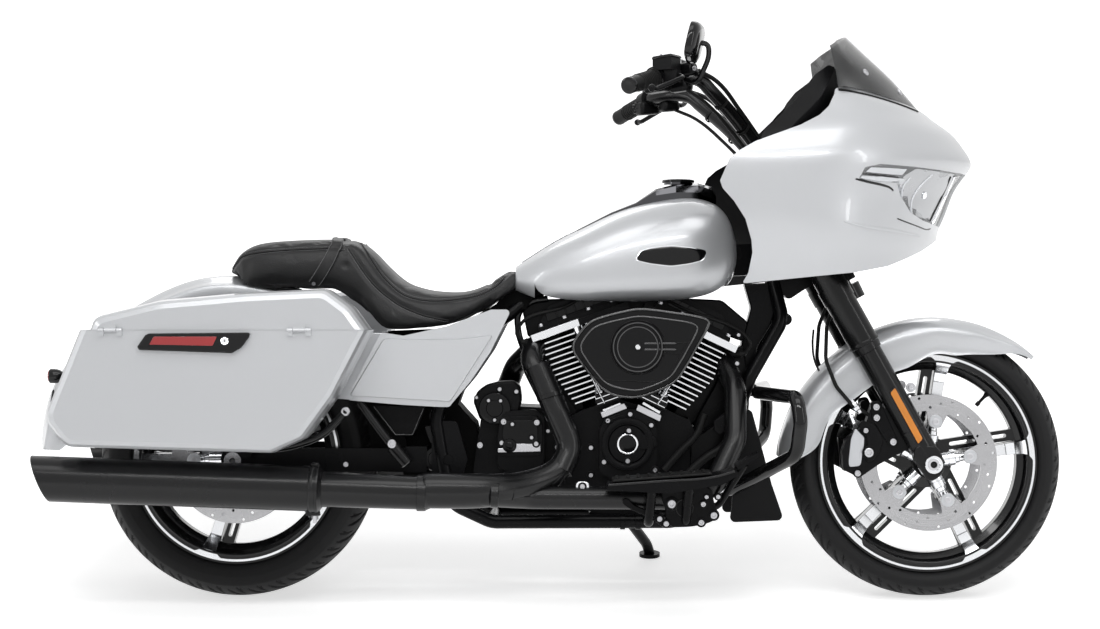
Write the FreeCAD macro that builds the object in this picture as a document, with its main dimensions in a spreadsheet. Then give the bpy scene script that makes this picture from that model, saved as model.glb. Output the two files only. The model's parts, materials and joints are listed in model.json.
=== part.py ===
"""Touring cruiser motorcycle with a frame-mounted fairing, hard saddlebags and an air-cooled V-twin.

The machine is laid out upright, in millimetres: X forward from the rear axle, Y to its left, Z up from
the ground. At the end every sub-part gets the placement that leans it onto its side stand and puts the
origin on the ground, at the middle of its footprint.
"""

import FreeCAD, Part
import math
import os
import Sketcher
from FreeCAD import Matrix, Placement, Rotation, Vector

DIMENSIONS = {
    # wheels and steering geometry
    "wheelbase": 1625, "rake": 26, "trail": 170, "steer_lock": 35, "moving_gap": 6, "fork_angle": 29.25, "lean": 10,
    "seat_gap": 0.3, "front_crown_radius": 84, "rear_crown_radius": 136, "belt_offset": 108,
    "front_tyre_radius": 319.3, "front_tyre_width": 130, "front_bead_radius": 241.3, "front_rim_width": 89,
    "rear_tyre_radius": 327.6, "rear_tyre_width": 180, "rear_bead_radius": 228.6, "rear_rim_width": 140,
    "flange_height": 17, "flange_width": 8, "rim_wall": 7, "rim_well_depth": 18,
    "hub_radius": 36, "spoke_thickness": 46, "spoke_width": 27, "slot_width": 9,
    "disc_radius": 160, "disc_ring_width": 38, "disc_thickness": 5, "disc_bolt_circle": 98,
    "disc_offset": 70, "rear_disc_radius": 150, "disc_hole_radius": 3.2,
    "front_axle_radius": 12.5, "front_axle_bore": 8, "rear_axle_radius": 12.5, "rear_axle_bore": 7,
    "pulley_radius": 108, "pulley_width": 22, "belt_thickness": 6,
    # front end
    "fork_spacing": 108, "fork_leg_radius": 30, "fork_tube_radius": 24.5, "fork_cover_radius": 36,
    "fork_leg_length": 321, "fork_cover_length": 290, "fork_top": 655,
    "stem_radius": 16, "neck_radius": 32, "neck_low": 742, "neck_high": 868,
    "fender_wall": 3,
    "bar_radius": 16, "grip_radius": 18.5, "grip_length": 128,
   
    # frame and chassis
    "frame_tube_radius": 16, "rail_tube_radius": 13, "backbone_width": 56, "backbone_height": 74,
    "guard_radius": 15.9, "shock_radius": 27,
    # engine
    "crank_x": 918, "crank_z": 330, "engine_pitch": 3, "cylinder_half_angle": 22.5,
    "barrel_radius": 60, "deck_length": 142, "fin_start": 160, "fin_count": 13, "fin_pitch": 13,
    "fin_thickness": 3.6, "fin_half_top": 120, "fin_half_base": 74, "fin_depth": 88, "head_length": 331,
    "case_half_width": 95,
    # exhaust
    "muffler_radius": 51, "muffler_offset": 318, "muffler_wall": 3, "header_radius": 27,
    # bodywork
    "panel_wall": 4, "bag_half_width": 448, "bag_inner": 262, "bag_wall": 4, "lid_seam": 633,
    "rear_fender_radius": 430, "rear_fender_half": 118,
    "tunnel_width": 74,
    "windscreen_wall": 4,
    # side stand
    "stand_pivot_x": 905, "stand_foot_x": 985, "stand_foot_y": 330, "stand_radius": 13,
    "stand_foot_radius": 26, "stand_foot_thickness": 9,
}


class Size:
    """A driving dimension as a number, with the spreadsheet expression that gives the same number."""

    def __init__(self, value, text):
        self.value = float(value)
        self.text = text

    def __float__(self):
        return self.value

    def __add__(self, other):
        return Size(self.value + float(other), f"({self.text} + {text_of(other)})")

    def __radd__(self, other):
        return Size(float(other) + self.value, f"({text_of(other)} + {self.text})")

    def __sub__(self, other):
        return Size(self.value - float(other), f"({self.text} - {text_of(other)})")

    def __rsub__(self, other):
        return Size(float(other) - self.value, f"({text_of(other)} - {self.text})")

    def __mul__(self, other):
        return Size(self.value * float(other), f"({self.text} * {text_of(other)})")

    def __rmul__(self, other):
        return Size(float(other) * self.value, f"({text_of(other)} * {self.text})")

    def __truediv__(self, other):
        return Size(self.value / float(other), f"({self.text} / {text_of(other)})")

    def __neg__(self):
        return Size(-self.value, f"(0 - {self.text})")


def text_of(value):
    return value.text if isinstance(value, Size) else repr(float(value))


def sagitta(radius, half):
    """How far an arc of that radius rises above a chord of twice half."""
    value = float(radius) - math.sqrt(float(radius) ** 2 - float(half) ** 2)
    return Size(value, f"({text_of(radius)} - sqrt(({text_of(radius)}) ^ 2 - ({text_of(half)}) ^ 2))")


class Dimensions:
    """The driving dimensions, read back from the document's spreadsheet."""

    def __init__(self, document):
        self.sheet = document.addObject("Spreadsheet::Sheet", "Dims")
        for row, (alias, value) in enumerate(DIMENSIONS.items(), start=1):
            self.sheet.set(f"A{row}", alias.replace("_", " "))
            self.sheet.set(f"B{row}", str(value))
            self.sheet.setAlias(f"B{row}", alias)
        document.recompute()

    def __getattr__(self, alias):
        return Size(self.sheet.get(alias), f"Dims.{alias}")


doc = FreeCAD.newDocument("touring_cruiser")
d = Dimensions(doc)
nodes = {}

X_AXIS, Y_AXIS, Z_AXIS = Vector(1, 0, 0), Vector(0, 1, 0), Vector(0, 0, 1)


def number(value):
    return float(value)


def point(x, y, z):
    return Vector(float(x), float(y), float(z))


def bind(item, **sizes):
    """Sets properties of a document object, tying those given as a Size to the spreadsheet."""
    for name, value in sizes.items():
        setattr(item, name, float(value))
        if isinstance(value, Size):
            item.setExpression(name, value.text)
    return item


def node(name, item):
    """Marks an object as a finished sub-part with that name."""
    item.Label = name
    nodes[name] = item
    return item


def facing(direction):
    return Rotation(Z_AXIS, Vector(direction))


def cylinder(name, radius, length, at, along):
    item = bind(doc.addObject("Part::Cylinder", name), Radius=radius, Height=length)
    item.Placement = Placement(Vector(at), facing(along))
    return item


def cone(name, radius_low, radius_high, length, at, along):
    item = doc.addObject("Part::Cone", name)
    bind(item, Radius1=radius_low, Radius2=radius_high, Height=length)
    item.Placement = Placement(Vector(at), facing(along))
    return item


def block(name, length, width, height, centre, rotation=None):
    """A box of that size about its centre."""
    item = bind(doc.addObject("Part::Box", name), Length=length, Width=width, Height=height)
    turn = rotation or Rotation()
    half = Vector(float(length) / 2, float(width) / 2, float(height) / 2)
    item.Placement = Placement(Vector(centre) - turn.multVec(half), turn)
    return item


def fuse(name, items):
    item = doc.addObject("Part::MultiFuse", name)
    item.Shapes = items
    item.Refine = True
    return item


def cut(name, base, tools):
    tool = tools[0] if len(tools) == 1 else fuse(name + "_tools", tools)
    item = doc.addObject("Part::Cut", name)
    item.Base, item.Tool = base, tool
    return item


def common(name, first, second):
    item = doc.addObject("Part::Common", name)
    item.Base, item.Tool = first, second
    return item


def mirrored(name, source):
    """The same piece on the machine's other side."""
    item = doc.addObject("Part::Mirroring", name)
    item.Source, item.Base, item.Normal = source, Vector(), Y_AXIS
    return item


def group(name, items):
    """Several solids that don't touch, kept as one sub-part."""
    item = doc.addObject("Part::Compound", name)
    item.Links = items
    return item


def pair(name, right):
    return group(name, [right, mirrored(name + "_left", right)])


def shaped(name, shape):
    item = doc.addObject("Part::Feature", name)
    item.Shape = shape
    return item


def rounded_path(points, bend, closed=False):
    """A wire of straight runs joined by tangent arcs of radius bend, or less where a run is short."""
    points = [Vector(p) for p in points]
    edges, here = [], points[0]
    for before, corner, after in zip(points, points[1:], points[2:]):
        into, out = (corner - before).normalize(), (after - corner).normalize()
        turn = into.getAngle(out)
        if turn < 0.01:
            continue
        room = 0.48 * min(before.distanceToPoint(corner), corner.distanceToPoint(after))
        reach = min(bend * math.tan(turn / 2), room)
        start, end = corner - into * reach, corner + out * reach
        radius = reach / math.tan(turn / 2)
        centre_way = (out - into).normalize()
        centre = corner + centre_way * (radius / math.cos(turn / 2))
        middle = centre - centre_way * radius
        if here.distanceToPoint(start) > 1e-6:
            edges.append(Part.LineSegment(here, start).toShape())
        edges.append(Part.Arc(start, middle, end).toShape())
        here = end
    edges.append(Part.LineSegment(here, points[-1]).toShape())
    return Part.Wire(edges)


def tube(name, points, radius, bend):
    """A round bar swept along straight runs with tangent bends."""
    path = shaped(name + "_path", rounded_path(points, bend))
    section = bind(doc.addObject("Part::Circle", name + "_section"), Radius=radius)
    section.Placement = Placement(Vector(points[0]), facing(Vector(points[1]) - Vector(points[0])))
    sweep = doc.addObject("Part::Sweep", name)
    sweep.Sections = [section]
    sweep.Spine = (path, [f"Edge{i + 1}" for i in range(len(path.Shape.Edges))])
    sweep.Solid = True
    sweep.Frenet = False
    return sweep


def outline(points, radius=0):
    """A closed wire through points with its corners rounded, each by radius or by a third value of its own."""
    corners = [Vector(*p[:3]) for p in points]
    radii = [p[3] if len(p) > 3 else radius for p in points]
    count, edges, ends = len(corners), [], []
    for i, corner in enumerate(corners):
        before, after = corners[i - 1], corners[(i + 1) % count]
        into, out = (corner - before).normalize(), (after - corner).normalize()
        turn = into.getAngle(out)
        if radii[i] <= 0 or turn < 0.02:
            ends.append((corner, None, corner))
            continue
        room = 0.45 * min(before.distanceToPoint(corner), corner.distanceToPoint(after))
        reach = min(radii[i] * math.tan(turn / 2), room)
        real = reach / math.tan(turn / 2)
        way = (out - into).normalize()
        centre = corner + way * (real / math.cos(turn / 2))
        ends.append((corner - into * reach, centre - way * real, corner + out * reach))
    for i, (start, middle, end) in enumerate(ends):
        if middle is not None:
            edges.append(Part.Arc(start, middle, end).toShape())
        edges.append(Part.LineSegment(end, ends[(i + 1) % count][0]).toShape())
    return Part.Wire(edges)


def plate(name, side_view, y_from, thickness, radius=0):
    """A flat piece: its outline in the side view, (x, z) points, pulled out along Y from y_from."""
    points = [(float(p[0]), float(y_from), float(p[1]), *p[2:]) for p in side_view]
    wire = shaped(name + "_outline", outline(points, radius))
    item = doc.addObject("Part::Extrusion", name)
    item.Base, item.DirMode, item.Dir, item.Solid = wire, "Custom", Y_AXIS, True
    return bind(item, LengthFwd=thickness)


def turned(name, profile, at, along):
    """A piece turned on a lathe: (distance along the axis, radius) points, round the axis along from at."""
    sketch = doc.addObject("Sketcher::SketchObject", name + "_profile")
    draw(sketch, profile)
    item = doc.addObject("Part::Revolution", name)
    item.Source, item.Axis, item.Base, item.Angle, item.Solid = sketch, X_AXIS, Vector(), 360, True
    item.Placement = Placement(Vector(at), Rotation(X_AXIS, Vector(along)))
    return item


def draw(sketch, corners):
    """A closed outline in a sketch, each corner held at its place and tied to the sizes that give it.

    A corner is (x, y), or (x, y, bulge_x, bulge_y) where an arc through the bulge leads on from it, with a
    fifth value where a size gives the arc's radius."""
    count = len(corners)
    places = [Vector(float(c[0]), float(c[1]), 0) for c in corners]
    for i, corner in enumerate(corners):
        start, end = places[i], places[(i + 1) % count]
        if len(corner) > 2:
            middle = Vector(float(corner[2]), float(corner[3]), 0)
            arc = Part.Arc(start, middle, end)
            sketch.addGeometry(arc, False)
        else:
            sketch.addGeometry(Part.LineSegment(start, end), False)
    firsts = [start_of(sketch, i, places[i]) for i in range(count)]
    for i in range(count):
        last = 3 - firsts[i]
        following = (i + 1) % count
        sketch.addConstraint(Sketcher.Constraint("Coincident", i, last, following, firsts[following]))
    for i, corner in enumerate(corners):
        for kind, value in (("DistanceX", corner[0]), ("DistanceY", corner[1])):
            held = sketch.addConstraint(Sketcher.Constraint(kind, -1, 1, i, firsts[i], float(value)))
            if isinstance(value, Size):
                sketch.setExpression(f"Constraints[{held}]", value.text)
        if len(corner) > 2:
            held = sketch.addConstraint(Sketcher.Constraint("Radius", i, sketch.Geometry[i].Radius))
            if len(corner) > 4 and isinstance(corner[4], Size):
                sketch.setExpression(f"Constraints[{held}]", corner[4].text)


def start_of(sketch, index, place):
    """Which end of a sketch's line or arc lies at place, as Sketcher counts them."""
    return 1 if sketch.getPoint(index, 1).distanceToPoint(place) < 1e-6 else 2


def origin_feature(body, role):
    return next(f for f in body.Origin.OriginFeatures if f.Role == role)


def sketch_on(body, role, name):
    sketch = body.newObject("Sketcher::SketchObject", name)
    sketch.AttachmentSupport = (origin_feature(body, role), [""])
    sketch.MapMode = "FlatFace"
    return sketch


def revolved(body, name, profile):
    """A ring round the body's Y axis from (y, radius) points."""
    sketch = sketch_on(body, "YZ_Plane", name + "_sketch")
    draw(sketch, profile)
    item = body.newObject("PartDesign::Revolution", name)
    item.Profile, item.ReferenceAxis, item.Angle = sketch, (sketch, ["H_Axis"]), 360
    return item


def padded(body, name, side_view, thickness, kind="PartDesign::Pad"):
    """A pad, or with kind a pocket, as thick each side of the body's mid-plane, from (x, z) corners."""
    sketch = sketch_on(body, "XZ_Plane", name + "_sketch")
    draw(sketch, side_view)
    item = body.newObject(kind, name)
    item.Profile = sketch
    item.SideType = "Symmetric"
    return bind(item, Length=thickness)


def ringed(body, name, features, count):
    """Copies of features round the body's Y axis."""
    item = body.newObject("PartDesign::PolarPattern", name)
    item.Originals, item.Axis = features, (origin_feature(body, "Y_Axis"), [""])
    item.Angle, item.Occurrences = 360, count
    body.Tip = item
    return item


def offset_line(points, distance, across):
    """Points moved sideways by distance, in the plane whose normal is across, to the left of the line's run."""
    moved = []
    for i, place in enumerate(points):
        run = points[min(i + 1, len(points) - 1)] - points[max(i - 1, 0)]
        moved.append(place + across.cross(run).normalize() * float(distance))
    return moved


def band_wire(outer, inner):
    """A closed wire of two smooth lines and the short edges that join their ends."""
    edges = []
    for line in (outer, list(reversed(inner))):
        curve = Part.BSplineCurve()
        curve.interpolate(line)
        edges.append(curve.toShape())
    edges.insert(1, Part.LineSegment(outer[-1], inner[-1]).toShape())
    edges.append(Part.LineSegment(inner[0], outer[0]).toShape())
    return Part.Wire(edges)


def skin(lines, wall, normals):
    """A panel of even thickness: lines across it, one after the other, and the normal of each line's plane."""
    return lofted([band_wire(line, offset_line(line, wall, across)) for line, across in zip(lines, normals)])


def lofted(wires, straight=False):
    """A solid through closed wires, smooth along its length or in straight bays."""
    solid = Part.makeLoft(wires, True, straight)
    if solid.Volume < 0:
        solid.reverse()
    return solid


def sheet_solid(outer_rows, inner_rows):
    """A closed solid between two smooth skins given by grids of points of the same size."""
    outer, inner = Part.BSplineSurface(), Part.BSplineSurface()
    outer.interpolate(outer_rows)
    inner.interpolate(inner_rows)
    u0, u1, v0, v1 = outer.bounds()
    p0, p1, q0, q1 = inner.bounds()
    rims = [(outer.uIso(u0), inner.uIso(p0)), (outer.uIso(u1), inner.uIso(p1)),
            (outer.vIso(v0), inner.vIso(q0)), (outer.vIso(v1), inner.vIso(q1))]
    faces = [outer.toShape(), inner.toShape()]
    faces += [Part.makeRuledSurface(a.toShape(), b.toShape()) for a, b in rims]
    shell = Part.makeShell(faces)
    shell.sewShape()
    solid = Part.makeSolid(Part.makeShell(shell.Faces))
    if solid.Volume < 0:
        solid.reverse()
    return solid


def closed_curve(points):
    curve = Part.BSplineCurve()
    curve.interpolate(points, PeriodicFlag=True)
    return Part.Wire(curve.toShape())


def blend(table, at):
    """Smooth values between the rows of a table, whose first column rises."""
    if at <= table[0][0]:
        return table[0][1:]
    if at >= table[-1][0]:
        return table[-1][1:]
    i = next(k for k in range(len(table) - 1) if table[k][0] <= at <= table[k + 1][0])
    low, high = table[i], table[i + 1]
    before, after = table[max(i - 1, 0)], table[min(i + 2, len(table) - 1)]
    span = high[0] - low[0]
    t = (at - low[0]) / span
    values = []
    for a, b, c, e in zip(before[1:], low[1:], high[1:], after[1:]):
        slope_low = (c - a) / (high[0] - before[0]) * span
        slope_high = (e - b) / (after[0] - low[0]) * span
        values.append(
            (2 * t**3 - 3 * t**2 + 1) * b + (t**3 - 2 * t**2 + t) * slope_low
            + (-2 * t**3 + 3 * t**2) * c + (t**3 - t**2) * slope_high
        )
    return values


# Wheels

LEAN = math.radians(number(d.lean))
front_crown, rear_crown = d.front_crown_radius, d.rear_crown_radius
rear_axle_at = point(0, 0, d.rear_tyre_radius)
level = (1 - math.cos(LEAN)) / math.cos(LEAN)
front_axle_at = point(d.wheelbase, 0, d.front_tyre_radius + (front_crown - rear_crown) * level)


def tyre(name, at, radius, width, crown, bead, rim):
    """A hollow tyre: a crowned tread, bulged sidewalls and beads inside the rim's flanges."""
    half, seat, foot = width / 2, rim / 2 - d.seat_gap, bead + d.seat_gap
    shoulder = half - 3
    edge = radius - sagitta(crown, shoulder)
    body = doc.addObject("PartDesign::Body", name)
    revolved(body, name + "_ring", [
        (-seat, foot), (-seat, foot + d.flange_height), (-(seat + 6), foot + d.flange_height + 3.5),
        (-half, edge - 12), (-shoulder, edge, 0, radius, crown),
        (shoulder, edge), (half, edge - 12), (seat + 6, foot + d.flange_height + 3.5),
        (seat, foot + d.flange_height), (seat, foot), (seat - 12, foot),
        (seat - 9, foot + d.flange_height), (half - 10, edge - 12), (shoulder - 12, edge - 7),
        (0, radius - 10), (-(shoulder - 12), edge - 7), (-(half - 10), edge - 12),
        (-(seat - 9), foot + d.flange_height), (-(seat - 12), foot),
    ])
    body.Placement = Placement(at, Rotation())
    return node(name, body)


def wheel(name, at, bead, rim, hub_half, first_angle, disc_faces, axle):
    """A cast wheel: drop-centre rim, five pairs of a plain and a slotted spoke, hub and disc bosses."""
    half, outer = rim / 2, rim / 2 + d.flange_width
    body = doc.addObject("PartDesign::Body", name)
    revolved(body, name + "_rim", [
        (-outer, bead - 5), (-outer, bead + d.flange_height), (-half, bead + d.flange_height), (-half, bead),
        (-24, bead - 2.3), (-14, bead - d.rim_well_depth), (14, bead - d.rim_well_depth), (24, bead - 2.3),
        (half, bead), (half, bead + d.flange_height), (outer, bead + d.flange_height), (outer, bead - 5),
        (24, bead - 10.3), (16, bead - d.rim_well_depth - d.rim_wall),
        (-16, bead - d.rim_well_depth - d.rim_wall), (-24, bead - 10.3),
    ])
    bore = axle + d.seat_gap
    revolved(body, name + "_hub", [
        (-hub_half, bore), (-hub_half, d.hub_radius), (-24, d.hub_radius), (-20, 62), (20, 62),
        (24, d.hub_radius), (hub_half, d.hub_radius), (hub_half, bore),
    ])
    tip, width = bead - 9.5, d.spoke_width / 2
    plain = padded(body, name + "_plain", [(30, -10), (tip, -width), (tip, width), (30, 10)], d.spoke_thickness)
    low, high = width + 4.5, width * 3 + 4.5
    slotted = padded(body, name + "_slotted", [(34, low), (tip, low), (tip, high), (40, high)], 34)
    middle, reach = width * 2 + 4.5, d.slot_width / 2
    slots = []
    for index, (start, end) in enumerate([(66, bead * 0.5), (bead * 0.57, bead - 46)]):
        slots.append(padded(body, f"{name}_slot{index}", [
            (start, middle - reach), (end, middle - reach, end + reach * 0.8, middle, reach * 1.025),
            (end, middle + reach), (start, middle + reach, start - reach * 0.8, middle, reach * 1.025),
        ], 60, "PartDesign::Pocket"))
    ringed(body, name + "_spokes", [plain, slotted, *slots], 5)
    bosses = []
    for side in disc_faces:
        for k in range(5):
            turn = Rotation(Y_AXIS, -72 * k)
            centre = turn.multVec(Vector(float(d.disc_bolt_circle), 0, 0))
            start = math.copysign(18, side)
            boss = cylinder(f"{name}_boss", 12.5, abs(side) - 18, centre + Vector(0, start, 0), Vector(0, side, 0))
            bosses.append(boss)
    item = fuse(name + "_cast", [body, *bosses])
    item.Placement = Placement(at, Rotation(Y_AXIS, -first_angle))
    return node(name, item)


def disc(name, at, radius, face, first_angle, outward):
    """A drilled brake disc: a ring with five tabs, its inner face at y = face."""
    body = doc.addObject("PartDesign::Body", name + "_plate")
    thick = d.disc_thickness
    near, far = (face, face + outward * thick)
    revolved(body, name + "_ring", [
        (near, radius - d.disc_ring_width), (near, radius), (far, radius), (far, radius - d.disc_ring_width),
    ])
    item = fuse(name + "_whole", [body, *tabs(name, radius, near, outward)])
    item = cut(name + "_drilled", item, holes(name, radius, face))
    item.Placement = Placement(at, Rotation(Y_AXIS, -first_angle))
    return item


def tabs(name, radius, near, outward):
    made = []
    for k in range(5):
        inner = float(radius - d.disc_ring_width) + 3
        side_view = [(inner, -27, 6), (inner, 27, 6), (84, 13, 8), (84, -13, 8)]
        turned_view = []
        for x, z, r in side_view:
            place = Rotation(Y_AXIS, -72 * k).multVec(Vector(x, 0, z))
            turned_view.append((place.x, place.z, r))
        start = near if outward > 0 else near - d.disc_thickness
        made.append(plate(f"{name}_tab{k}", turned_view, start, d.disc_thickness))
    return made


def holes(name, radius, face):
    made = []
    for k in range(36):
        reach = float(radius) - (8, 19, 30)[k % 3]
        centre = Rotation(Y_AXIS, -10 * k).multVec(Vector(reach, 0, 0))
        made.append(cylinder(f"{name}_hole", d.disc_hole_radius, 30, centre + Vector(0, float(face) - 15, 0), Y_AXIS))
    return made


FRONT_FIRST, REAR_FIRST = 8.7, 37.2
disc_face = d.disc_offset - d.disc_thickness / 2
tyre("front_tyre", front_axle_at, d.front_tyre_radius, d.front_tyre_width, front_crown, d.front_bead_radius,
     d.front_rim_width)
wheel("front_rim", front_axle_at, d.front_bead_radius, d.front_rim_width, 66, FRONT_FIRST,
      [-number(disc_face), number(disc_face)], d.front_axle_radius)
right_disc = disc("front_disc", front_axle_at, d.disc_radius, -disc_face, FRONT_FIRST, -1)
node("front_discs", pair("front_disc_pair", right_disc))

REAR_DISC_FACE = 81.5
tyre("rear_tyre", rear_axle_at, d.rear_tyre_radius, d.rear_tyre_width, rear_crown, d.rear_bead_radius,
     d.rear_rim_width)
wheel("rear_rim", rear_axle_at, d.rear_bead_radius, d.rear_rim_width, 78, REAR_FIRST, [-REAR_DISC_FACE],
      d.rear_axle_radius)
rear_plate = disc("rear_disc_plate", rear_axle_at, d.rear_disc_radius, -REAR_DISC_FACE, REAR_FIRST, -1)
node("rear_disc", group("rear_disc_group", [rear_plate]))

belt_low = d.belt_offset - d.pulley_width / 2
pulley = turned("pulley_ring", [
    (0, d.pulley_radius - 16), (0, d.pulley_radius), (d.pulley_width, d.pulley_radius),
    (d.pulley_width, d.pulley_radius - 16),
], rear_axle_at + point(0, belt_low, 0), Y_AXIS)
web = turned("pulley_web", [
    (0, d.rear_axle_radius + 0.3), (0, 40), (19, 40), (19, d.pulley_radius - 14), (28, d.pulley_radius - 14),
    (28, 40), (34, 40), (34, d.rear_axle_radius + 0.3),
], rear_axle_at + point(0, 78, 0), Y_AXIS)
node("rear_pulley", fuse("pulley_whole", [pulley, web]))


# Steered front end

fork_tilt = math.radians(number(d.fork_angle))
fork_way = Vector(-math.sin(fork_tilt), 0, math.cos(fork_tilt))
rake = math.radians(number(d.rake))
steer_way = Vector(-math.sin(rake), 0, math.cos(rake))
steer_foot = point(d.wheelbase + d.trail, 0, 0)
leg_foot = front_axle_at - point(0, d.fork_spacing, 0)


def on_fork(distance, aside=0.0):
    """A place that far up the right fork leg, moved aside along Y."""
    return leg_foot + fork_way * float(distance) + Vector(0, aside, 0)


def on_steering(height):
    return steer_foot + steer_way * (float(height) / steer_way.z)


leg = cylinder("leg_casting", d.fork_leg_radius, d.fork_leg_length + 12, on_fork(-12), fork_way)
lug = cylinder("leg_lug", 23, 60, leg_foot + Vector(0, -30, 0), Y_AXIS)
leg_cover = cylinder("leg_cover", d.fork_cover_radius, d.fork_cover_length, on_fork(d.fork_leg_length), fork_way)
inner_tube = cylinder("leg_tube", d.fork_tube_radius, d.fork_top, on_fork(10), fork_way)
axle_hole = cylinder("leg_axle_hole", d.front_axle_radius + 0.3, 80, leg_foot + Vector(0, -40, 0), Y_AXIS)
fork_leg = cut("fork_leg_right", fuse("leg_body", [leg, lug, leg_cover, inner_tube]), [axle_hole])
node("fork_legs", pair("fork_leg_pair", fork_leg))

axle_half = d.fork_spacing + 36.3
axle_bar = cylinder("axle_bar", d.front_axle_radius, axle_half * 2, front_axle_at - point(0, axle_half, 0), Y_AXIS)
axle_cap = cylinder("axle_cap", 18, 6, front_axle_at - point(0, axle_half, 0), Y_AXIS)
axle_cap_left = cylinder("axle_cap_left", 18, 6, front_axle_at + point(0, axle_half - 6, 0), Y_AXIS)
axle_bore = cylinder("axle_bore", d.front_axle_bore, axle_half * 2 + 20, front_axle_at - point(0, axle_half + 10, 0), Y_AXIS)
node("front_axle", cut("front_axle_whole", fuse("axle_body", [axle_bar, axle_cap, axle_cap_left]), [axle_bore]))

LOW_CLAMP, HIGH_CLAMP = 716, 886
clamps = []
for height, tall in ((LOW_CLAMP, 36), (HIGH_CLAMP, 30)):
    centre = on_steering(height)
    reach_up = (height - front_axle_at.z) / fork_way.z
    at_leg = on_fork(reach_up)
    pieces = [cylinder(f"clamp_{height}_boss", 34, tall, centre - steer_way * (tall / 2), steer_way)]
    for side in (1, -1):
        eye = Vector(at_leg.x, at_leg.y * side, at_leg.z) - fork_way * (tall / 2)
        pieces.append(cylinder(f"clamp_{height}_eye", d.fork_cover_radius + 2, tall, eye, fork_way))
    bridge = block(f"clamp_{height}_bridge", 44, 2 * d.fork_spacing, tall - 4,
                   (centre + Vector(at_leg.x, 0, at_leg.z)) * 0.5, Rotation(Y_AXIS, -26))
    clamps.append(fuse(f"clamp_{height}", [*pieces, bridge]))
stem = cylinder("steering_stem", d.stem_radius, 200, on_steering(LOW_CLAMP - 14), steer_way)
clamp_holes = []
for side in (1, -1):
    start = on_fork(280)
    start = Vector(start.x, start.y * side, start.z)
    clamp_holes.append(cylinder("clamp_hole", d.fork_cover_radius + 0.3, d.fork_cover_length + 42, start, fork_way))
    clamp_holes.append(cylinder("clamp_hole_top", d.fork_tube_radius + 0.3, 500, start, fork_way))
riser_posts = []
BAR_CLAMP = point(1286, 0, 966)
for side in (1, -1):
    post_foot = on_steering(HIGH_CLAMP) + Vector(-22, side * 62, 4)
    post_top = BAR_CLAMP + Vector(0, side * 62, -14)
    riser_posts.append(cylinder("riser_post", 14, post_foot.distanceToPoint(post_top), post_foot, post_top - post_foot))
    riser_posts.append(cylinder("riser_clamp", d.bar_radius + 8, 34, BAR_CLAMP + Vector(0, side * 62 - 17, 0), Y_AXIS))
bar_path = [(913, -415, 1171), (989, -274, 1206.5), (1064, -200, 1172), (1204, -98, 1056), (1286, -76, 966)]
bar_path += [(x, -y, z) for x, y, z in reversed(bar_path)]
bar_points = [Vector(*p) for p in bar_path]
node("handlebar", tube("handlebar_tube", bar_points, d.bar_radius, 62))
bar_room = tube("bar_room", bar_points, d.bar_radius + d.seat_gap, 62)
node("triple_clamps", cut("triple_clamps_whole", fuse("triple_clamps_body", [*clamps, stem, *riser_posts]),
                          [*clamp_holes, bar_room]))

bar_end, bar_turn = bar_points[0], bar_points[1]
grip_way = (bar_turn - bar_end).normalize()
grip_core = cylinder("grip_core", d.grip_radius, d.grip_length, bar_end - grip_way * 4, grip_way)
grip_hole = cylinder("grip_hole", d.bar_radius + 0.3, d.grip_length, bar_end, grip_way)
node("grips", pair("grip_pair", cut("grip_right", grip_core, [grip_hole])))

grip_end = bar_end + grip_way * (d.grip_length.value - 3)
turn_out = Rotation(Z_AXIS, -28)
housing = cylinder("switch_housing", 25, 29, grip_end, grip_way)
perch = block("lever_perch", 44, 24, 26, grip_end + grip_way * 15 + Vector(28, -16, 0), turn_out)
lever_side = tube("lever_blade", [grip_end + grip_way * 12 + Vector(46, -28, 2), grip_end + Vector(62, -50, -4),
                                  bar_end + Vector(56, -16, -10), bar_end + Vector(46, -40, -10)], 5.5, 20)
reservoir = block("fluid_box", 46, 50, 28, grip_end + grip_way * 16 + Vector(20, -10, 27), turn_out)
grip_room = cylinder("grip_room", d.grip_radius + d.seat_gap, 124.7 + 10, bar_end - grip_way * 10, grip_way)
control = cut("hand_control", fuse("hand_control_body", [housing, perch, lever_side, reservoir]), [bar_room, grip_room])
node("hand_controls", pair("hand_control_pair", control))

mirror_foot = grip_end + grip_way * 16 + Vector(26, -14, 41.3)
mirror_stem = tube("mirror_stem", [mirror_foot, mirror_foot + Vector(34, -6, 26), (1090, -330, 1270),
                                   (1056, -372, 1268)], 6, 24)
MIRROR = Vector(1046, -392, 1268)
mirror_wire = shaped("mirror_outline", outline([
    (0, -84, -30, 22), (0, -70, 42, 26), (0, 74, 46, 22), (0, 84, -16, 22), (0, 40, -46, 40),
]))
mirror_case = doc.addObject("Part::Extrusion", "mirror_case")
mirror_case.Base, mirror_case.DirMode, mirror_case.Dir, mirror_case.Solid = mirror_wire, "Custom", X_AXIS, True
bind(mirror_case, LengthFwd=26)
mirror_case.Placement = Placement(MIRROR, Rotation(Y_AXIS, 12))
mirror_right = cut("mirror_right", fuse("mirror_body", [mirror_stem, mirror_case]), [reservoir])
node("mirrors", pair("mirror_pair", mirror_right))

# Front fender: a shell round the wheel, given by angle: outer radius, lower edge radius, half width.
FENDER = [
    (44, 356.5, 347, 24), (48, 354.5, 339, 38), (53, 352, 320, 54), (60, 348.5, 293, 66), (70, 345, 270, 74),
    (80, 341, 257, 77.6), (92, 338, 251, 77.6), (100, 335, 232, 77.6), (119, 331, 227, 77.6),
    (137, 331.5, 229, 77.6), (151, 336.5, 249, 77.6), (161, 341, 259, 77.6), (173, 346, 268, 77.6),
    (178, 347, 304, 77.6),
]


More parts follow.
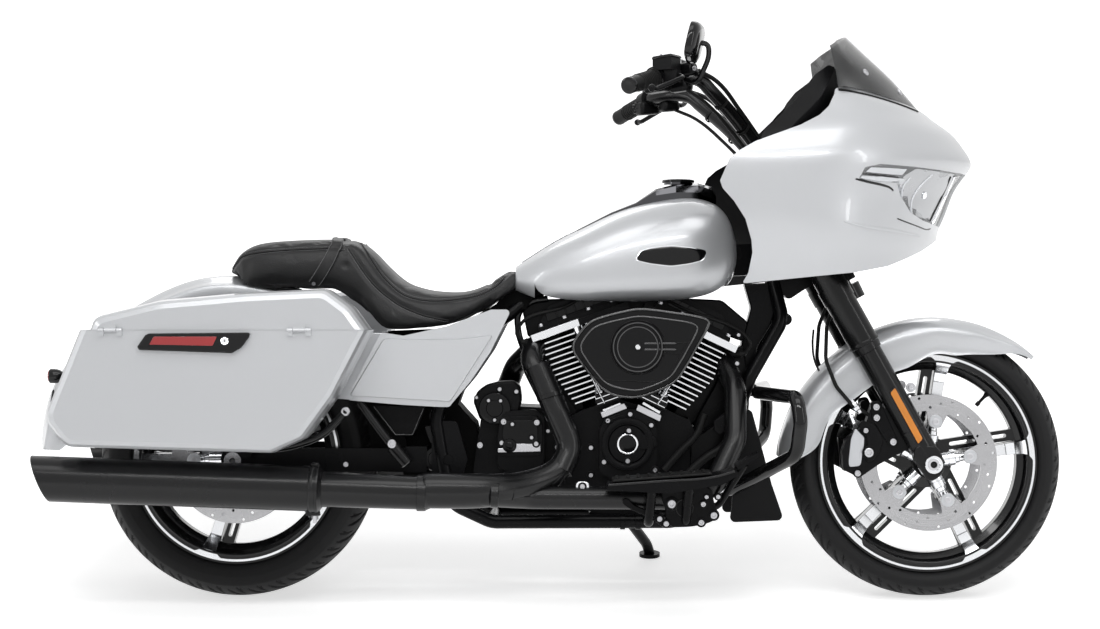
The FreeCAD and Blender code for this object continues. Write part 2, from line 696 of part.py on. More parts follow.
def fender_rows(table, axle, angles, crown):
    rows = []
    for angle in angles:
        outer, low, half = blend(table, angle)
        way = Vector(math.cos(math.radians(angle)), 0, math.sin(math.radians(angle)))
        depth = outer - low
        right = [(half, low), (half, low + 0.45 * depth), (half - 0.02 * half, low + 0.70 * depth),
                 (0.87 * half, outer - min(crown * 0.48, depth * 0.26)),
                 (0.55 * half, outer - min(crown * 0.13, depth * 0.07))]
        section = [(-y, r) for y, r in right] + [(0, outer)] + [(y, r) for y, r in reversed(right)]
        rows.append([axle + way * r + Vector(0, y, 0) for y, r in section])
    return rows


def fender_shell(name, table, axle, angles, crown):
    lines = fender_rows(table, axle, angles, crown)
    normals = [Vector(math.sin(math.radians(a)), 0, -math.cos(math.radians(a))) for a in angles]
    return shaped(name, skin(lines, d.fender_wall, normals))


front_angles = [44, 46, 49, 53, 58, 64, 71, 79, 88, 98, 108, 119, 130, 140, 150, 160, 169, 178]
leg_rooms = [cylinder("fender_leg_room", d.fork_leg_radius + d.seat_gap, d.fork_leg_length,
                      Vector(leg_foot.x, leg_foot.y * side, leg_foot.z), fork_way) for side in (1, -1)]
front_shell = fender_shell("front_fender_shell", FENDER, front_axle_at, front_angles, 36)
node("front_fender", cut("front_fender_seated", front_shell, leg_rooms))

# Front brake: a caliper over each disc, held off the leg's back, and the hose that feeds it.
caliper_side = [(1487, 462), (1532, 440), (1584, 360), (1503, 318), (1456, 286), (1420, 304), (1416, 349),
                (1430, 381), (1470, 408)]
disc_out = number(d.disc_offset + d.disc_thickness / 2)
caliper_outer = plate("caliper_outer", caliper_side, -112, 112 - disc_out - 5.3, 9)
inner_side = [(1442, 300), (1500, 322), (1512, 352), (1490, 396), (1446, 380), (1430, 345)]
caliper_inner = plate("caliper_inner", inner_side, -62, 16, 9)
caliper_bridge = plate("caliper_bridge", [(1432, 300), (1456, 296), (1450, 388), (1426, 372)], -100, 52, 6)
caliper_whole = fuse("caliper_whole", [caliper_outer, caliper_inner, caliper_bridge])
caliper_gaps = [
    cylinder("caliper_leg_gap", d.fork_leg_radius + 0.3, 420, on_fork(-30), fork_way),
    cylinder("caliper_lug_gap", 23.3, 80, leg_foot + Vector(0, -40, 0), Y_AXIS),
    cylinder("caliper_disc_gap", d.disc_radius + 5, d.disc_thickness + 10,
             front_axle_at - point(0, d.disc_offset + d.disc_thickness / 2 + 5, 0), Y_AXIS),
]
caliper = cut("caliper_right", caliper_whole, caliper_gaps)
node("front_calipers", pair("caliper_pair", caliper))
hose_path = [Vector(1412, -60, 716), Vector(1384, -80, 640), Vector(1380, -92, 560), Vector(1404, -98, 498),
             Vector(1440, -100, 456), Vector(1490, -100, 426)]
hose = tube("brake_hose", hose_path, 4.5, 60)
node("brake_lines", pair("brake_line_pair", cut("brake_hose_right", hose, [caliper_whole, nodes["triple_clamps"]])))


# Frame: one welded structure of neck, backbone, front downtubes, lower rails, uprights and rear rails.

def side_tubes(name, paths, radius, bend):
    """Tubes down the right side and the same on the left."""
    made = []
    for index, path in enumerate(paths):
        right = tube(f"{name}{index}", [Vector(*p) for p in path], radius, bend)
        made += [right, mirrored(f"{name}{index}_left", right)]
    return made


neck_low, neck_high = on_steering(d.neck_low), on_steering(d.neck_high)
neck_length = neck_low.distanceToPoint(neck_high)
neck = cylinder("neck", d.neck_radius, neck_length, neck_low, steer_way)
neck_bore = cylinder("neck_bore", d.stem_radius + 0.3, neck_length + 40, neck_low - steer_way * 20, steer_way)
spine_tilt = math.degrees(math.atan2(30, 625))
spine_middle = Vector(1072, 0, 790)
backbone = block("backbone", 630, d.backbone_width, d.backbone_height, spine_middle, Rotation(Y_AXIS, -spine_tilt))
gusset = plate("neck_gusset", [(1396, 806), (1408, 770), (1330, 720), (1300, 700), (1240, 770), (1240, 800)], -20, 40, 12)
TUBE = d.frame_tube_radius
RAIL = d.rail_tube_radius
CRADLE_PATH = [(1262, -14, 752), (1284, -50, 655), (1205, -72, 520), (1100, -106, 240), (1030, -124, 186),
               (860, -125, 185), (600, -125, 185), (505, -138, 230), (472, -138, 420), (512, -118, 585),
               (640, -66, 668), (766, -16, 768)]
RAIL_PATH = [(490, -125.6, 556), (370, -125.6, 592), (180, -125.6, 600), (-190, -125.6, 560)]


def cradle_room(name):
    """The cradle's tubes with a little slack round them, for what is clamped to them."""
    return side_tubes(name, [CRADLE_PATH], TUBE + d.seat_gap, 60)


def rail_room(name):
    return side_tubes(name, [RAIL_PATH], RAIL + d.seat_gap, 60)


frame_tubes = side_tubes("frame_side", [CRADLE_PATH], TUBE, 60)
rear_rails = side_tubes("rear_rail", [RAIL_PATH], RAIL, 60)
crosses = [
    cylinder(f"frame_cross{i}", radius, 2 * half, Vector(x, -half, z), Y_AXIS)
    for i, (x, z, half, radius) in enumerate([(600, 185, 124, 14), (1030, 186, 122, 14), (474, 430, 136, 18),
                                              (505, 565, 118, 14), (1292, 655, 48, 14)])
]
pivot_plates = []
for side in (1, -1):
    pivot_plates.append(plate(f"pivot_plate{side}", [(462, 250), (520, 250), (545, 330), (520, 420), (462, 420)],
                              side * 138 - 7, 14, 14))
STAND_PIVOT = point(d.stand_pivot_x, 184, 186)
STAND_AXIS = Vector(0, 0.678, 0.735).normalize()
stand_pin = cylinder("stand_pin", 7, 46, STAND_PIVOT - STAND_AXIS * 26, STAND_AXIS)
stand_base = cylinder("stand_base", 19, 9, STAND_PIVOT - STAND_AXIS * 27, STAND_AXIS)
stand_arm = block("stand_arm", 44, 50, 22, STAND_PIVOT + Vector(0, -40, -16))

# Hollows in the backbone's sides, where a fork leg swings in at full lock.
lock_turn = Rotation(steer_way, -number(d.steer_lock))
lock_foot = steer_foot + lock_turn.multVec(on_fork(d.fork_leg_length) - steer_foot)
lock_room = cylinder("lock_room", d.fork_cover_radius + d.moving_gap, d.fork_cover_length + 60, lock_foot,
                     lock_turn.multVec(fork_way))
frame_body = fuse("frame_body", [neck, backbone, gusset, *frame_tubes, *rear_rails, *crosses, *pivot_plates,
                                 stand_pin, stand_base, stand_arm])
pivot_bore = cylinder("pivot_bore", 12.3, 340, Vector(500, -170, 330), Y_AXIS)
node("frame", cut("frame_whole", frame_body, [neck_bore, pivot_bore, lock_room, mirrored("lock_room_left", lock_room)]))

# Engine: an air-cooled V-twin with finned barrels, on a crankcase with cam, primary and gear covers.

crank = point(d.crank_x, 0, d.crank_z)
CYLINDERS = {
    "rear": math.radians(number(d.engine_pitch - d.cylinder_half_angle)),
    "front": math.radians(number(d.engine_pitch + d.cylinder_half_angle)),
}


def cylinder_frame(angle):
    """A placement whose Z runs up that cylinder from the crank, its X forward across it."""
    return Placement(crank, Rotation(Y_AXIS, math.degrees(angle)))


case_side = [(770.5, 262), (800, 214), (880, 196), (985, 200), (1058, 236), (1084, 300), (1084, 372), (1050, 444),
             (1012, 470), (985, 452), (930, 458), (880, 474), (826, 452), (770.5, 420)]
case_core = plate("case_core", case_side, -d.case_half_width, d.case_half_width * 2, 22)
decks = []
for label, angle in CYLINDERS.items():
    deck = cylinder(f"{label}_deck", 61, d.deck_length - 40, Vector(), Z_AXIS)
    deck.Placement = cylinder_frame(angle).multiply(Placement(Vector(0, 0, 40), Rotation()))
    decks.append(deck)
oil_pan = plate("oil_pan", [(840, 175), (980, 175), (1000, 205), (820, 205)], -70, 140, 8)
deck_rooms = []
for label, angle in CYLINDERS.items():
    room = block(f"{label}_deck_room", 172, 2 * number(d.fin_depth) + 20, 80, Vector(0, 0, number(d.deck_length) + 40))
    room.Placement = cylinder_frame(angle).multiply(room.Placement)
    deck_rooms.append(room)
node("crankcase", cut("crankcase_seated", fuse("crankcase_whole", [case_core, *decks, oil_pan]), deck_rooms))

barrels, heads, pushrods = [], [], []
for label, angle in CYLINDERS.items():
    local = cylinder_frame(angle)
    barrel = cylinder(f"{label}_barrel", d.barrel_radius, d.head_length - d.deck_length, Vector(0, 0, 0), Z_AXIS)
    barrel.Placement = Placement(Vector(0, 0, number(d.deck_length)), Rotation())
    fins = []
    for k in range(int(number(d.fin_count))):
        half = d.fin_half_base + (d.fin_half_top - d.fin_half_base) * (k / (number(d.fin_count) - 1))
        at = d.fin_start + d.fin_pitch * k
        fin = bind(doc.addObject("Part::Box", f"{label}_fin{k}"), Length=half * 2, Width=d.fin_depth * 2,
                   Height=d.fin_thickness)
        fin.Placement = Placement(point(-half, -d.fin_depth, at), Rotation())
        fins.append(fin)
    round_off = cylinder(f"{label}_round", 134, 260, Vector(0, 0, 130), Z_AXIS)
    finned = common(f"{label}_fins", fuse(f"{label}_stack", [barrel, *fins]), round_off)
    finned.Placement = local
    outward = 1 if label == "front" else -1
    beyond = block(f"{label}_beyond", 300, 260, 420, Vector(outward * -149.6, 0, 210))
    beyond.Placement = Placement(crank, Rotation(Y_AXIS, number(d.engine_pitch))).multiply(beyond.Placement)
    barrels.append(cut(f"{label}_trimmed", finned, [beyond]))

    lower = block(f"{label}_head_plate", 2 * d.fin_half_top, 204, 15, Vector(0, -10, number(d.head_length) + 7.5))
    rocker = [(-92, 346), (92, 346), (84, 372), (56, 398), (-56, 398), (-84, 372)]
    rocker_local = plate(f"{label}_rocker", rocker, -82, 164, 16)
    rib = plate(f"{label}_rocker_rib", [(-98, 346), (98, 346), (96, 358), (-96, 358)], -90, 180, 4)
    head = fuse(f"{label}_head", [lower, rocker_local, rib])
    head.Placement = local
    heads.append(head)

    for offset in (-15, 15):
        rod = cylinder(f"{label}_pushrod", 9.5, 166, Vector(), Z_AXIS)
        rod.Placement = local.multiply(Placement(Vector(offset - 6 * outward, -101, 164.8), Rotation()))
        pushrods.append(rod)
    tappets = block(f"{label}_tappets", 62, 22, 26, Vector(-6 * outward, -106.5, 151.5))
    tappets.Placement = local.multiply(tappets.Placement)
    pushrods.append(tappets)
node("cylinders", group("cylinder_pair", barrels))
node("cylinder_heads", group("head_pair", heads))
node("pushrod_tubes", group("pushrod_group", pushrods))

cam_side = [(851, 300), (880, 284), (972, 284), (984, 330), (984, 400), (966, 446), (878, 446), (851, 400)]
cam_plate = plate("cam_plate", cam_side, -128, 128 - number(d.case_half_width) - 0.3, 16)
cam_ring = cylinder("cam_ring", 60, 20, Vector(916, -138, 366), Y_AXIS)
cam_dish = cylinder("cam_dish", 46, 6, Vector(916, -139, 366), Y_AXIS)
node("cam_cover", cut("cam_cover_whole", fuse("cam_body", [cam_plate, cam_ring]), [cam_dish]))

cleaner_side = [(782, 592), (826, 652), (938, 681), (1058, 665), (1103, 655), (1098, 636), (1025, 510), (938, 475),
                (888, 480), (857, 495), (818, 544)]
cleaner_back = plate("cleaner_back", cleaner_side, -186, 52, 14)
raised_side = [(800, 592), (836, 640), (938, 664), (1050, 650), (1080, 640), (1012, 520), (936, 490), (864, 506)]
cleaner_front = plate("cleaner_front", raised_side, -200, 20, 16)
medallion = cylinder("cleaner_medallion", 56, 14, Vector(937, -206, 592), Y_AXIS)
node("air_cleaner", fuse("air_cleaner_whole", [cleaner_back, cleaner_front, medallion,
                                               cylinder("intake_elbow", 30, 46, Vector(930, -134.3, 590), Y_AXIS)]))

gear_side = [(556, 300), (590, 232), (640, 214), (770, 214), (770, 420), (740, 448), (650, 452), (575, 430)]
gear_case = plate("gear_case", gear_side, -92, 184, 16)
gear_cover = plate("gear_cover", [(613, 318), (640, 300), (712, 300), (722, 330), (722, 430), (700, 446), (625, 440)],
                   -124, 33, 14)
starter = cylinder("starter_motor", 36, 150, Vector(607, -118, 448), Y_AXIS)
sprocket = cylinder("belt_sprocket", 42, d.pulley_width + 2, Vector(640, number(belt_low) - 1, 330), Y_AXIS)
sprocket_shaft = cylinder("sprocket_shaft", 20, 58, Vector(640, 60, 330), Y_AXIS)
node("gearbox", fuse("gear_whole", [gear_case, gear_cover, starter, sprocket_shaft, sprocket]))

primary_side = [(600, 360), (620, 262), (700, 222), (930, 226), (1010, 262), (1022, 350), (990, 424), (900, 440),
                (690, 440), (625, 424)]
primary = plate("primary_shell", primary_side, number(d.case_half_width) + 20, 62, 50)
primary_rim = plate("primary_rim", primary_side, number(d.case_half_width) + 0.3, 22, 50)
primary_inset = plate("primary_inset", [(668, 360), (680, 300), (740, 268), (760, 340), (740, 400), (690, 404)],
                      number(d.case_half_width) + 76, 12, 30)
primary_body = fuse("primary_body", [primary, primary_rim, primary_inset])
primary_gap = cylinder("primary_gap", 56, 60, Vector(640, 64, 330), Y_AXIS)
primary_run = block("primary_run", 100, 60, 112, Vector(590, 94, 330))
node("primary_cover", cut("primary_whole", primary_body, [primary_gap, primary_run]))

GUARD_PATH = [(1222, -88, 484), (1282, -396, 484), (1288, -410, 430), (1281, -396, 358), (1158, -142, 262),
              (1124, -118, 262)]
HEADER_FRONT = [Vector(*p) for p in [(1144, -64, 556), (1166, -120, 494), (1164, -180, 380), (1110, -214, 270),
                                     (1010, -228, 248), (690, -234, 250), (590, -318, 262.7), (478.2, -318, 266.8)]]
chin_side = [(1166, 452), (1204, 444), (1250, 274), (1279, 189), (1152, 184), (1158, 225)]
chin_outer = plate("chin_outer", chin_side, -132, 264, 12)
chin_hollow = plate("chin_hollow", [(1100, 470), (1186, 470), (1242, 274), (1268, 195), (1268, 150), (1100, 150)],
                    -127, 254, 8)
chin_lugs = [cylinder("chin_lug", 8, 40, Vector(1182, y, 420), Y_AXIS) for y in (-128, 88)]
chin_wall = cut("chin_wall", chin_outer, [chin_hollow])
node("chin_cover", cut("chin_whole", fuse("chin_body", [chin_wall, *chin_lugs]),
                       [*cradle_room("chin_room"), *side_tubes("chin_guard_room", [GUARD_PATH], d.guard_radius + d.seat_gap, 44),
                        tube("chin_header_room", HEADER_FRONT, d.header_radius + 5, 70)]))

# Drive: swingarm, axle, shocks, rear caliper and belt.

arm_right = block("arm_right", 474, 28, 54, Vector(213, -116, 329))
arm_left = block("arm_left", 474, 28, 54, Vector(213, 140, 329))
arm_cross = block("arm_cross", 50, 284, 60, Vector(425, 12, 330))
arm_bridge = block("arm_bridge", 70, 180, 48, Vector(465, 0, 330))
arm_pivot = cylinder("arm_pivot", 26, 214, Vector(500, -107, 330), Y_AXIS)
arm_bolt = cylinder("arm_bolt", 12, 294, Vector(500, -147, 330), Y_AXIS)
arm_hole = cylinder("arm_axle_hole", d.rear_axle_radius + 0.3, 400, Vector(0, -200, number(d.rear_tyre_radius)), Y_AXIS)
swing = cut("swing_whole", fuse("swing_body", [arm_right, arm_left, arm_cross, arm_pivot, arm_bridge]), [arm_hole])
node("swingarm", fuse("swingarm_all", [swing, arm_bolt]))

axle_from = -141.3
rear_bar = cylinder("rear_axle_bar", d.rear_axle_radius, 306, rear_axle_at + Vector(0, axle_from, 0), Y_AXIS)
rear_cap = cylinder("rear_axle_cap", 20, 11, rear_axle_at + Vector(0, axle_from, 0), Y_AXIS)
rear_nut = cylinder("rear_axle_nut", 20, 12, rear_axle_at + Vector(0, 154.3, 0), Y_AXIS)
rear_hole = cylinder("rear_axle_hole", d.rear_axle_bore, 360, rear_axle_at + Vector(0, -170, 0), Y_AXIS)
node("rear_axle", cut("rear_axle_whole", fuse("rear_axle_body", [rear_bar, rear_cap, rear_nut]), [rear_hole]))

shocks = []
for side in (-1, 1):
    low, high = Vector(36, side * 178, 352), Vector(78, side * 178, 560)
    way = (high - low).normalize()
    spring = cylinder("shock_body", d.shock_radius, 130, low + way * 56, way)
    rod = cylinder("shock_rod", 11, 214, low, way)
    eyes = [cylinder("shock_eye", 16, 30, place + Vector(0, -15, 0), Y_AXIS) for place in (low, high)]
    arm_face = 130.3 if side < 0 else 154.3
    low_peg = cylinder("shock_peg", 9, 178 - arm_face, Vector(low.x, side * arm_face if side > 0 else -178, low.z), Y_AXIS)
    high_peg = cylinder("shock_peg_high", 9, 178 - 125, Vector(high.x, 125 if side > 0 else -178, high.z), Y_AXIS)
    shocks.append(fuse(f"shock{side}", [spring, rod, *eyes, low_peg, high_peg]))
node("rear_shocks", cut("shocks_seated", group("shock_pair", shocks), rail_room("shock_room")))

rear_caliper_side = [(112, 368), (166, 372), (172, 420), (130, 458), (74, 440), (84, 418), (104, 396)]
rear_block = plate("rear_caliper_block", rear_caliper_side, -108, 48, 8)
rear_bracket = block("rear_caliper_bracket", 60, 20, 40, Vector(128, -112, 376.4))
rear_room = cylinder("rear_caliper_room", d.rear_disc_radius + 5.5, 15.4, rear_axle_at + Vector(0, -91.7, 0), Y_AXIS)
node("rear_caliper", cut("rear_caliper_whole", fuse("rear_caliper_body", [rear_block, rear_bracket]), [rear_room]))

belt_out, belt_small = d.pulley_radius + 0.6, 42.6
far_centre, near_centre = Vector(0, 0, 327.6), Vector(640, 0, 330)


def belt_loop(name, extra):
    """The band round both pulleys, from its outline of two arcs and two straight runs."""
    big, small = number(belt_out) + extra, belt_small + extra
    angle = math.asin((big - small) / near_centre.distanceToPoint(far_centre))
    up = Vector(math.sin(angle), 0, math.cos(angle))
    down = Vector(math.sin(angle), 0, -math.cos(angle))
    a, b = far_centre + up * big, near_centre + up * small
    c, e = near_centre + down * small, far_centre + down * big
    wire = Part.Wire([
        Part.LineSegment(a, b).toShape(), Part.Arc(b, near_centre + X_AXIS * small, c).toShape(),
        Part.LineSegment(c, e).toShape(), Part.Arc(e, far_centre - X_AXIS * big, a).toShape(),
    ])
    wire.translate(Vector(0, number(belt_low), 0))
    item = doc.addObject("Part::Extrusion", name)
    item.Base, item.DirMode, item.Dir, item.Solid = shaped(name + "_loop", wire), "Custom", Y_AXIS, True
    return bind(item, LengthFwd=d.pulley_width - 2)


node("drive_belt", cut("belt_band", belt_loop("belt_outer", number(d.belt_thickness)), [belt_loop("belt_inner", 0.0)]))


# Exhaust

MUFFLER_AT = Vector(-430, -number(d.muffler_offset), 300.5)
muffler_way = Vector(1, 0, -0.037).normalize()
wall = d.muffler_wall
muffler_tube = turned("muffler_tube", [
    (0, d.muffler_radius - wall), (0, d.muffler_radius), (632, d.muffler_radius), (634, d.muffler_radius + 3),
    (648, d.muffler_radius + 3), (656, 40), (880, 38), (908, 28), (908, 0), (300, 0),
    (300, d.muffler_radius - wall),
], MUFFLER_AT, muffler_way)
slash = block("muffler_slash", 60, 140, 200, MUFFLER_AT + Vector(-6, 0, 0), Rotation(Y_AXIS, -22))
muffler = cut("muffler_right", muffler_tube, [slash])
node("mufflers", pair("muffler_pair", muffler))

PORT = {
    "right_front": HEADER_FRONT,
    "right_rear": [(700, -80, 590), (690, -140, 560), (752, -176, 440), (786, -182, 360), (740, -214, 290),
                   (660, -232, 262)],
    "left": [(700, 50, 590), (650, 130, 540), (606, 190, 430), (610, 258, 330), (580, 318, 263.2),
             (478.2, 318, 266.8)],
}
header_pipes = [tube("header_" + label, [Vector(*p) for p in path], d.header_radius - 1, 70)
                for label, path in PORT.items()]
shield = tube("header_shield", [Vector(706, -160, 548), Vector(752, -178, 440), Vector(785, -184, 362),
                                Vector(760, -204, 308)], d.header_radius + 2, 60)
right_header = fuse("header_right", [header_pipes[0], header_pipes[1], shield])
node("exhaust_headers", cut("headers_seated", group("header_group", [right_header, header_pipes[2]]), heads + barrels))

# Tank, with a tunnel over the backbone and room for the rocker boxes.

TANK = [
    (655, 780, 724, 88), (700, 809, 706, 120), (752, 841, 701, 142), (814, 872, 698, 158), (876, 902, 697, 167),
    (938, 924, 697, 171), (1000, 938, 699, 172), (1062, 944, 704, 168), (1110, 935, 714, 156),
    (1142, 914, 729, 138), (1162, 882, 752, 114), (1172, 846, 782, 86),
]


def tank_section(x, grow=0.0):
    top, bottom, half = blend(TANK, x)
    top, bottom, half = top + grow, bottom - grow, half + grow
    tall = top - bottom
    right = [(0.70, 0.0), (0.93, 0.10), (1.0, 0.33), (0.97, 0.56), (0.84, 0.78), (0.58, 0.93), (0.28, 0.99)]
    side = [Vector(x, -half * a, bottom + tall * b) for a, b in right]
    other = [Vector(x, -p.y, p.z) for p in reversed(side)]
    return closed_curve(side + [Vector(x, 0, top)] + other + [Vector(x, 0, bottom - 1)])


tank_at = [655, 676, 700, 752, 814, 876, 938, 1000, 1062, 1110, 1142, 1162, 1172]
tank_full = shaped("tank_full", lofted([tank_section(x) for x in tank_at]))
tunnel = block("tank_tunnel", 700, d.tunnel_width, 86, spine_middle, Rotation(Y_AXIS, -spine_tilt))
tunnel_low = block("tank_tunnel_low", 700, d.tunnel_width, 200, spine_middle + Vector(0, 0, -90),
                   Rotation(Y_AXIS, -spine_tilt))
rocker_room = block("rocker_room", 450, 240, 120, Vector(925, 0, 690))
node("fuel_tank", cut("tank_whole", tank_full, [tunnel, tunnel_low, rocker_room, *cradle_room("tank_room")]))

CONSOLE = [(800, 868, 14, 42), (880, 909, 16, 46), (938, 932, 18, 50), (985, 964, 34, 54), (1032, 976, 44, 56),
           (1085, 979, 50, 54), (1118, 970, 60, 46), (1128, 955, 70, 38)]


def console_section(x):
    top, tall, half = blend(CONSOLE, x)
    low = top - tall
    side = [Vector(x, -half, low), Vector(x, -half, low + tall * 0.5), Vector(x, -half * 0.86, low + tall * 0.84),
            Vector(x, -half * 0.5, top - tall * 0.03)]
    return Part.makePolygon([*side, Vector(x, 0, top), *[Vector(p.x, -p.y, p.z) for p in reversed(side)], side[0]])


console_block = shaped("console_block", lofted([console_section(row[0]) for row in CONSOLE], True))
tank_lifted = shaped("tank_lifted", tank_full.Shape.copy())
tank_lifted.Placement = Placement(Vector(0, 0, 0.3), Rotation())
fuel_cap = cylinder("fuel_cap", 34, 10, Vector(1040, 0, 974), Z_AXIS)
console_cut = cut("console_seated", fuse("console_and_cap", [console_block, fuel_cap]), [tank_lifted])
node("tank_console", console_cut)

# Two-up saddle: passenger pad behind, a deep bucket for the rider in front, a narrow nose on the tank.

SADDLE = [
    (-24, 762, 738, 66), (-8, 790, 733, 98), (18, 816, 731, 124), (60, 832, 731, 141), (140, 839, 732, 150),
    (230, 841, 732, 152), (284, 836, 700, 153), (318, 812, 664, 156), (350, 778, 634, 160), (390, 744, 629, 165),
    (430, 728, 631, 170), (480, 719, 636, 172), (540, 719, 654, 166), (590, 736, 684, 144), (630, 763, 714, 116),
    (652, 778, 733, 98),
]


def saddle_section(x):
    top, bottom, half = blend(SADDLE, x)
    tall = top - bottom
    right = [(0.93, 0.0), (0.985, 0.16), (1.0, 0.42), (0.955, 0.70), (0.83, 0.90), (0.56, 0.985), (0.28, 1.0)]
    side = [Vector(x, -half * a, bottom + tall * b) for a, b in right]
    line = side + [Vector(x, 0, top)] + [Vector(x, -p.y, p.z) for p in reversed(side)]
    curve = Part.BSplineCurve()
    curve.interpolate(line)
    return Part.Wire([curve.toShape(), Part.LineSegment(line[-1], line[0]).toShape()])


saddle_full = shaped("saddle_full", lofted([saddle_section(row[0]) for row in SADDLE]))
fender_room = cylinder("saddle_fender_room", d.rear_fender_radius + 1.5, 2 * number(d.rear_fender_half) + 3,
                       rear_axle_at - point(0, d.rear_fender_half + 1.5, 0), Y_AXIS)
frame_room = block("saddle_frame_room", 330, 250, 60, Vector(470, 0, 640))
node("seat", cut("saddle_whole", saddle_full, [fender_room, frame_room]))

REAR_FENDER = [
    (52, 412, 340, 112.2), (70, 420, 350, 112.2), (90, 427, 356, 112.2), (104, 431, 356, 112.2),
    (118, 429, 345, 112.2), (135, 440, 336, 112.2), (150, 460, 338, 112), (160, 468, 350, 110), (172, 466, 380, 104),
    (177, 462, 410, 98),
]
rear_angles = [52, 61, 70, 80, 90, 100, 110, 120, 130, 140, 150, 160, 170, 177]
rear_shell = fender_shell("rear_fender_shell", REAR_FENDER, rear_axle_at, rear_angles, 44)
node("rear_fender", cut("rear_fender_seated", rear_shell, rail_room("fender_rail_room")))

# Side covers under the saddle

cover_side = [(266, 470), (350, 626), (400, 618), (500, 640), (602, 678), (648, 678), (599, 580), (554, 514),
              (504, 454), (482, 454), (393, 459)]
cover_prism = plate("cover_prism", cover_side, -270, 160, 8)
cover_sheet = block("cover_sheet", 460, d.panel_wall, 280, Vector(458, -192, 560), Rotation(X_AXIS, 9))
cover_face = common("cover_face", cover_prism, cover_sheet)
cover_posts = [cylinder("cover_post", 8, 66, Vector(x, y, z), Y_AXIS) for x, y, z in ((494, -186, 512), (380, -198, 592))]
cover_right = cut("cover_right", fuse("cover_body", [cover_face, *cover_posts]),
                  [cradle_room("cover_cradle_room")[0], rail_room("cover_rail_room")[0]])
node("side_covers", pair("side_cover_pair", cover_right))

# Saddlebags: hollow shells with a hinged lid each.


def inset(points, distance):
    """A side-view outline drawn in by distance."""
    count, moved = len(points), []
    area = sum(points[i][0] * points[(i + 1) % count][1] - points[(i + 1) % count][0] * points[i][1]
               for i in range(count))
    turn = 1 if area > 0 else -1
    for i in range(count):
        before, here, after = points[i - 1], points[i], points[(i + 1) % count]
        a = Vector(here[0] - before[0], here[1] - before[1], 0).normalize()
        b = Vector(after[0] - here[0], after[1] - here[1], 0).normalize()
        na, nb = Vector(-a.y, a.x, 0) * turn, Vector(-b.y, b.x, 0) * turn
        way = (na + nb).normalize()
        reach = distance / max(0.35, way.dot(na))
        moved.append((here[0] + way.x * reach, here[1] + way.y * reach, *here[2:]))
    return moved


def case_shell(name, side_view, stations, wall):
    """A closed case through side-view outlines, each at its own Y and drawn in by its own amount."""
    wires = []
    for y, drawn_in in stations:
        flat = inset(side_view, drawn_in + wall)
        wires.append(outline([(p[0], y, p[1], *p[2:]) for p in flat], 12))
    return shaped(name, lofted(wires, True))


SEAM = number(d.lid_seam)
bag_side = [(-284, SEAM, 0.5), (-374, 440, 34), (-324, 374, 30), (126, 361, 40), (199, 393, 30), (266, 485, 40),
            (358, SEAM, 0.5)]
lid_side = [(-284, SEAM + 0.5, 0.5), (358, SEAM + 0.5, 0.5), (300, 684, 60), (246, 724, 30), (71, 716, 200),
            (-119, 699, 120), (-262, 664, 24)]
bag_in, bag_out = -number(d.bag_inner), -number(d.bag_half_width)
stations = [(bag_in - 0.0, 10), (bag_in - 12, 2), (bag_in - 60, 0), (bag_out + 60, 0), (bag_out + 16, 4),
            (bag_out + 5, 10), (bag_out, 20)]


def open_up(side_view, edge, reach):
    """The same outline with its seam edge pushed out by reach, for a hollow that opens there."""
    return [(p[0], p[1] + reach if abs(p[1] - edge) < 1 else p[1], *p[2:]) for p in side_view]


def bag_half(name, side_view, edge, reach):
    """Half a case: its outer shell less the hollow, cut square at the seam."""
    stretched = open_up(side_view, edge, reach)
    outer = case_shell(name + "_outer", stretched, stations, 0.0)
    wall = number(d.bag_wall)
    hollow_at = [(bag_in - wall, 10), (bag_in - 12 - wall, 3), (bag_in - 60, 0), (bag_out + 60, 0),
                 (bag_out + 17, 4), (bag_out + 5 + wall, 10), (bag_out + wall, 18)]
    hollow = case_shell(name + "_hollow", open_up(side_view, edge, reach + math.copysign(12, reach)), hollow_at, wall)
    shell = cut(name + "_shell", outer, [hollow])
    low = edge - 400 if reach > 0 else edge
    keep = block(name + "_keep", 900, 300, 400, Vector(0, (bag_in + bag_out) / 2, low + 200))
    return common(name + "_trim", shell, keep)


bag_body = bag_half("bag", bag_side, SEAM, 30)
lid_body = bag_half("lid", lid_side, SEAM + 0.5, -30)
HINGE_Y = bag_out - 5
knuckles, lid_knuckles = [], []
for x in (-222, 190):
    for offset in (-26, 14):
        knuckles.append(cylinder("bag_knuckle", 4, 12, Vector(x + offset, HINGE_Y, SEAM + 0.2), X_AXIS))
        knuckles.append(block("bag_hinge_leaf", 12, 8, 12, Vector(x + offset + 6, HINGE_Y + 2.6, SEAM - 6.2)))
    lid_knuckles.append(cylinder("lid_knuckle", 4, 26, Vector(x - 13, HINGE_Y, SEAM + 0.2), X_AXIS))
    lid_knuckles.append(block("lid_hinge_leaf", 26, 9, 10, Vector(x, HINGE_Y + 3, SEAM + 7)))
bag_right = fuse("saddlebag_body", [bag_body, *knuckles])
lid_right = fuse("lid_whole", [lid_body, *lid_knuckles])
node("saddlebag_right", group("saddlebag_right_group", [bag_right]))
node("lid_right", group("lid_right_group", [lid_right]))
node("saddlebag_left", mirrored("saddlebag_left_mirror", bag_right))
node("lid_left", mirrored("lid_left_mirror", lid_right))

latch_side = [(-162, 597, 4), (-143, 624, 8), (80, 626, 8), (82, 618, 4), (64, 594, 20), (44, 583, 8), (-158, 590, 4)]
latch = plate("latch_plate", latch_side, bag_out - 8.3, 8)
node("bag_latches", pair("latch_pair", latch))

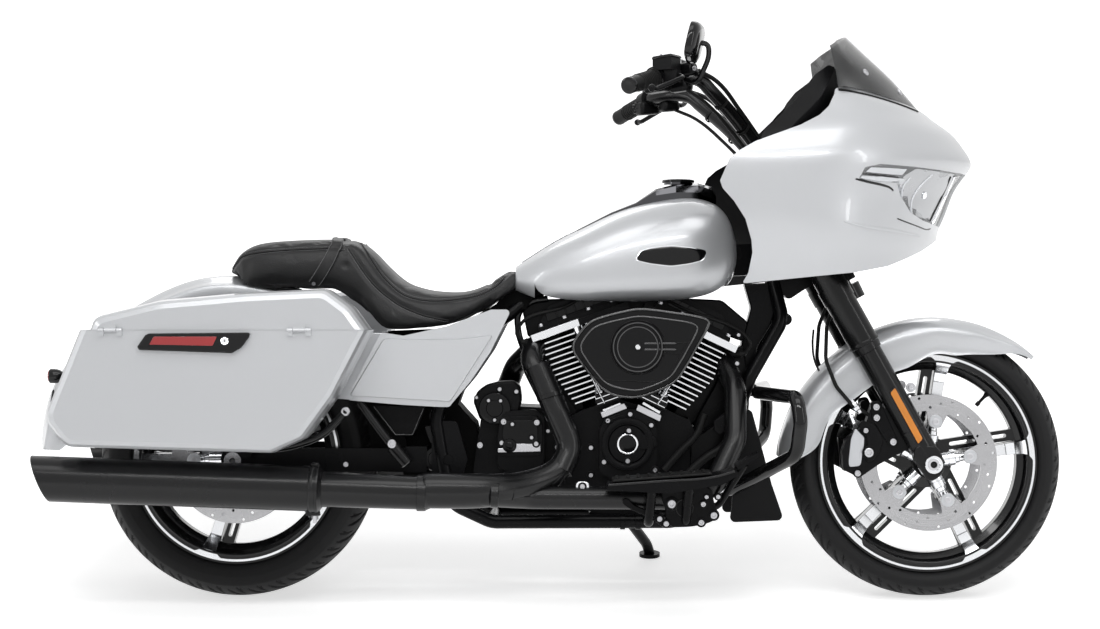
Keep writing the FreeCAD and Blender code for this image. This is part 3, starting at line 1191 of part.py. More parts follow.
supports = [cylinder("bag_support", 9, 133, Vector(x, bag_in + 0.3, z), Y_AXIS) for x, z in ((-150, 564), (240, 597))]
supports_right = cut("bag_supports_right", group("bag_support_bars", supports), [rail_room("support_room")[0]])
node("bag_supports", pair("bag_support_pair", supports_right))

# Tail: a lamp bar and a blank plate on the rear fender.

lamp_bar = block("lamp_bar", 16, 250, 18, Vector(-452, 0, 516))
lamps = []
for side in (1, -1):
    lamps.append(turned(f"tail_lamp{side}", [(0, 0), (0, 30), (14, 33), (40, 30), (52, 14), (54, 0)],
                        Vector(-428, side * 142, 516), Vector(-1, 0, 0)))
plate_back = block("plate_back", 4, 178, 102, Vector(-474, 0, 430), Rotation(Y_AXIS, 8))
plate_arm = block("plate_arm", 50, 40, 30, Vector(-450, 0, 495))
tail = cut("tail_whole", fuse("tail_body", [lamp_bar, *lamps, plate_back, plate_arm]),
           [cylinder("tail_room", 468.2, 240, rear_axle_at - point(0, 120, 0), Y_AXIS), rear_shell])
node("tail_lamps", tail)


# Fairing: fixed to the frame, a pointed nose with a lamp band, open below and behind.

# By height: nose x, rear edge x, half width.
FAIRING = [
    (700, 1590, 1150, 316), (745, 1612, 1150, 334), (800, 1640, 1150, 352), (845, 1654, 1150, 364),
    (880, 1664, 1130, 372), (930, 1684, 1100, 378), (985, 1714, 1100, 381), (1020, 1736, 1110, 378),
    (1050, 1724, 1140, 366), (1080, 1702, 1180, 347), (1110, 1668, 1220, 320), (1140, 1628, 1260, 290),
    (1170, 1560, 1300, 262), (1200, 1486, 1330, 236), (1260, 1440, 1345, 214),
]
PLAN = [(0.0, 1.0), (0.24, 1.0), (0.42, 0.965), (0.58, 0.86), (0.73, 0.68), (0.86, 0.445), (0.945, 0.225), (0.985, 0.09)]


def fairing_section(z, wall, back):
    nose, rear, half = blend(FAIRING, z)
    nose, half, rear = nose - wall * 1.5, half - wall, rear - back
    side = [Vector(rear + (nose - rear) * a, -half * b, z) for a, b in PLAN]
    line = side + [Vector(nose, 0, z)] + [Vector(p.x, -p.y, p.z) for p in reversed(side)]
    curve = Part.BSplineCurve()
    curve.interpolate(line)
    return Part.Wire([curve.toShape(), Part.LineSegment(line[-1], line[0]).toShape()])


def fairing_body(name, heights, wall, back):
    return shaped(name, lofted([fairing_section(z, wall, back) for z in heights]))


heights = [row[0] for row in FAIRING]
FAIR_WALL = number(d.panel_wall)
fairing_outer = fairing_body("fairing_outer", heights, 0.0, 0.0)
fairing_inner = fairing_body("fairing_inner", heights, FAIR_WALL, 60.0)
fairing_deep = fairing_body("fairing_deep", heights, 30.0, 60.0)
side_line = [
    (1113, 963), (1119, 947), (1144, 919), (1170, 879), (1184, 833), (1187, 805), (1179, 760), (1167, 738),
    (1176, 737), (1285, 748), (1425, 762), (1506, 777), (1552, 794), (1600, 814), (1652, 842), (1690, 874),
    (1760, 960), (1760, 1040), (1700, 1110), (1560, 1186), (1480, 1192), (1384, 1181), (1380, 1166), (1364, 1136),
    (1340, 1114), (1297, 1091), (1252, 1074), (1193, 1052), (1156, 1031), (1134, 1012),
]
fairing_side = plate("fairing_side", side_line, -420, 840, 10)
lamp_side = [(1424, 968), (1440, 996), (1478, 1004), (1740, 996), (1740, 985), (1662, 872), (1596, 884), (1560, 900),
             (1532, 934), (1520, 964)]
lamp_slot = plate("lamp_slot", lamp_side, -430, 860, 4)
lamp_fill = plate("lamp_fill", inset(lamp_side, 0.35), -430, 860, 4)
nose_strip = block("nose_strip", 300, 28, 220, Vector(1640, 0, 940))
nose_strip_wide = block("nose_strip_wide", 300, 28.7, 220, Vector(1640, 0, 940))
lamp_opening = cut("lamp_opening", lamp_slot, [nose_strip])
lamp_body = cut("lamp_body", lamp_fill, [nose_strip_wide])
fairing_shell = common("fairing_trim", cut("fairing_hollow", fairing_outer, [fairing_inner]), fairing_side)
lamps_solid = common("lamps_solid", cut("lamps_hollow", fairing_outer, [fairing_deep]), lamp_body)
node("headlamps", group("headlamp_group", [lamps_solid]))

# Screen: a smoked sheet standing on the fairing's brow.

SCREEN_WALL = number(d.windscreen_wall)
SCREEN = [
    [(1388, -225, 1222), (1426, -209, 1220), (1476, -166, 1219), (1520, -107, 1216), (1548, -48, 1212), (1556, 0, 1210)],
    [(1384, -217, 1256), (1412, -196, 1260), (1446, -151, 1265), (1474, -98, 1268), (1490, -46, 1268), (1496, 0, 1268)],
    [(1380, -202, 1284), (1396, -173, 1297), (1414, -129, 1308), (1428, -84, 1316), (1436, -40, 1320), (1440, 0, 1322)],
]


def brow_half(x, z):
    """Half the fairing's width at a place along it and a height."""
    nose, rear, half = blend(FAIRING, z)
    along = (x - rear) / (nose - rear)
    return half * blend([(a, b) for a, b in PLAN] + [(1.0, 0.0)], along)[0]


def brow_line():
    """The screen's foot: round the outside of the brow, highest at its rear ends."""
    off = SCREEN_WALL + 0.6
    foot = [Vector(x, -brow_half(x, z) - off * side, z + 2) for x, z, side in
            ((1390, 1184, 1.0), (1434, 1180, 1.0), (1500, 1170, 1.0), (1556, 1160, 0.9))]
    nose = blend(FAIRING, 1152)[0]
    foot.append(Vector(1596, -brow_half(1596 - off * 0.6, 1154) - off * 0.4, 1156))
    foot.append(Vector(nose + off, 0, 1154))
    return foot


def screen_line(right):
    return list(right) + [Vector(p.x, -p.y, p.z) for p in reversed(right[:-1])]


screen_rows = [screen_line(brow_line())] + [screen_line([Vector(*p) for p in row]) for row in SCREEN]
screen_inner = [offset_line(row, SCREEN_WALL, Z_AXIS) for row in screen_rows]
screen_sheet = shaped("screen_sheet", sheet_solid(screen_rows, screen_inner))
node("windscreen", cut("windscreen_seated", screen_sheet, [fairing_outer]))

# Dash: the black inner fairing with its instrument face, round the steering head.

BOWL = [(1196, -400, 4), (1236, -400, 4), (1262, -352, 60), (1352, -262, 60), (1404, -150, 60), (1414, 0, 2000),
        (1404, 150, 60), (1352, 262, 60), (1262, 352, 60), (1236, 400, 4), (1196, 400, 4), (1206, 352, 50),
        (1316, 250, 50), (1368, 140, 60), (1380, 0, 2000), (1368, -140, 60), (1316, -250, 50), (1206, -352, 50)]
bowl_plan = shaped("bowl_plan", outline([(x, y, 900, r) for x, y, r in BOWL]))
bowl = doc.addObject("Part::Extrusion", "dash_bowl")
bowl.Base, bowl.DirMode, bowl.Dir, bowl.Solid = bowl_plan, "Custom", Z_AXIS, True
bind(bowl, LengthFwd=400)
dash_side = [(1160, 1046), (1240, 968), (1330, 930), (1440, 930), (1440, 1150), (1404, 1232), (1376, 1240),
             (1340, 1214), (1290, 1150), (1230, 1092)]
dash_profile = plate("dash_profile", dash_side, -400, 800, 10)
dash_steer = cylinder("dash_steer", 110, 700, on_steering(700), steer_way)
eye_reach = number(d.fork_spacing + d.fork_cover_radius) + 18
eye_top = on_steering(HIGH_CLAMP + 50)
dash_eyes = cylinder("dash_eyes", eye_reach, eye_top.distanceToPoint(on_steering(700)), on_steering(700), steer_way)
fairing_slack = fairing_body("fairing_slack", heights, FAIR_WALL + 0.3, 60.0)
dash_bowl_cut = cut("dash_cut", common("dash_profiled", bowl, dash_profile), [dash_steer, dash_eyes])
dash_face = common("dash_face", dash_bowl_cut, fairing_slack)
node("dash", cut("dash_seated", dash_face, [nodes["windscreen"]]))

# The bracket that carries the fairing: a tongue off the steering neck, between the fork legs, and a cross bar.
tongue = plate("bracket_tongue", [(1400, 782), (1400, 842), (1600, 846), (1612, 800), (1590, 776)], -10, 20, 6)
cross_bar = block("bracket_cross", 24, 300, 50, Vector(1596, 0, 812))
neck_room = cylinder("bracket_neck_room", d.neck_radius + d.seat_gap, 300, on_steering(700), steer_way)
bracket = cut("bracket_cut", fuse("bracket_body", [tongue, cross_bar]), [neck_room])
node("fairing_bracket", common("bracket_trim", bracket, fairing_slack))
fairing_final = cut("fairing_whole", fairing_shell, [lamp_opening])
node("fairing", fairing_final)

# Engine guard, footboards, foot controls and stand

guard_pair = group("guard_pair", side_tubes("guard_tube", [GUARD_PATH], d.guard_radius, 44))
node("engine_guard", cut("guard_seated", guard_pair, cradle_room("guard_room")))

board_side = [(862, 278), (866, 290), (1100, 308), (1150, 322), (1156, 312), (1120, 290), (1000, 270)]
board = plate("board", board_side, -372, 118, 6)
board_arms = [tube(f"board_arm{i}", [Vector(x, -138, 190), Vector(x, -262, 196), Vector(x + 6, -304, z)], 11, 30)
              for i, (x, z) in enumerate([(960, 279), (1044, 288)])]
board_right = cut("board_seated", fuse("board_body", [board, *board_arms]), [cradle_room("board_room")[0]])
node("footboards", pair("footboard_pair", board_right))

pedal_arm = tube("pedal_arm", [Vector(1060, -118, 208), Vector(1120, -220, 230), Vector(1176, -290, 330)], 8, 40)
pedal_pad = block("pedal_pad", 60, 62, 12, Vector(1180, -305, 340), Rotation(Y_AXIS, -30))
pedal = fuse("brake_pedal", [pedal_arm, pedal_pad])
shift_rod = tube("shift_rod", [Vector(870, 330, 352), Vector(960, 350, 320), Vector(1060, 350, 326),
                               Vector(1190, 330, 372)], 7, 30)
shift_pads = [cylinder("shift_pad", 13, 46, Vector(x, 300, z), Y_AXIS) for x, z in ((868, 354), (1190, 372))]
shift_arm = tube("shift_arm", [Vector(1060, 118, 208), Vector(1062, 238, 236), Vector(1062, 238, 332),
                              Vector(1062, 352, 330)], 8, 30)
node("foot_controls", cut("foot_controls_seated", group("foot_control_group", [
    pedal, fuse("shifter", [shift_rod, *shift_pads, shift_arm])]), cradle_room("foot_room")))

ground_up = Vector(0, -math.sin(LEAN), math.cos(LEAN))
drop = number(rear_crown) * (1 - math.cos(LEAN))
foot_y = number(d.stand_foot_y)
foot_z = foot_y * math.tan(LEAN) - drop / math.cos(LEAN)
foot_at = point(d.stand_foot_x, foot_y, foot_z)
sole = cylinder("stand_sole", d.stand_foot_radius, d.stand_foot_thickness, foot_at, ground_up)
ankle = foot_at + ground_up * number(d.stand_foot_thickness)
stand_leg = tube("stand_leg", [STAND_PIVOT + Vector(2, 8, -4), STAND_PIVOT + Vector(36, 60, -46),
                               ankle + ground_up * 24 + Vector(-8, -10, 0), ankle - ground_up], d.stand_radius, 60)
knuckle = cylinder("stand_knuckle", 17, 24, STAND_PIVOT - STAND_AXIS * 12, STAND_AXIS)
stand_bore = cylinder("stand_bore", 7.3, 90, STAND_PIVOT - STAND_AXIS * 45, STAND_AXIS)
node("side_stand", cut("stand_whole", fuse("stand_body", [stand_leg, knuckle, sole]), [stand_bore]))

# Leaned over onto its stand, with the origin on the ground under the middle of the whole machine.

doc.recompute()
broken = [item.Name for item in doc.Objects if "Invalid" in item.State or "Error" in item.State]
broken += [name for name, item in nodes.items() if item.Shape.isNull() or not item.Shape.isValid()]
if broken:
    raise RuntimeError("these pieces did not build: " + ", ".join(broken))

leaned = Placement(Vector(0, 0, drop), Rotation(X_AXIS, -number(d.lean)))
for item in nodes.values():
    item.Placement = leaned.multiply(item.Placement)
corners = [p for item in nodes.values() for p in item.Shape.tessellate(0.3)[0]]
low = Vector(*(min(p[i] for p in corners) for i in range(3)))
high = Vector(*(max(p[i] for p in corners) for i in range(3)))
shift = Placement(Vector(-(low.x + high.x) / 2, -(low.y + high.y) / 2, 0), Rotation())
for item in nodes.values():
    item.Placement = shift.multiply(item.Placement)
print("extents", low, high, "shift", shift.Base, "lift", drop)

os.makedirs("parts", exist_ok=True)
for name, item in nodes.items():
    item.Shape.exportStep(f"parts/{name}.step")
print(len(nodes), "sub-parts")
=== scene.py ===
"""Touring cruiser motorcycle: materials, soft saddle, tyres, fasteners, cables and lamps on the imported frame.

Places are in the machine's own upright frame, in metres: X forward from the rear axle, Y to its left, Z up
from the ground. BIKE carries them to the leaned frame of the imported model. Pixels are the photograph's, of
1100 by 629.
"""

import json
import math

import bmesh
import bpy
from mathutils import Matrix, Vector
from mathutils.bvhtree import BVHTree
from mathutils.kdtree import KDTree


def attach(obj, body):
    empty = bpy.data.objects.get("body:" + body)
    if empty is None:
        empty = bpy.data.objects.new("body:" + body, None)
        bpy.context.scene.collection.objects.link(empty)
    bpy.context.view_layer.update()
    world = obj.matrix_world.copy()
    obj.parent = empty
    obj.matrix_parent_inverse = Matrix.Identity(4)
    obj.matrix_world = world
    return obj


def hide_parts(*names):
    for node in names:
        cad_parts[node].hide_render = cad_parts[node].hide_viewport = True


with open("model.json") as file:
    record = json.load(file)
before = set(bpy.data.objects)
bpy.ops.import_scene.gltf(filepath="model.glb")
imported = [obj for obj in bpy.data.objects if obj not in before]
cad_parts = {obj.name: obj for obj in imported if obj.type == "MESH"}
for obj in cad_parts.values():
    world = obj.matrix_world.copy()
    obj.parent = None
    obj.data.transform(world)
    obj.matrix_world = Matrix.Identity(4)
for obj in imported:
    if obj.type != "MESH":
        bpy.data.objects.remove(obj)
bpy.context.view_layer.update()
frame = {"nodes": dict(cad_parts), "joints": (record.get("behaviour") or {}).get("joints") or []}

# The machine's upright frame

JOINTS = {joint["name"]: joint for joint in frame["joints"]}
REAR_RADIUS = 0.3276
REAR_AXLE = Vector((0, 0, REAR_RADIUS))
across = Vector(JOINTS["rear_wheel_spin"]["axis"])
lean_turn = Matrix.Rotation(math.atan2(across.z, across.y), 4, "X")
BIKE = Matrix.Translation(Vector(JOINTS["rear_wheel_spin"]["pos_m"]) - lean_turn @ REAR_AXLE) @ lean_turn
FRONT_AXLE = BIKE.inverted() @ Vector(JOINTS["front_wheel_spin"]["pos_m"])
FORK_TILT = math.radians(29.25)
FORK_WAY = Vector((-math.sin(FORK_TILT), 0, math.cos(FORK_TILT)))
FORK_SPACING = 0.108
CRANK = Vector((0.918, 0, 0.330))
CYLINDER_ANGLES = {"rear": math.radians(3 - 22.5), "front": math.radians(3 + 22.5)}
UP = (0, 0, 1)
OUT_RIGHT = (0, -1, 0)
SIDES = ((-1, "right"), (1, "left"))

# Camera, as the photograph was taken: level with the machine, square to its right side

CAMERA_AT = Vector((0.759, -5.400, 0.677))
FOCAL_PIXELS = 2270
IMAGE_WIDTH, IMAGE_HEIGHT = 1100, 629
PRINCIPAL = (560, 310)


def placed(name, data):
    """A new object in the scene, in the machine's frame."""
    item = bpy.data.objects.new(name, data)
    bpy.context.scene.collection.objects.link(item)
    item.matrix_world = BIKE
    return item


def make_camera():
    data = bpy.data.cameras.new("camera")
    data.sensor_width = 36
    data.lens = FOCAL_PIXELS / IMAGE_WIDTH * data.sensor_width
    data.shift_x = (IMAGE_WIDTH / 2 - PRINCIPAL[0]) / IMAGE_WIDTH
    data.shift_y = (PRINCIPAL[1] - IMAGE_HEIGHT / 2) / IMAGE_WIDTH
    data.clip_end = 400
    camera = placed("camera", data)
    camera.matrix_world = BIKE @ Matrix.Translation(CAMERA_AT) @ Matrix.Rotation(math.radians(90), 4, "X")
    bpy.context.scene.camera = camera


def photo(u, v, y):
    """The place at y that the photograph shows at that pixel."""
    depth = (y - CAMERA_AT.y) / FOCAL_PIXELS
    return Vector((CAMERA_AT.x + (u - PRINCIPAL[0]) * depth, y, CAMERA_AT.z - (v - PRINCIPAL[1]) * depth))


# Materials

def shade(tree, kind, inputs, output=0, **settings):
    """Adds a shader node, each input linked from a socket or set to a value, and gives one output."""
    item = tree.nodes.new("ShaderNode" + kind)
    for key, value in settings.items():
        setattr(item, key, value)
    for key, value in inputs.items():
        if isinstance(value, bpy.types.NodeSocket):
            tree.links.new(value, item.inputs[key])
        else:
            item.inputs[key].default_value = value
    return item.outputs[output]


def texture_space(tree, scale=(1, 1, 1)):
    return shade(tree, "Mapping", {"Vector": shade(tree, "TexCoord", {}, "Object"), "Scale": scale})


def noise_texture(tree, space, scale, detail):
    return shade(tree, "TexNoise", {"Scale": scale, "Detail": detail, "Roughness": 0.55, "Vector": space},
                 "Fac")


def remap(tree, value, low, high, from_low=0.3, from_high=0.7):
    return shade(tree, "MapRange", {"From Min": from_low, "From Max": from_high, "To Min": low,
                                    "To Max": high, "Value": value}, "Result")


def mix_colours(tree, factor, first, second):
    return shade(tree, "Mix", {"Factor": factor, "A": (*first, 1), "B": (*second, 1)}, "Result",
                 data_type="RGBA")


def bump(tree, height, strength, distance, **below):
    return shade(tree, "Bump", {"Strength": strength, "Distance": distance, "Height": height, **below},
                 "Normal")


def bump_over(tree, height, strength, distance):
    """One more bump, over the one that the shader has."""
    normal = tree.nodes["Principled BSDF"].inputs["Normal"]
    tree.links.new(bump(tree, height, strength, distance, Normal=normal.links[0].from_socket), normal)


def surface(name, colour, metallic, roughness, grain=(220, 0.1, 0.0004), spread=0.08, tone=0.12,
            stretch=(1, 1, 1), coat=0.0, coat_roughness=0.03, specular=0.5, wear_scale=9, sheen=0.0):
    """A principled surface whose colour and roughness wander a little.

    Its fine grain has a scale, a strength and a height.
    """
    made = bpy.data.materials.new(name)
    made.use_nodes = True
    tree = made.node_tree
    sockets = tree.nodes["Principled BSDF"].inputs
    for key, value in (("Metallic", metallic), ("Specular IOR Level", specular), ("Coat Weight", coat),
                       ("Coat Roughness", coat_roughness), ("Sheen Weight", sheen)):
        sockets[key].default_value = value
    space = texture_space(tree, stretch)
    broad = noise_texture(tree, space, wear_scale, 5)
    dark = tuple(c * (1 - tone) for c in colour)
    light = tuple(min(1.0, c * (1 + tone)) for c in colour)
    tree.links.new(mix_colours(tree, broad, dark, light), sockets["Base Color"])
    tree.links.new(remap(tree, broad, roughness - spread / 2, roughness + spread / 2), sockets["Roughness"])
    fine = noise_texture(tree, space, grain[0], 3)
    tree.links.new(bump(tree, fine, grain[1], grain[2]), sockets["Normal"])
    made.diffuse_color = (*colour, 1)
    return made


def glass(name, colour, alpha, roughness=0.04, emission=0.0):
    """A thin see-through moulding, tinted, with fine surface waves."""
    made = surface(name, colour, 0.0, roughness, grain=(40, 0.04, 0.0003), spread=0.03, coat=0.6)
    sockets = made.node_tree.nodes["Principled BSDF"].inputs
    sockets["Alpha"].default_value = alpha
    sockets["Emission Color"].default_value = (*colour, 1)
    sockets["Emission Strength"].default_value = emission
    return made


def pearl_paint():
    """Light silver pearl under clear coat: flakes sparkle in the colour."""
    made = surface("pearl_paint", (0.60, 0.615, 0.64), 0.35, 0.34, grain=(1500, 0.05, 0.0001), spread=0.05,
                   tone=0.03, coat=0.6, coat_roughness=0.02, wear_scale=3)
    tree = made.node_tree
    flakes = shade(tree, "TexVoronoi", {"Scale": 2200, "Vector": texture_space(tree)}, "Distance")
    share = remap(tree, flakes, 1.0, 0.0, 0.0, 0.6)
    colours = mix_colours(tree, share, (0.545, 0.556, 0.575), (0.61, 0.62, 0.635))
    tree.links.new(colours, tree.nodes["Principled BSDF"].inputs["Base Color"])
    return made


def turned_metal(name, centre):
    """Disc steel with fine lathe rings round an axle that runs along Y through centre."""
    made = surface(name, (0.44, 0.44, 0.45), 1.0, 0.24, grain=(900, 0.05, 0.0001), spread=0.12, tone=0.05)
    tree = made.node_tree
    spot = shade(tree, "Mapping", {"Location": (-centre.x, 0, -centre.z),
                                   "Vector": shade(tree, "TexCoord", {}, "Object")})
    flat = shade(tree, "VectorMath", {0: spot, 1: (1, 0, 1)}, "Vector", operation="MULTIPLY")
    reach = shade(tree, "VectorMath", {0: flat}, "Value", operation="LENGTH")
    rings = shade(tree, "TexNoise", {"Scale": 2200, "Detail": 3, "W": reach}, "Fac", noise_dimensions="1D")
    bump_over(tree, rings, 0.25, 0.0003)
    return made


def leather():
    """Black grained vinyl: pebbles from a cell texture over broad soft creases."""
    made = surface("saddle_leather", (0.012, 0.012, 0.0125), 0.0, 0.42, grain=(18, 0.18, 0.003), spread=0.16,
                   tone=0.25, specular=0.28, wear_scale=14)
    tree = made.node_tree
    cells = shade(tree, "TexVoronoi", {"Scale": 420, "Vector": texture_space(tree)}, "Distance",
                  feature="SMOOTH_F1")
    bump_over(tree, cells, 0.35, 0.0009)
    return made


# Each material's name, grey level or colour, metallic, roughness, grain and spread, then what else it sets
SURFACES = {
    "gloss": ("gloss_black", (0.004, 0.004, 0.0045), 0.0, 0.09, (1200, 0.03, 0.0001), 0.06,
              {"wear_scale": 4, "specular": 0.30}),
    "satin": ("satin_black", (0.004, 0.004, 0.0045), 0.0, 0.26, (700, 0.10, 0.0003), 0.1, {"specular": 0.10}),
    "fork": ("fork_black", (0.007, 0.007, 0.0075), 0.0, 0.20, (500, 0.05, 0.0002), 0.08, {"specular": 0.25}),
    "engine": ("wrinkle_black", (0.0045, 0.0045, 0.005), 0.0, 0.36, (520, 0.55, 0.0012), 0.1,
               {"specular": 0.10}),
    "engine_smooth": ("engine_gloss", (0.005, 0.005, 0.0055), 0.0, 0.17, (260, 0.06, 0.0004), 0.08,
                      {"specular": 0.18}),
    "exhaust": ("exhaust_black", (0.006, 0.006, 0.0065), 0.0, 0.25, (420, 0.08, 0.0003), 0.10,
                {"tone": 0.3, "wear_scale": 6, "specular": 0.30}),
    "machined": ("machined", (0.80, 0.81, 0.83), 1.0, 0.20, (900, 0.12, 0.0003), 0.1,
                 {"tone": 0.05, "stretch": (1, 1, 0.2)}),
    "chrome": ("chrome", (0.86, 0.87, 0.89), 1.0, 0.07, (300, 0.02, 0.0001), 0.04, {"tone": 0.02}),
    "cast": ("cast_alloy", (0.50, 0.51, 0.53), 0.9, 0.38, (620, 0.35, 0.0006), 0.14, {"tone": 0.1}),
    "steel": ("satin_steel", (0.55, 0.55, 0.57), 1.0, 0.30, (800, 0.15, 0.0003), 0.12, {}),
    "dark_steel": ("dark_steel", (0.16, 0.16, 0.17), 1.0, 0.34, (600, 0.2, 0.0004), 0.14, {}),
    "wheel": ("wheel_black", (0.006, 0.006, 0.0065), 0.0, 0.18, (400, 0.04, 0.0002), 0.08,
              {"coat": 0.3, "coat_roughness": 0.05, "specular": 0.2}),
    "tyre": ("tyre_rubber", (0.012, 0.012, 0.0125), 0.0, 0.55, (900, 0.35, 0.0006), 0.14,
             {"tone": 0.3, "wear_scale": 12, "specular": 0.18}),
    "rubber": ("rubber", (0.009, 0.009, 0.009), 0.0, 0.52, (800, 0.3, 0.0005), 0.12,
               {"tone": 0.2, "specular": 0.15}),
    "plastic": ("moulded_black", (0.005, 0.005, 0.0055), 0.0, 0.36, (900, 0.4, 0.0005), 0.08,
                {"specular": 0.12}),
    "thread": ("thread", (0.16, 0.16, 0.165), 0.0, 0.6, (2600, 0.6, 0.0006), 0.1, {"sheen": 0.2}),
    "mirror": ("mirror_glass", (0.75, 0.77, 0.80), 1.0, 0.03, (10, 0.01, 0.0001), 0.02, {"tone": 0.01}),
    "reflector": ("lamp_reflector", (0.36, 0.365, 0.375), 1.0, 0.22, (120, 0.10, 0.0006), 0.12,
                  {"tone": 0.1}),
    "dark_chrome": ("dark_chrome", (0.075, 0.075, 0.08), 1.0, 0.08, (200, 0.02, 0.0001), 0.04, {}),
    # near-black and all but unreflecting: painted shade, for plates set where gaps are dark
    "shade": ("painted_shade_black", (0.003, 0.003, 0.003), 0.0, 0.60, (400, 0.2, 0.0004), 0.1, {"specular": 0.04}),
    "edge": ("polished_edge", (0.02, 0.02, 0.021), 0.0, 0.10, (300, 0.03, 0.0001), 0.05, {"specular": 1.0}),
}

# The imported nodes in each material
CAD_FINISH = {
    "satin": "frame fairing_bracket swingarm rear_shocks rear_caliper bag_supports footboards foot_controls "
             "mirrors side_stand",
    "engine": "crankcase cylinders cylinder_heads cam_cover gearbox primary_cover front_calipers",
    "engine_smooth": "air_cleaner",
    "chrome": "pushrod_tubes",
    "plastic": "chin_cover dash hand_controls",
    "exhaust": "exhaust_headers mufflers",
    "steel": "rear_axle front_axle",
    "rubber": "drive_belt grips brake_lines",
    "paint": "fuel_tank rear_fender side_covers saddlebag_right saddlebag_left fairing front_fender "
             "lid_right lid_left",
    "dark_chrome": "tank_console",
    "leather": "seat",
    "gloss": "bag_latches tail_lamps engine_guard handlebar",
    "lens": "headlamps",
    "smoked": "windscreen",
    "fork": "triple_clamps fork_legs",
    "tyre": "front_tyre rear_tyre",
    "wheel": "front_rim rear_rim",
    "front_disc": "front_discs",
    "rear_disc": "rear_disc",
    "cast": "rear_pulley",
}
SOFT_EDGED = ("hand_controls", "air_cleaner", "cam_cover", "gearbox", "front_calipers", "footboards",
              "chin_cover", "primary_cover")
MAT = {}


def make_materials():
    for key, (name, colour, metallic, roughness, grain, spread, more) in SURFACES.items():
        MAT[key] = surface(name, colour, metallic, roughness, grain, spread, **more)
    MAT["paint"] = pearl_paint()
    MAT["leather"] = leather()
    MAT["smoked"] = glass("smoked_screen", (0.010, 0.011, 0.012), 0.70)
    MAT["lens"] = glass("clear_lens", (0.80, 0.82, 0.84), 0.30)
    MAT["red"] = glass("red_lens", (0.42, 0.012, 0.015), 0.94, 0.12)
    MAT["amber"] = glass("amber_lens", (0.80, 0.26, 0.01), 0.97, 0.16)
    MAT["led"] = glass("led_white", (0.74, 0.76, 0.79), 1.0, 0.2, 0.10)
    MAT["front_disc"] = turned_metal("front_disc_steel", BIKE @ FRONT_AXLE)
    MAT["rear_disc"] = turned_metal("rear_disc_steel", BIKE @ REAR_AXLE)


def finish_cad():
    for material, names in CAD_FINISH.items():
        for name in names.split():
            item = frame["nodes"][name]
            item.data.materials.clear()
            item.data.materials.append(MAT[material])
            if name in SOFT_EDGED:
                bevelled(item, 0.0012, 2, 40)


# Building pieces, all in the machine's frame

def mm(*values):
    """(distance, radius) pairs in metres, from a flat row in millimetres."""
    return [(a / 1000, b / 1000) for a, b in zip(values[::2], values[1::2])]


def add_piece(name, data, material, body="chassis"):
    piece = placed(name, data)
    data.materials.append(MAT[material])
    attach(piece, body)
    return piece


def mesh_of(name, bm, sharp=None):
    """A mesh from bm, which is used up; shaded smooth up to the angle sharp."""
    data = bpy.data.meshes.new(name)
    bm.to_mesh(data)
    bm.free()
    if sharp is not None:
        for polygon in data.polygons:
            polygon.use_smooth = True
        data.set_sharp_from_angle(angle=math.radians(sharp))
    return data


def from_mesh(name, bm, material, body="chassis", sharp=30, slot=None):
    bmesh.ops.recalc_face_normals(bm, faces=bm.faces)
    return add_piece(name, mesh_of(name, bm, sharp), material, body)


def bevelled(piece, width, segments=2, angle=35):
    item = piece.modifiers.new("edges", "BEVEL")
    item.width = width
    item.segments = segments
    item.limit_method = "ANGLE"
    item.angle_limit = math.radians(angle)
    item.harden_normals = False
    return piece


def basis(along, towards=None):
    """A rotation whose Z runs along, its X as near towards as it can be."""
    z = Vector(along).normalized()
    guess = Vector(towards or (UP if abs(z.z) < 0.9 else (1, 0, 0)))
    x = (guess - z * guess.dot(z)).normalized()
    return Matrix((x, z.cross(x), z)).transposed().to_4x4()


def skin_rings(bm, rings):
    """Joins each closed ring of vertices to the next."""
    count = len(rings[0])
    for low, high in zip(rings, rings[1:]):
        for k in range(count):
            j = (k + 1) % count
            bm.faces.new((low[k], low[j], high[j], high[k]))


def lathe_into(bm, profile, at, along, steps=48):
    """Adds the surface of (distance along, radius) points turned round an axis."""
    turn = basis(along)
    rings = []
    for distance, radius in profile:
        if radius < 1e-7:
            rings.append([bm.verts.new(at + turn @ Vector((0, 0, distance)))])
            continue
        ring = []
        for i in range(steps):
            angle = 2 * math.pi * i / steps
            ring.append(bm.verts.new(at + turn @ Vector((radius * math.cos(angle), radius * math.sin(angle),
                                                         distance))))
        rings.append(ring)
    for low, high in zip(rings, rings[1:]):
        for i in range(steps):
            j = (i + 1) % steps
            around = (low[i % len(low)], low[j % len(low)], high[j % len(high)], high[i % len(high)])
            corners = list(dict.fromkeys(around))
            if len(corners) > 2:
                bm.faces.new(corners)


def lathe(name, profile, at, along, material, body="chassis", steps=48, sharp=35, slot=None):
    bm = bmesh.new()
    lathe_into(bm, profile, Vector(at), along, steps)
    return from_mesh(name, bm, material, body, sharp, slot)


def slab_into(bm, corners, thickness):
    """Adds a flat piece between corners and the same corners moved by the vector thickness."""
    low = [bm.verts.new(c) for c in corners]
    high = [bm.verts.new(Vector(c) + Vector(thickness)) for c in corners]
    bm.faces.new(low)
    bm.faces.new(high[::-1])
    skin_rings(bm, (low, high))


def slab(name, corners, thickness, material, bevel, segments=2, **more):
    """A bevelled piece of one slab."""
    bm = bmesh.new()
    slab_into(bm, corners, thickness)
    return bevelled(from_mesh(name, bm, material, **more), bevel, segments)


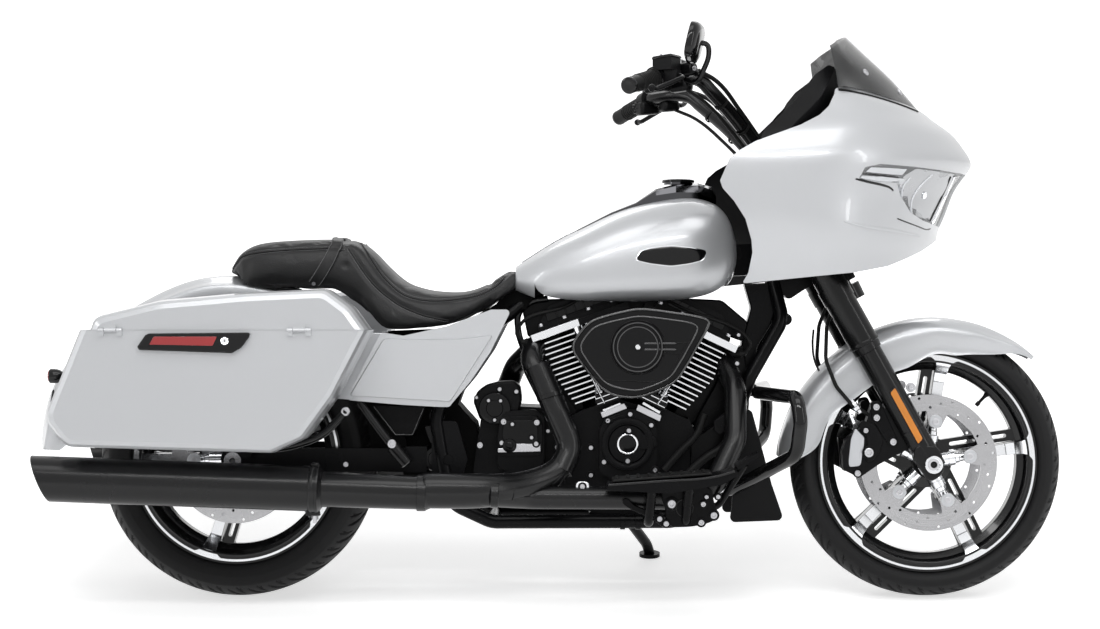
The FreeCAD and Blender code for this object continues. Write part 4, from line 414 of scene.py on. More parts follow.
def rounded(corners, radius, steps=5):
    """(x, z) corners with each corner turned into a short curve."""
    made = []
    count = len(corners)
    for i in range(count):
        before, here, after = (Vector(corners[(i + k) % count]) for k in (-1, 0, 1))
        reach_in = min(radius, (before - here).length * 0.45)
        reach_out = min(radius, (after - here).length * 0.45)
        start = here + (before - here).normalized() * reach_in
        end = here + (after - here).normalized() * reach_out
        for k in range(steps + 1):
            t = k / steps
            made.append(tuple(start * (1 - t) ** 2 + here * 2 * t * (1 - t) + end * t ** 2))
    return made


def pipe(name, points, radius, material, body="chassis", resolution=5, cyclic=False, smooth=True):
    """A round line along points, smooth through them."""
    curve = bpy.data.curves.new(name, "CURVE")
    curve.dimensions = "3D"
    curve.bevel_depth = radius
    curve.bevel_resolution = resolution
    curve.use_fill_caps = True
    curve.resolution_u = 10
    spline = curve.splines.new("BEZIER" if smooth else "POLY")
    knots = spline.bezier_points if smooth else spline.points
    knots.add(len(points) - 1)
    for knot, place in zip(knots, points):
        if smooth:
            knot.co = place
            knot.handle_left_type = knot.handle_right_type = "AUTO"
        else:
            knot.co = (*place, 1)
    spline.use_cyclic_u = cyclic
    return add_piece(name, curve, material, body)


def bolt_into(bm, at, way, radius=0.006, height=0.005):
    """A cap screw: a chamfered head with a six-sided socket, standing on at and facing way."""
    turn = basis(way)
    at = Vector(at)
    profile = [(0, radius), (height * 0.8, radius), (height, radius * 0.86), (height, radius * 0.55)]
    lathe_into(bm, profile, at, way, 20)
    rim, foot = [], []
    for i in range(6):
        angle = math.pi / 3 * i
        spoke = Vector((math.cos(angle), math.sin(angle), 0)) * radius * 0.56
        rim.append(bm.verts.new(at + turn @ (spoke + Vector((0, 0, height)))))
        foot.append(bm.verts.new(at + turn @ (spoke + Vector((0, 0, height * 0.35)))))
    skin_rings(bm, (rim, foot))
    bm.faces.new(foot)


def plate_between(name, corners, y, depth, material, bevel=0.0012, segments=3, body="chassis", slot=None):
    """A bevelled plate between y and y + depth whose corners are pixels of the photograph at that y."""
    places = [photo(u, v, y) for u, v in corners]
    return slab(name, places, (0, depth, 0), material, bevel, segments, body=body, slot=slot)


def grid_piece(name, rows, material, body="chassis", wrap=False, sharp=35, slot=None):
    """A surface through rows of points; with wrap the last row joins the first."""
    bm = bmesh.new()
    made = [[bm.verts.new(p) for p in row] for row in rows]
    for a, b in zip(made, made[1:] + made[:1] if wrap else made[1:]):
        for j in range(len(a) - 1):
            bm.faces.new((a[j], a[j + 1], b[j + 1], b[j]))
    return from_mesh(name, bm, material, body, sharp, slot)


# Wheels: tyres with a carved tread, machined spoke faces, rim lines, hub barrels and disc bolts

# Radius of each rim where the tyre's bead sits, and its width there
FRONT_BEAD, FRONT_RIM = 0.2413, 0.089
REAR_BEAD, REAR_RIM = 0.2286, 0.140


def tyre_profile(radius, width, crown, bead, rim):
    """(y, radius, tread position from -1 to 1 or None) from one bead over the crown to the other."""
    half = width / 2
    seat, foot = rim / 2 - 0.0003, bead + 0.0003
    shoulder = half - 0.003
    edge = radius - crown + math.sqrt(crown ** 2 - shoulder ** 2)
    low = seat + 0.006, foot + 0.0205
    wall = [(seat + 0.0004, foot + 0.0155), (seat + 0.0025, foot + 0.0185), low]
    bulge = [(0.1, 0.22), (0.22, 0.42), (0.215, 0.425), (0.3, 0.53), (0.295, 0.54), (0.55, 0.8),
             (0.72, 0.92), (0.735, 0.935), (0.725, 0.945), (0.88, 0.995), (1.0, 1.0)]
    rise = edge - 0.0105 - low[1]
    side = wall + [(low[0] + (half - low[0]) * b, low[1] + rise * a) for a, b in bulge]
    side += [(half - 0.0002, edge - 0.0075), (half - 0.0009, edge - 0.0045), (half - 0.0018, edge - 0.002)]
    right = [(-y, r, None) for y, r in side]
    steps = int(shoulder * 2 / 0.0021)
    tread = []
    for i in range(steps + 1):
        t = -1 + 2 * i / steps
        y = t * shoulder
        tread.append((y, radius - crown + math.sqrt(crown ** 2 - y ** 2), t))
    return right + tread + [(-y, r, None) for y, r, _ in reversed(right)]


def groove_depth(turn, t, pitch, radius):
    """How deep the tread is cut there: long swept grooves, short ones and wear dots."""
    side = 1 if t >= 0 else -1
    turn = turn + (pitch / 2 if side > 0 else 0)
    reach = abs(t)
    cell = turn / pitch
    if 0.1 < reach < 0.9:
        off = abs((cell - 1.5 * (1 - reach) ** 1.5) % 1.0 - 0.5) * pitch * radius
        slope = 1 / math.sqrt(1 + (2.2 * (1 - reach) ** 0.5) ** 2)
        half = 0.003 * min(1.0, (reach - 0.1) / 0.12, (0.9 - reach) / 0.22)
        if off * slope < half:
            return 0.0052
    if 0.52 < reach < 0.98:
        off = abs((cell + 0.5 - 1.1 * (1 - reach) ** 1.3) % 1.0 - 0.5) * pitch * radius
        half = 0.0022 * min(1.0, (reach - 0.52) / 0.15, (0.98 - reach) / 0.1)
        if off < half:
            return 0.0045
    off = abs((cell + 0.27) % 1.0 - 0.5) * pitch * radius
    if math.hypot(off, (reach - 0.84) * 0.06) < 0.0024:
        return 0.003
    return 0.0


def tyre_piece(name, node, centre, radius, width, crown, bead, rim, body, pitches, around):
    profile = tyre_profile(radius, width, crown, bead, rim)
    pitch = 2 * math.pi / pitches
    rows = []
    for i in range(around):
        turn = 2 * math.pi * i / around
        c, s = math.cos(turn), math.sin(turn)
        row = []
        for y, r, t in profile:
            if t is not None:
                r -= groove_depth(turn, t, pitch, radius)
            row.append((centre.x + r * c, y, centre.z + r * s))
        rows.append(row)
    piece = grid_piece(name, rows, "tyre", body, wrap=True, sharp=42)
    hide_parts(node)


def spoke_frame(angle):
    """Radial and tangential directions of a spoke."""
    return Vector((math.cos(angle), 0, math.sin(angle))), Vector((-math.sin(angle), 0, math.cos(angle)))


def blade_into(bm, centre, angle, side, sections):
    """A closed bar along a spoke, through sections of (radius, outer y, inner y, half width)."""
    out, aside = spoke_frame(angle)
    loops = []
    for r, top, low, half in sections:
        loops.append([bm.verts.new(Vector((centre.x, y * side, centre.z)) + out * r + aside * w)
                      for y, w in ((top, -half), (top, half), (low, half), (low, -half))])
    skin_rings(bm, loops)
    bm.faces.new(loops[0][::-1])
    bm.faces.new(loops[-1])


def wheel_trim(label, centre, bead, rim, first_spoke, body, barrel_y, disc_face, disc_sides):
    flange = rim / 2 + 0.008
    rise = (flange - 0.0245) / 0.028
    line_low, line_high = bead + 0.0062, bead + 0.0124
    shape = [(0.06, 0.0242, 0.0105), (0.1, 0.0243, 0.0115), (0.19, 0.0243, 0.0134),
             (0.1915, 0.0262, 0.0136), (bead - 0.03, 0.0262 + 0.006 * rise, 0.0142),
             (bead - 0.0285, 0.0262 + 0.008 * rise, 0.0144), (bead - 0.013, flange - 0.006 * rise, 0.0158),
             (bead - 0.006, flange - 0.0006, 0.0185), (bead - 0.0025, flange + 0.0001, 0.0215),
             (bead + 0.002, flange + 0.0001, 0.0275), (bead + 0.005, flange + 0.0001, 0.0345),
             (bead + 0.0068, flange + 0.0001, 0.043)]
    dark, bright = bmesh.new(), bmesh.new()
    for side in (-1, 1):
        for k in range(5):
            angle = first_spoke + 2 * math.pi * k / 5
            base = []
            for r, top, half in shape:
                low = 0.018 if r < bead - 0.012 else flange - 0.006
                base.append((r, top, min(low, top - 0.002), half))
            blade_into(dark, centre, angle, side, [s for s in base if s[0] <= bead + 0.001])
            blade_into(bright, centre, angle, side,
                       [(r, top + 0.0006, top - 0.0002, half - 0.0004) for r, top, low, half in base])
    from_mesh(f"{label}_spoke_roots", dark, "wheel", body)
    bevelled(from_mesh(f"{label}_spoke_faces", bright, "machined", body), 0.0004, 1)
    line, rolled = bmesh.new(), bmesh.new()
    line_profile = [(flange - 0.0002, line_low), (flange + 0.0006, line_low + 0.0006),
                    (flange + 0.0006, line_high - 0.0006), (flange - 0.0002, line_high)]
    lip_profile = [(flange - 0.005, bead - 0.0052), (flange - 0.0015, bead - 0.0064),
                   (flange + 0.0008, bead - 0.0052), (flange + 0.0012, bead - 0.002),
                   (flange + 0.0002, bead + 0.0006)]
    for side in (-1, 1):
        lathe_into(line, line_profile, centre, (0, side, 0), 180)
        lathe_into(rolled, lip_profile, centre, (0, side, 0), 180)
    from_mesh(f"{label}_rim_line", line, "machined", body, sharp=40)
    from_mesh(f"{label}_rim_lip", rolled, "wheel", body, sharp=60)
    barrels, heads, washers = bmesh.new(), bmesh.new(), bmesh.new()
    turned_profile = [(0.03, 0.0125), (0.034, 0.016), (0.0475, 0.0168), (0.0482, 0.0154), (0.0495, 0.0154),
                      (0.0502, 0.0172), (0.064, 0.0172), (0.065, 0.016), (0.066, 0.0132), (0.0745, 0.0126),
                      (0.076, 0.011), (0.086, 0.01)]
    for side in disc_sides:
        for k in range(5):
            angle = first_spoke + 2 * math.pi * k / 5
            out, _ = spoke_frame(angle)
            lathe_into(barrels, turned_profile, Vector((centre.x, side * barrel_y, centre.z)), out, 32)
            seat_at = Vector((centre.x, side * disc_face, centre.z)) + out * 0.098
            # low heads, which pass inside the fork leg as the wheel turns
            lathe_into(washers, mm(-1, 15.8, 0.4, 15.8, 1, 15, 1.2, 10, 1.2, 0), seat_at, (0, side, 0), 32)
            bolt_into(heads, seat_at + Vector((0, side * 0.0012, 0)), (0, side, 0), 0.0078, 0.0022)
    from_mesh(f"{label}_hub_barrels", barrels, "machined", body)
    from_mesh(f"{label}_disc_seats", washers, "cast", body, slot="disc_steel")
    from_mesh(f"{label}_disc_bolts", heads, "steel", body)
    # valve stem
    out, _ = spoke_frame(first_spoke + math.radians(38))
    foot = Vector((centre.x, 0, centre.z)) + out * (bead - 0.024)
    lathe(f"{label}_valve", mm(0, 7.5, 2, 6.2, 10, 4, 26, 3.6, 26.5, 5.2, 36, 5, 37, 3.8, 37, 0), foot,
          -out, "rubber", body, steps=24)


def make_wheels():
    tyre_piece("front_tread", "front_tyre", FRONT_AXLE, radius=0.3193, width=0.130, crown=0.084,
               bead=FRONT_BEAD, rim=FRONT_RIM, body="front_wheel", pitches=38,
               around=1026)
    tyre_piece("rear_tread", "rear_tyre", REAR_AXLE, radius=REAR_RADIUS, width=0.180, crown=0.136,
               bead=REAR_BEAD, rim=REAR_RIM, body="rear_wheel", pitches=40, around=840)
    wheel_trim("front", FRONT_AXLE, FRONT_BEAD, FRONT_RIM, first_spoke=math.radians(8.7),
               body="front_wheel", barrel_y=0.046, disc_face=0.0725, disc_sides=(-1, 1))
    wheel_trim("rear", REAR_AXLE, REAR_BEAD, REAR_RIM, first_spoke=math.radians(37.2), body="rear_wheel",
               barrel_y=0.058, disc_face=0.0865, disc_sides=(-1,))


# Front end: reflectors, axle lugs, fork seals and caps, caliper details and the fender's bolts

def leg_plate(name, corners, radius, y, depth, material, bevel, segments=3, slot=None):
    """A plate on the right fork leg, rounded from pixels, and the same one mirrored to the left leg."""
    piece = plate_between(f"{name}_right", rounded(corners, radius), y, depth, material, bevel, segments,
                          "front_fork", slot)
    bm = bmesh.new()
    bm.from_mesh(piece.data)
    bmesh.ops.scale(bm, vec=(1, -1, 1), verts=bm.verts)
    bmesh.ops.reverse_faces(bm, faces=bm.faces)
    other = placed(f"{name}_left", mesh_of(f"{name}_left", bm, 32))
    other.data.materials.append(MAT[material])
    bevelled(other, bevel, segments)
    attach(other, "front_fork")


def make_front_end():
    # amber reflector in a shallow frame, following the leg
    low, high = photo(921.0, 442.4, -0.138), photo(891.8, 389.2, -0.138)
    way = (high - low).normalized()
    aside = Vector((way.z, 0, -way.x))
    parts = (("frame", 0.0098, 0.0035, "plastic", -0.0022), ("lens", 0.0078, 0.005, "amber", 0.0))
    for side, word in SIDES:
        outer_y = -0.1372 if side < 0 else 0.1252
        for label, half, proud, material, inset in parts:
            start, end = low + way * inset, high - way * inset
            corners = [start - aside * half, start + aside * half + way * 0.006, end + aside * half,
                       end - aside * half - way * 0.006]
            flat = rounded([(c.x, c.z) for c in corners], 0.004)
            piece = slab(f"reflector_{label}_{word}", [(x, 0, z) for x, z in flat], (0, 0.012, 0), material,
                         0.0012, 3, body="front_fork")
            piece.data.transform(Matrix.Translation((0, outer_y + side * proud, 0)))
    # lug round the axle's end
    lug = [(914.5, 448), (921, 444.5), (938.8, 446.7), (944.8, 463), (943, 474.5), (931.5, 482.5),
           (925, 477), (913.5, 459)]
    leg_plate("axle_lug", lug, 6, -0.1375, 0.034, "fork", 0.004, 4)
    for side, word in SIDES:
        at = Vector((FRONT_AXLE.x, side * 0.1443, FRONT_AXLE.z))
        lathe(f"axle_ring_{word}", mm(-3, 20.5, 0.6, 20.5, 1.6, 19.5, 1.6, 15, 0.4, 13.6, -1.5, 12,
                                      -20, 12), at, (0, side, 0), "chrome", "front_fork")
    # seals where the slider enters its cover, and caps on top
    seals, caps = bmesh.new(), bmesh.new()
    for side in (-1, 1):
        base = Vector((FRONT_AXLE.x, side * FORK_SPACING, FRONT_AXLE.z))
        lathe_into(seals, mm(300, 30.2, 302, 33.5, 318, 34.5, 320.5, 37.2, 326, 37.2, 328.5, 36.2), base,
                   FORK_WAY, 64)
        lathe_into(seals, mm(88, 30.2, 89.5, 31.2, 94, 31.2, 95.5, 30.2), base, FORK_WAY, 64)
        lathe_into(seals, mm(607, 36.2, 608, 37.5, 614, 37.5, 616, 35.5), base, FORK_WAY, 64)
        lathe_into(seals, mm(-12.5, 0, -14, 12, -13.5, 24, -10, 29.8, -4, 30.4), base, FORK_WAY, 64)
        lathe_into(caps, mm(654, 24.6, 660, 23.5, 662, 14, 668, 12.5, 669, 0), base, FORK_WAY, 40)
    from_mesh("fork_seals", seals, "fork", "front_fork", sharp=40)
    from_mesh("fork_caps", caps, "cast", "front_fork", slot="fork_black")
    # caliper: cast panel, ridge, bracket, bolts, bleed nipple and hose fitting
    face = -0.1122
    panel = [(855.4, 428.0), (864.6, 437.4), (864.2, 446), (860.9, 464.4), (858.6, 466.4), (849.2, 467.0),
             (848.4, 461.5), (850.9, 439.0)]
    leg_plate("caliper_panel", panel, 2.4, face - 0.0016, 0.006, "cast", 0.0016)
    ridge = [(862, 420), (876, 425), (884, 440), (880, 452), (872, 462), (866, 462), (868, 450),
             (866.5, 436), (858, 426)]
    leg_plate("caliper_ridge", ridge, 4, face - 0.005, 0.01, "engine", 0.0025, 4, slot="black_metal")
    stay = [(870, 402), (880, 400), (891, 425), (899, 442), (894, 447), (886, 441), (872, 419)]
    leg_plate("caliper_bracket", stay, 3.5, face - 0.003, 0.012, "satin", 0.0018)
    spots = [(876.2, 406.9, 0.0078, -0.003), (876.6, 417.6, 0.0078, -0.003), (865.5, 430.4, 0.0062, -0.005),
             (893.0, 441.8, 0.0078, -0.003), (868.6, 452.4, 0.0105, -0.005), (857.6, 473.2, 0.0072, 0.0)]
    for side, word in SIDES:
        heads, washers = bmesh.new(), bmesh.new()
        for u, v, radius, lift in spots:
            place = photo(u, v, face)
            place.y = -side * (face + lift)
            bolt_into(heads, place, (0, side, 0), radius, 0.005)
            lathe_into(washers, [(0.0, radius * 1.5), (0.0012, radius * 1.5), (0.0018, radius * 1.4),
                                 (0.0018, radius * 0.9)], place, (0, side, 0), 28)
        from_mesh(f"caliper_bolts_{word}", heads, "steel", "front_fork")
        from_mesh(f"caliper_washers_{word}", washers, "satin", "front_fork")
        top = photo(855, 424, face)
        pin_at = Vector((top.x, side * 0.098, top.z))
        lathe(f"bleed_nipple_{word}", mm(0, 0, 0, 5.2, 16, 5.2, 17, 6.8, 22, 6.8, 23, 4, 30, 4, 30, 0),
              pin_at, (-0.45, 0, 1), "chrome", body="front_fork", steps=24, sharp=30)
        fitting = bmesh.new()
        spot = photo(858.5, 409.5, face)
        bank = Vector((spot.x, side * 0.1005, spot.z))
        lathe_into(fitting, mm(-10, 0, -10, 6.6, -2, 7, 0, 9.2, 8, 9.2, 9, 7, 16, 7, 18, 5.8, 26, 5.2,
                               26, 0), bank, (-0.55, 0, 0.83), 6)
        from_mesh(f"hose_fitting_{word}", fitting, "chrome", "front_fork", sharp=25)
    # lead down the leg, and the fender's bolts
    sensor = [photo(813.5, 330, -0.06), photo(812.6, 345, -0.085), photo(814.5, 360, -0.098),
              photo(819, 371, -0.1)]
    pipe("speed_sensor_lead", sensor, 0.0026, "rubber", body="front_fork")
    for side, word in SIDES:
        bm = bmesh.new()
        for u, v in ((911, 387.4), (871, 371.5)):
            place = photo(u, v, -0.08)
            bolt_into(bm, Vector((place.x, side * 0.0792, place.z)), (0, side, 0), 0.0072, 0.005)
            lathe_into(bm, mm(-2.6, 11.5, -0.8, 11.5, 0, 10.5, 0, 6),
                       Vector((place.x, side * 0.0792, place.z)), (0, side, 0), 28)
        from_mesh(f"fender_bolts_{word}", bm, "steel", "front_fork")


# Engine: machined fin edges, head plates, pushrod fittings, covers' rims, bolts and plug leads

def cylinder_place(label, x, y, length):
    """A place by its distance forward across a cylinder, its y and its distance up from the crank."""
    angle = CYLINDER_ANGLES[label]
    return Vector((CRANK.x + x * math.cos(angle) + length * math.sin(angle), y,
                   CRANK.z - x * math.sin(angle) + length * math.cos(angle)))


def cylinder_slab(bm, label, x_from, x_to, y_from, y_to, low, high):
    """Adds a box that stands square to a cylinder, between those places in its own directions."""
    corners = [cylinder_place(label, x, y_from, z)
               for x, z in ((x_from, low), (x_to, low), (x_to, high), (x_from, high))]
    slab_into(bm, corners, (0, y_to - y_from, 0))


def fin_edges(label):
    """A bright strip round each fin's rim, where it was machined after the black coat."""
    bm = bmesh.new()
    round_radius, face = 0.134, 0.088
    fins, first_fin, fin_pitch, steps = 13, 0.16, 0.013, 40
    forward = 1 if label == "front" else -1
    for k in range(fins):
        length = first_fin + fin_pitch * k
        half = 0.074 + 0.046 * k / (fins - 1)
        inner = min(half, length * math.tan(math.radians(22.5)) - 0.0008)
        ends = (-inner, half) if forward > 0 else (-half, inner)
        for side in (-1, 1):
            line = []
            for i in range(steps + 1):
                x = ends[0] + (ends[1] - ends[0]) * i / steps
                y = min(face, math.sqrt(max(round_radius ** 2 - x ** 2, 0.0))) + 0.0004
                line.append((x, side * y))
            rows = []
            for x, y in line:
                inset = side * 0.0016
                rows.append([bm.verts.new(cylinder_place(label, x, yy, z))
                             for yy, z in ((y - inset, length + 0.0002), (y, length + 0.0003),
                                           (y, length + 0.0033), (y - inset, length + 0.0034))])
            for a, b in zip(rows, rows[1:]):
                for j in range(3):
                    bm.faces.new((a[j], a[j + 1], b[j + 1], b[j]))
    from_mesh(f"fin_edges_{label}", bm, "machined", slot="fin_black")


def heads_and_rods(label):
    """One cylinder's head faces, pushrod fittings, screws, rocker box trim, spark plug and its lead."""
    forward = 1 if label == "front" else -1
    bright = bmesh.new()
    near, far = sorted((0.002 * forward, 0.1185 * forward))
    cylinder_slab(bright, label, near, far, -0.1128, -0.1118, 0.33, 0.347)
    cylinder_slab(bright, label, -0.1185, 0.1185, 0.0918, 0.0928, 0.3318, 0.3452)
    bevelled(from_mesh(f"head_faces_{label}", bright, "machined", slot="fin_black"), 0.0006, 2)
    tappet_x = -0.006 * forward
    blocks = bmesh.new()
    cylinder_slab(blocks, label, tappet_x - 0.037, tappet_x + 0.037, -0.12, -0.096, 0.1385, 0.1435)
    cylinder_slab(blocks, label, tappet_x - 0.034, tappet_x + 0.034, -0.1185, -0.096, 0.1452, 0.156)
    cylinder_slab(blocks, label, tappet_x - 0.03, tappet_x + 0.03, -0.119, -0.096, 0.1578, 0.165)
    bevelled(from_mesh(f"tappet_blocks_{label}", blocks, "engine_smooth"), 0.001, 2)
    rods, screws = bmesh.new(), bmesh.new()
    up = cylinder_place(label, 0, 0, 1) - cylinder_place(label, 0, 0, 0)
    for offset in (-0.015, 0.015):
        foot = cylinder_place(label, tappet_x + offset, -0.101, 0)
        lathe_into(rods, mm(164.5, 12.5, 166.5, 13.5, 170, 13.5, 171.5, 11.8, 180, 11.5, 181.5, 9.8), foot,
                   up, 32)
        lathe_into(rods, mm(235, 9.8, 236.2, 11.6, 247, 11.6, 248.2, 9.8), foot, up, 32)
        lathe_into(rods, mm(315, 9.8, 316.5, 12, 330.5, 12.8), foot, up, 32)
    cap = {"rear": [(600.4, 412.6), (624.0, 403.2), (627.0, 408.4), (602.6, 418.0)],
           "front": [(638.4, 404.4), (661.4, 415.6), (659.8, 421.6), (636.2, 410.2)]}[label]
    plate_between(f"tappet_cap_{label}", rounded(cap, 0.8), -0.133, 0.026, "steel", 0.0006, 2,
                  slot="chrome")
    tier = {"rear": [(602.4, 409.8), (620.0, 402.6), (621.4, 404.6), (603.8, 412.0)],
            "front": [(643.6, 401.8), (660.6, 411.6), (659.4, 414.0), (642.0, 404.0)]}[label]
    plate_between(f"tappet_tier_{label}", rounded(tier, 0.6), -0.129, 0.02, "machined", 0.0005, 2,
                  slot="chrome")
    rod = {"rear": ((588.6, 371.0), (604.6, 403.0)), "front": ((672.6, 381.6), (657.4, 404.6))}[label]
    pipe(f"rod_edge_{label}", [photo(*rod[0], -0.119), photo(*rod[1], -0.124)], 0.0022, "chrome",
         resolution=4)
    from_mesh(f"rod_collars_{label}", rods, "chrome")
    for x in (-0.088, -0.03, 0.03, 0.088):
        bolt_into(screws, cylinder_place(label, x, -0.085, 0.358), up, 0.0062, 0.007)
        bolt_into(screws, cylinder_place(label, x, 0.085, 0.358), up, 0.0062, 0.007)
    from_mesh(f"head_screws_{label}", screws, "steel")
    # rocker box: a raised panel on its right side, and ribs on both
    cover = bmesh.new()
    cylinder_slab(cover, label, -0.07, 0.07, -0.085, -0.0815, 0.364, 0.386)
    for y_from, y_to, low, high in ((-0.0872, -0.0845, 0.366, 0.384), (0.0815, 0.0845, 0.364, 0.386)):
        for x in (-0.045, -0.0225, 0.0, 0.0225, 0.045):
            cylinder_slab(cover, label, x - 0.0022, x + 0.0022, y_from, y_to, low, high)
    bevelled(from_mesh(f"rocker_panel_{label}", cover, "engine_smooth"), 0.0012, 2)
    # spark plug and its lead, up to the coil under the tank
    plug_at = cylinder_place(label, 0.1 * forward, -0.06, 0.318)
    outward = cylinder_place(label, forward, 0, 0) - cylinder_place(label, 0, 0, 0)
    lathe(f"plug_boot_{label}", mm(-4, 0, -4, 8.8, 10, 9.2, 12, 10.8, 40, 10, 44, 7, 52, 5.5, 52, 0),
          plug_at, outward + Vector((0, -0.25, 0.45)), "rubber", steps=28)
    start = plug_at + (outward + Vector((0, -0.25, 0.45))).normalized() * 0.05
    top = Vector((0.905 + 0.09 * forward, -0.075, 0.712))
    pipe(f"plug_lead_{label}", [start, start + outward * 0.012 + Vector((0, -0.006, 0.03)),
                                top + Vector((0.03 * forward, -0.01, -0.02)), top], 0.0042, "rubber")


def arc_points(centre, radius, start, end, steps, y):
    """Points on part of a circle round centre, between two angles in degrees."""
    angles = [math.radians(start + (end - start) * i / steps) for i in range(steps + 1)]
    return [Vector((centre.x + radius * math.cos(a), y, centre.z + radius * math.sin(a))) for a in angles]


def make_covers():
    cam = Vector((0.916, 0, 0.366))
    rims = bmesh.new()
    lathe_into(rims, mm(137.5, 60.5, 139.2, 60, 140, 58, 140, 50, 138.8, 47.8, 133.5, 46.2), cam, OUT_RIGHT,
               96)
    lathe_into(rims, mm(133.2, 46.2, 134, 44, 135.2, 43, 135.2, 28, 134, 26.8, 134, 0), cam, OUT_RIGHT, 96)
    from_mesh("cam_rim", rims, "engine", sharp=35)
    lathe("cam_centre_ring", mm(134, 24.6, 136.2, 24.2, 136.6, 23.2, 136.6, 21.2, 136.2, 20.4, 134, 20),
          cam, OUT_RIGHT, "chrome", steps=72)
    lathe("cam_centre_cap", mm(134, 19.6, 135.6, 19, 136.6, 16, 137.2, 8, 137.4, 0), cam, OUT_RIGHT,
          "engine_smooth", steps=60)
    for index, radius in enumerate((0.0665, 0.0715, 0.0765)):
        pipe(f"cam_rib_{index}", arc_points(cam, radius, 100 + 2 * index, 138 - 2 * index, 8, -0.1285),
             0.0017, "engine_smooth", resolution=3)
    pocket = [(643, 434), (655.5, 437), (658, 446), (640, 451), (640.5, 440)]
    plate_between("cam_pocket", rounded(pocket, 3), -0.1372, 0.01, "engine", 0.0018)
    spots = [(607.8, 420.7, -0.128), (630.2, 414.2, -0.128), (651.2, 425.2, -0.128),
             (590.9, 447.7, -0.0955), (590.9, 475.1, -0.0955), (604, 462, -0.128), (655, 470, -0.128),
             (628.9, 430.6, -0.14), (627.7, 461.0, -0.14)]
    bm, seats = bmesh.new(), bmesh.new()
    for u, v, y in spots:
        bolt_into(bm, photo(u, v, y), OUT_RIGHT, 0.0054, 0.0046)
        lathe_into(seats, mm(0, 9.8, 1.2, 9.6, 1.8, 8.6, 1.8, 5), photo(u, v, y), OUT_RIGHT, 24)
    from_mesh("cover_bolts", bm, "steel")
    from_mesh("cover_bolt_seats", seats, "engine")
    # air cleaner: turned rings round a plain medallion, its stud, and creases in the cover
    face = Vector((0.937, 0, 0.592))
    rings = bmesh.new()
    lathe_into(rings, mm(199.5, 64, 201.2, 63.2, 202, 61.8, 201.4, 60, 199.6, 59.2), face, OUT_RIGHT, 110)
    lathe_into(rings, mm(205.5, 56.2, 207.6, 55.2, 207.8, 52.8, 206.2, 51.8, 206, 50, 207, 49.2, 207, 47.2,
                         205.8, 46.2, 205.8, 0), face, OUT_RIGHT, 110)
    from_mesh("cleaner_rings", rings, "engine_smooth", sharp=40, slot="black_gloss")
    stud = bmesh.new()
    bolt_into(stud, face + Vector((0, -0.2058, 0)), OUT_RIGHT, 0.0058, 0.0036)
    from_mesh("cleaner_stud", stud, "chrome")
    lathe("cleaner_stud_seat", mm(205.6, 11, 206.6, 10.4, 206.8, 8.6, 206, 6.4), face, OUT_RIGHT,
          "engine_smooth", steps=40, slot="black_gloss")
    creases = ([(663, 343.6), (676, 343.0), (690, 342.2)], [(664.5, 352.2), (672, 353.6), (684, 353.0)],
               [(583, 352), (584, 366), (591, 375), (606, 379.2), (635, 381.2), (660, 380.6), (668.5, 376),
                (681, 352), (692, 338)])
    for index, line in enumerate(creases):
        pipe(f"cleaner_crease_{index}", [photo(u, v, -0.2003) for u, v in line], 0.0012, "engine_smooth",
             resolution=3)
    lip_line = [(601, 388), (616, 394.6), (638, 396.4), (655.5, 393), (668, 384)]
    pipe("cleaner_lip", [photo(u, v, -0.1862) for u, v in lip_line], 0.0016, "engine_smooth", resolution=3)


def make_engine():
    for label in ("rear", "front"):
        fin_edges(label)
        heads_and_rods(label)
    make_covers()


# Gearbox side, exhaust, footboards and what shows low on the right side

def screw_group(name, spots, body="chassis", seats="engine"):
    """Socket screws at photograph pixels, each (u, v, y, radius), with a turned seat under each."""
    bm, rings = bmesh.new(), bmesh.new()
    for u, v, y, radius in spots:
        place = photo(u, v, y)
        bolt_into(bm, place, OUT_RIGHT, radius, radius * 0.8)
        lathe_into(rings, [(-0.001, radius * 1.7), (0.0008, radius * 1.65), (0.0013, radius * 1.5),
                           (0.0013, radius * 0.9)], place, OUT_RIGHT, 26)
    from_mesh(f"{name}_screws", bm, "steel", body)
    from_mesh(f"{name}_seats", rings, seats, body, slot="engine_black")


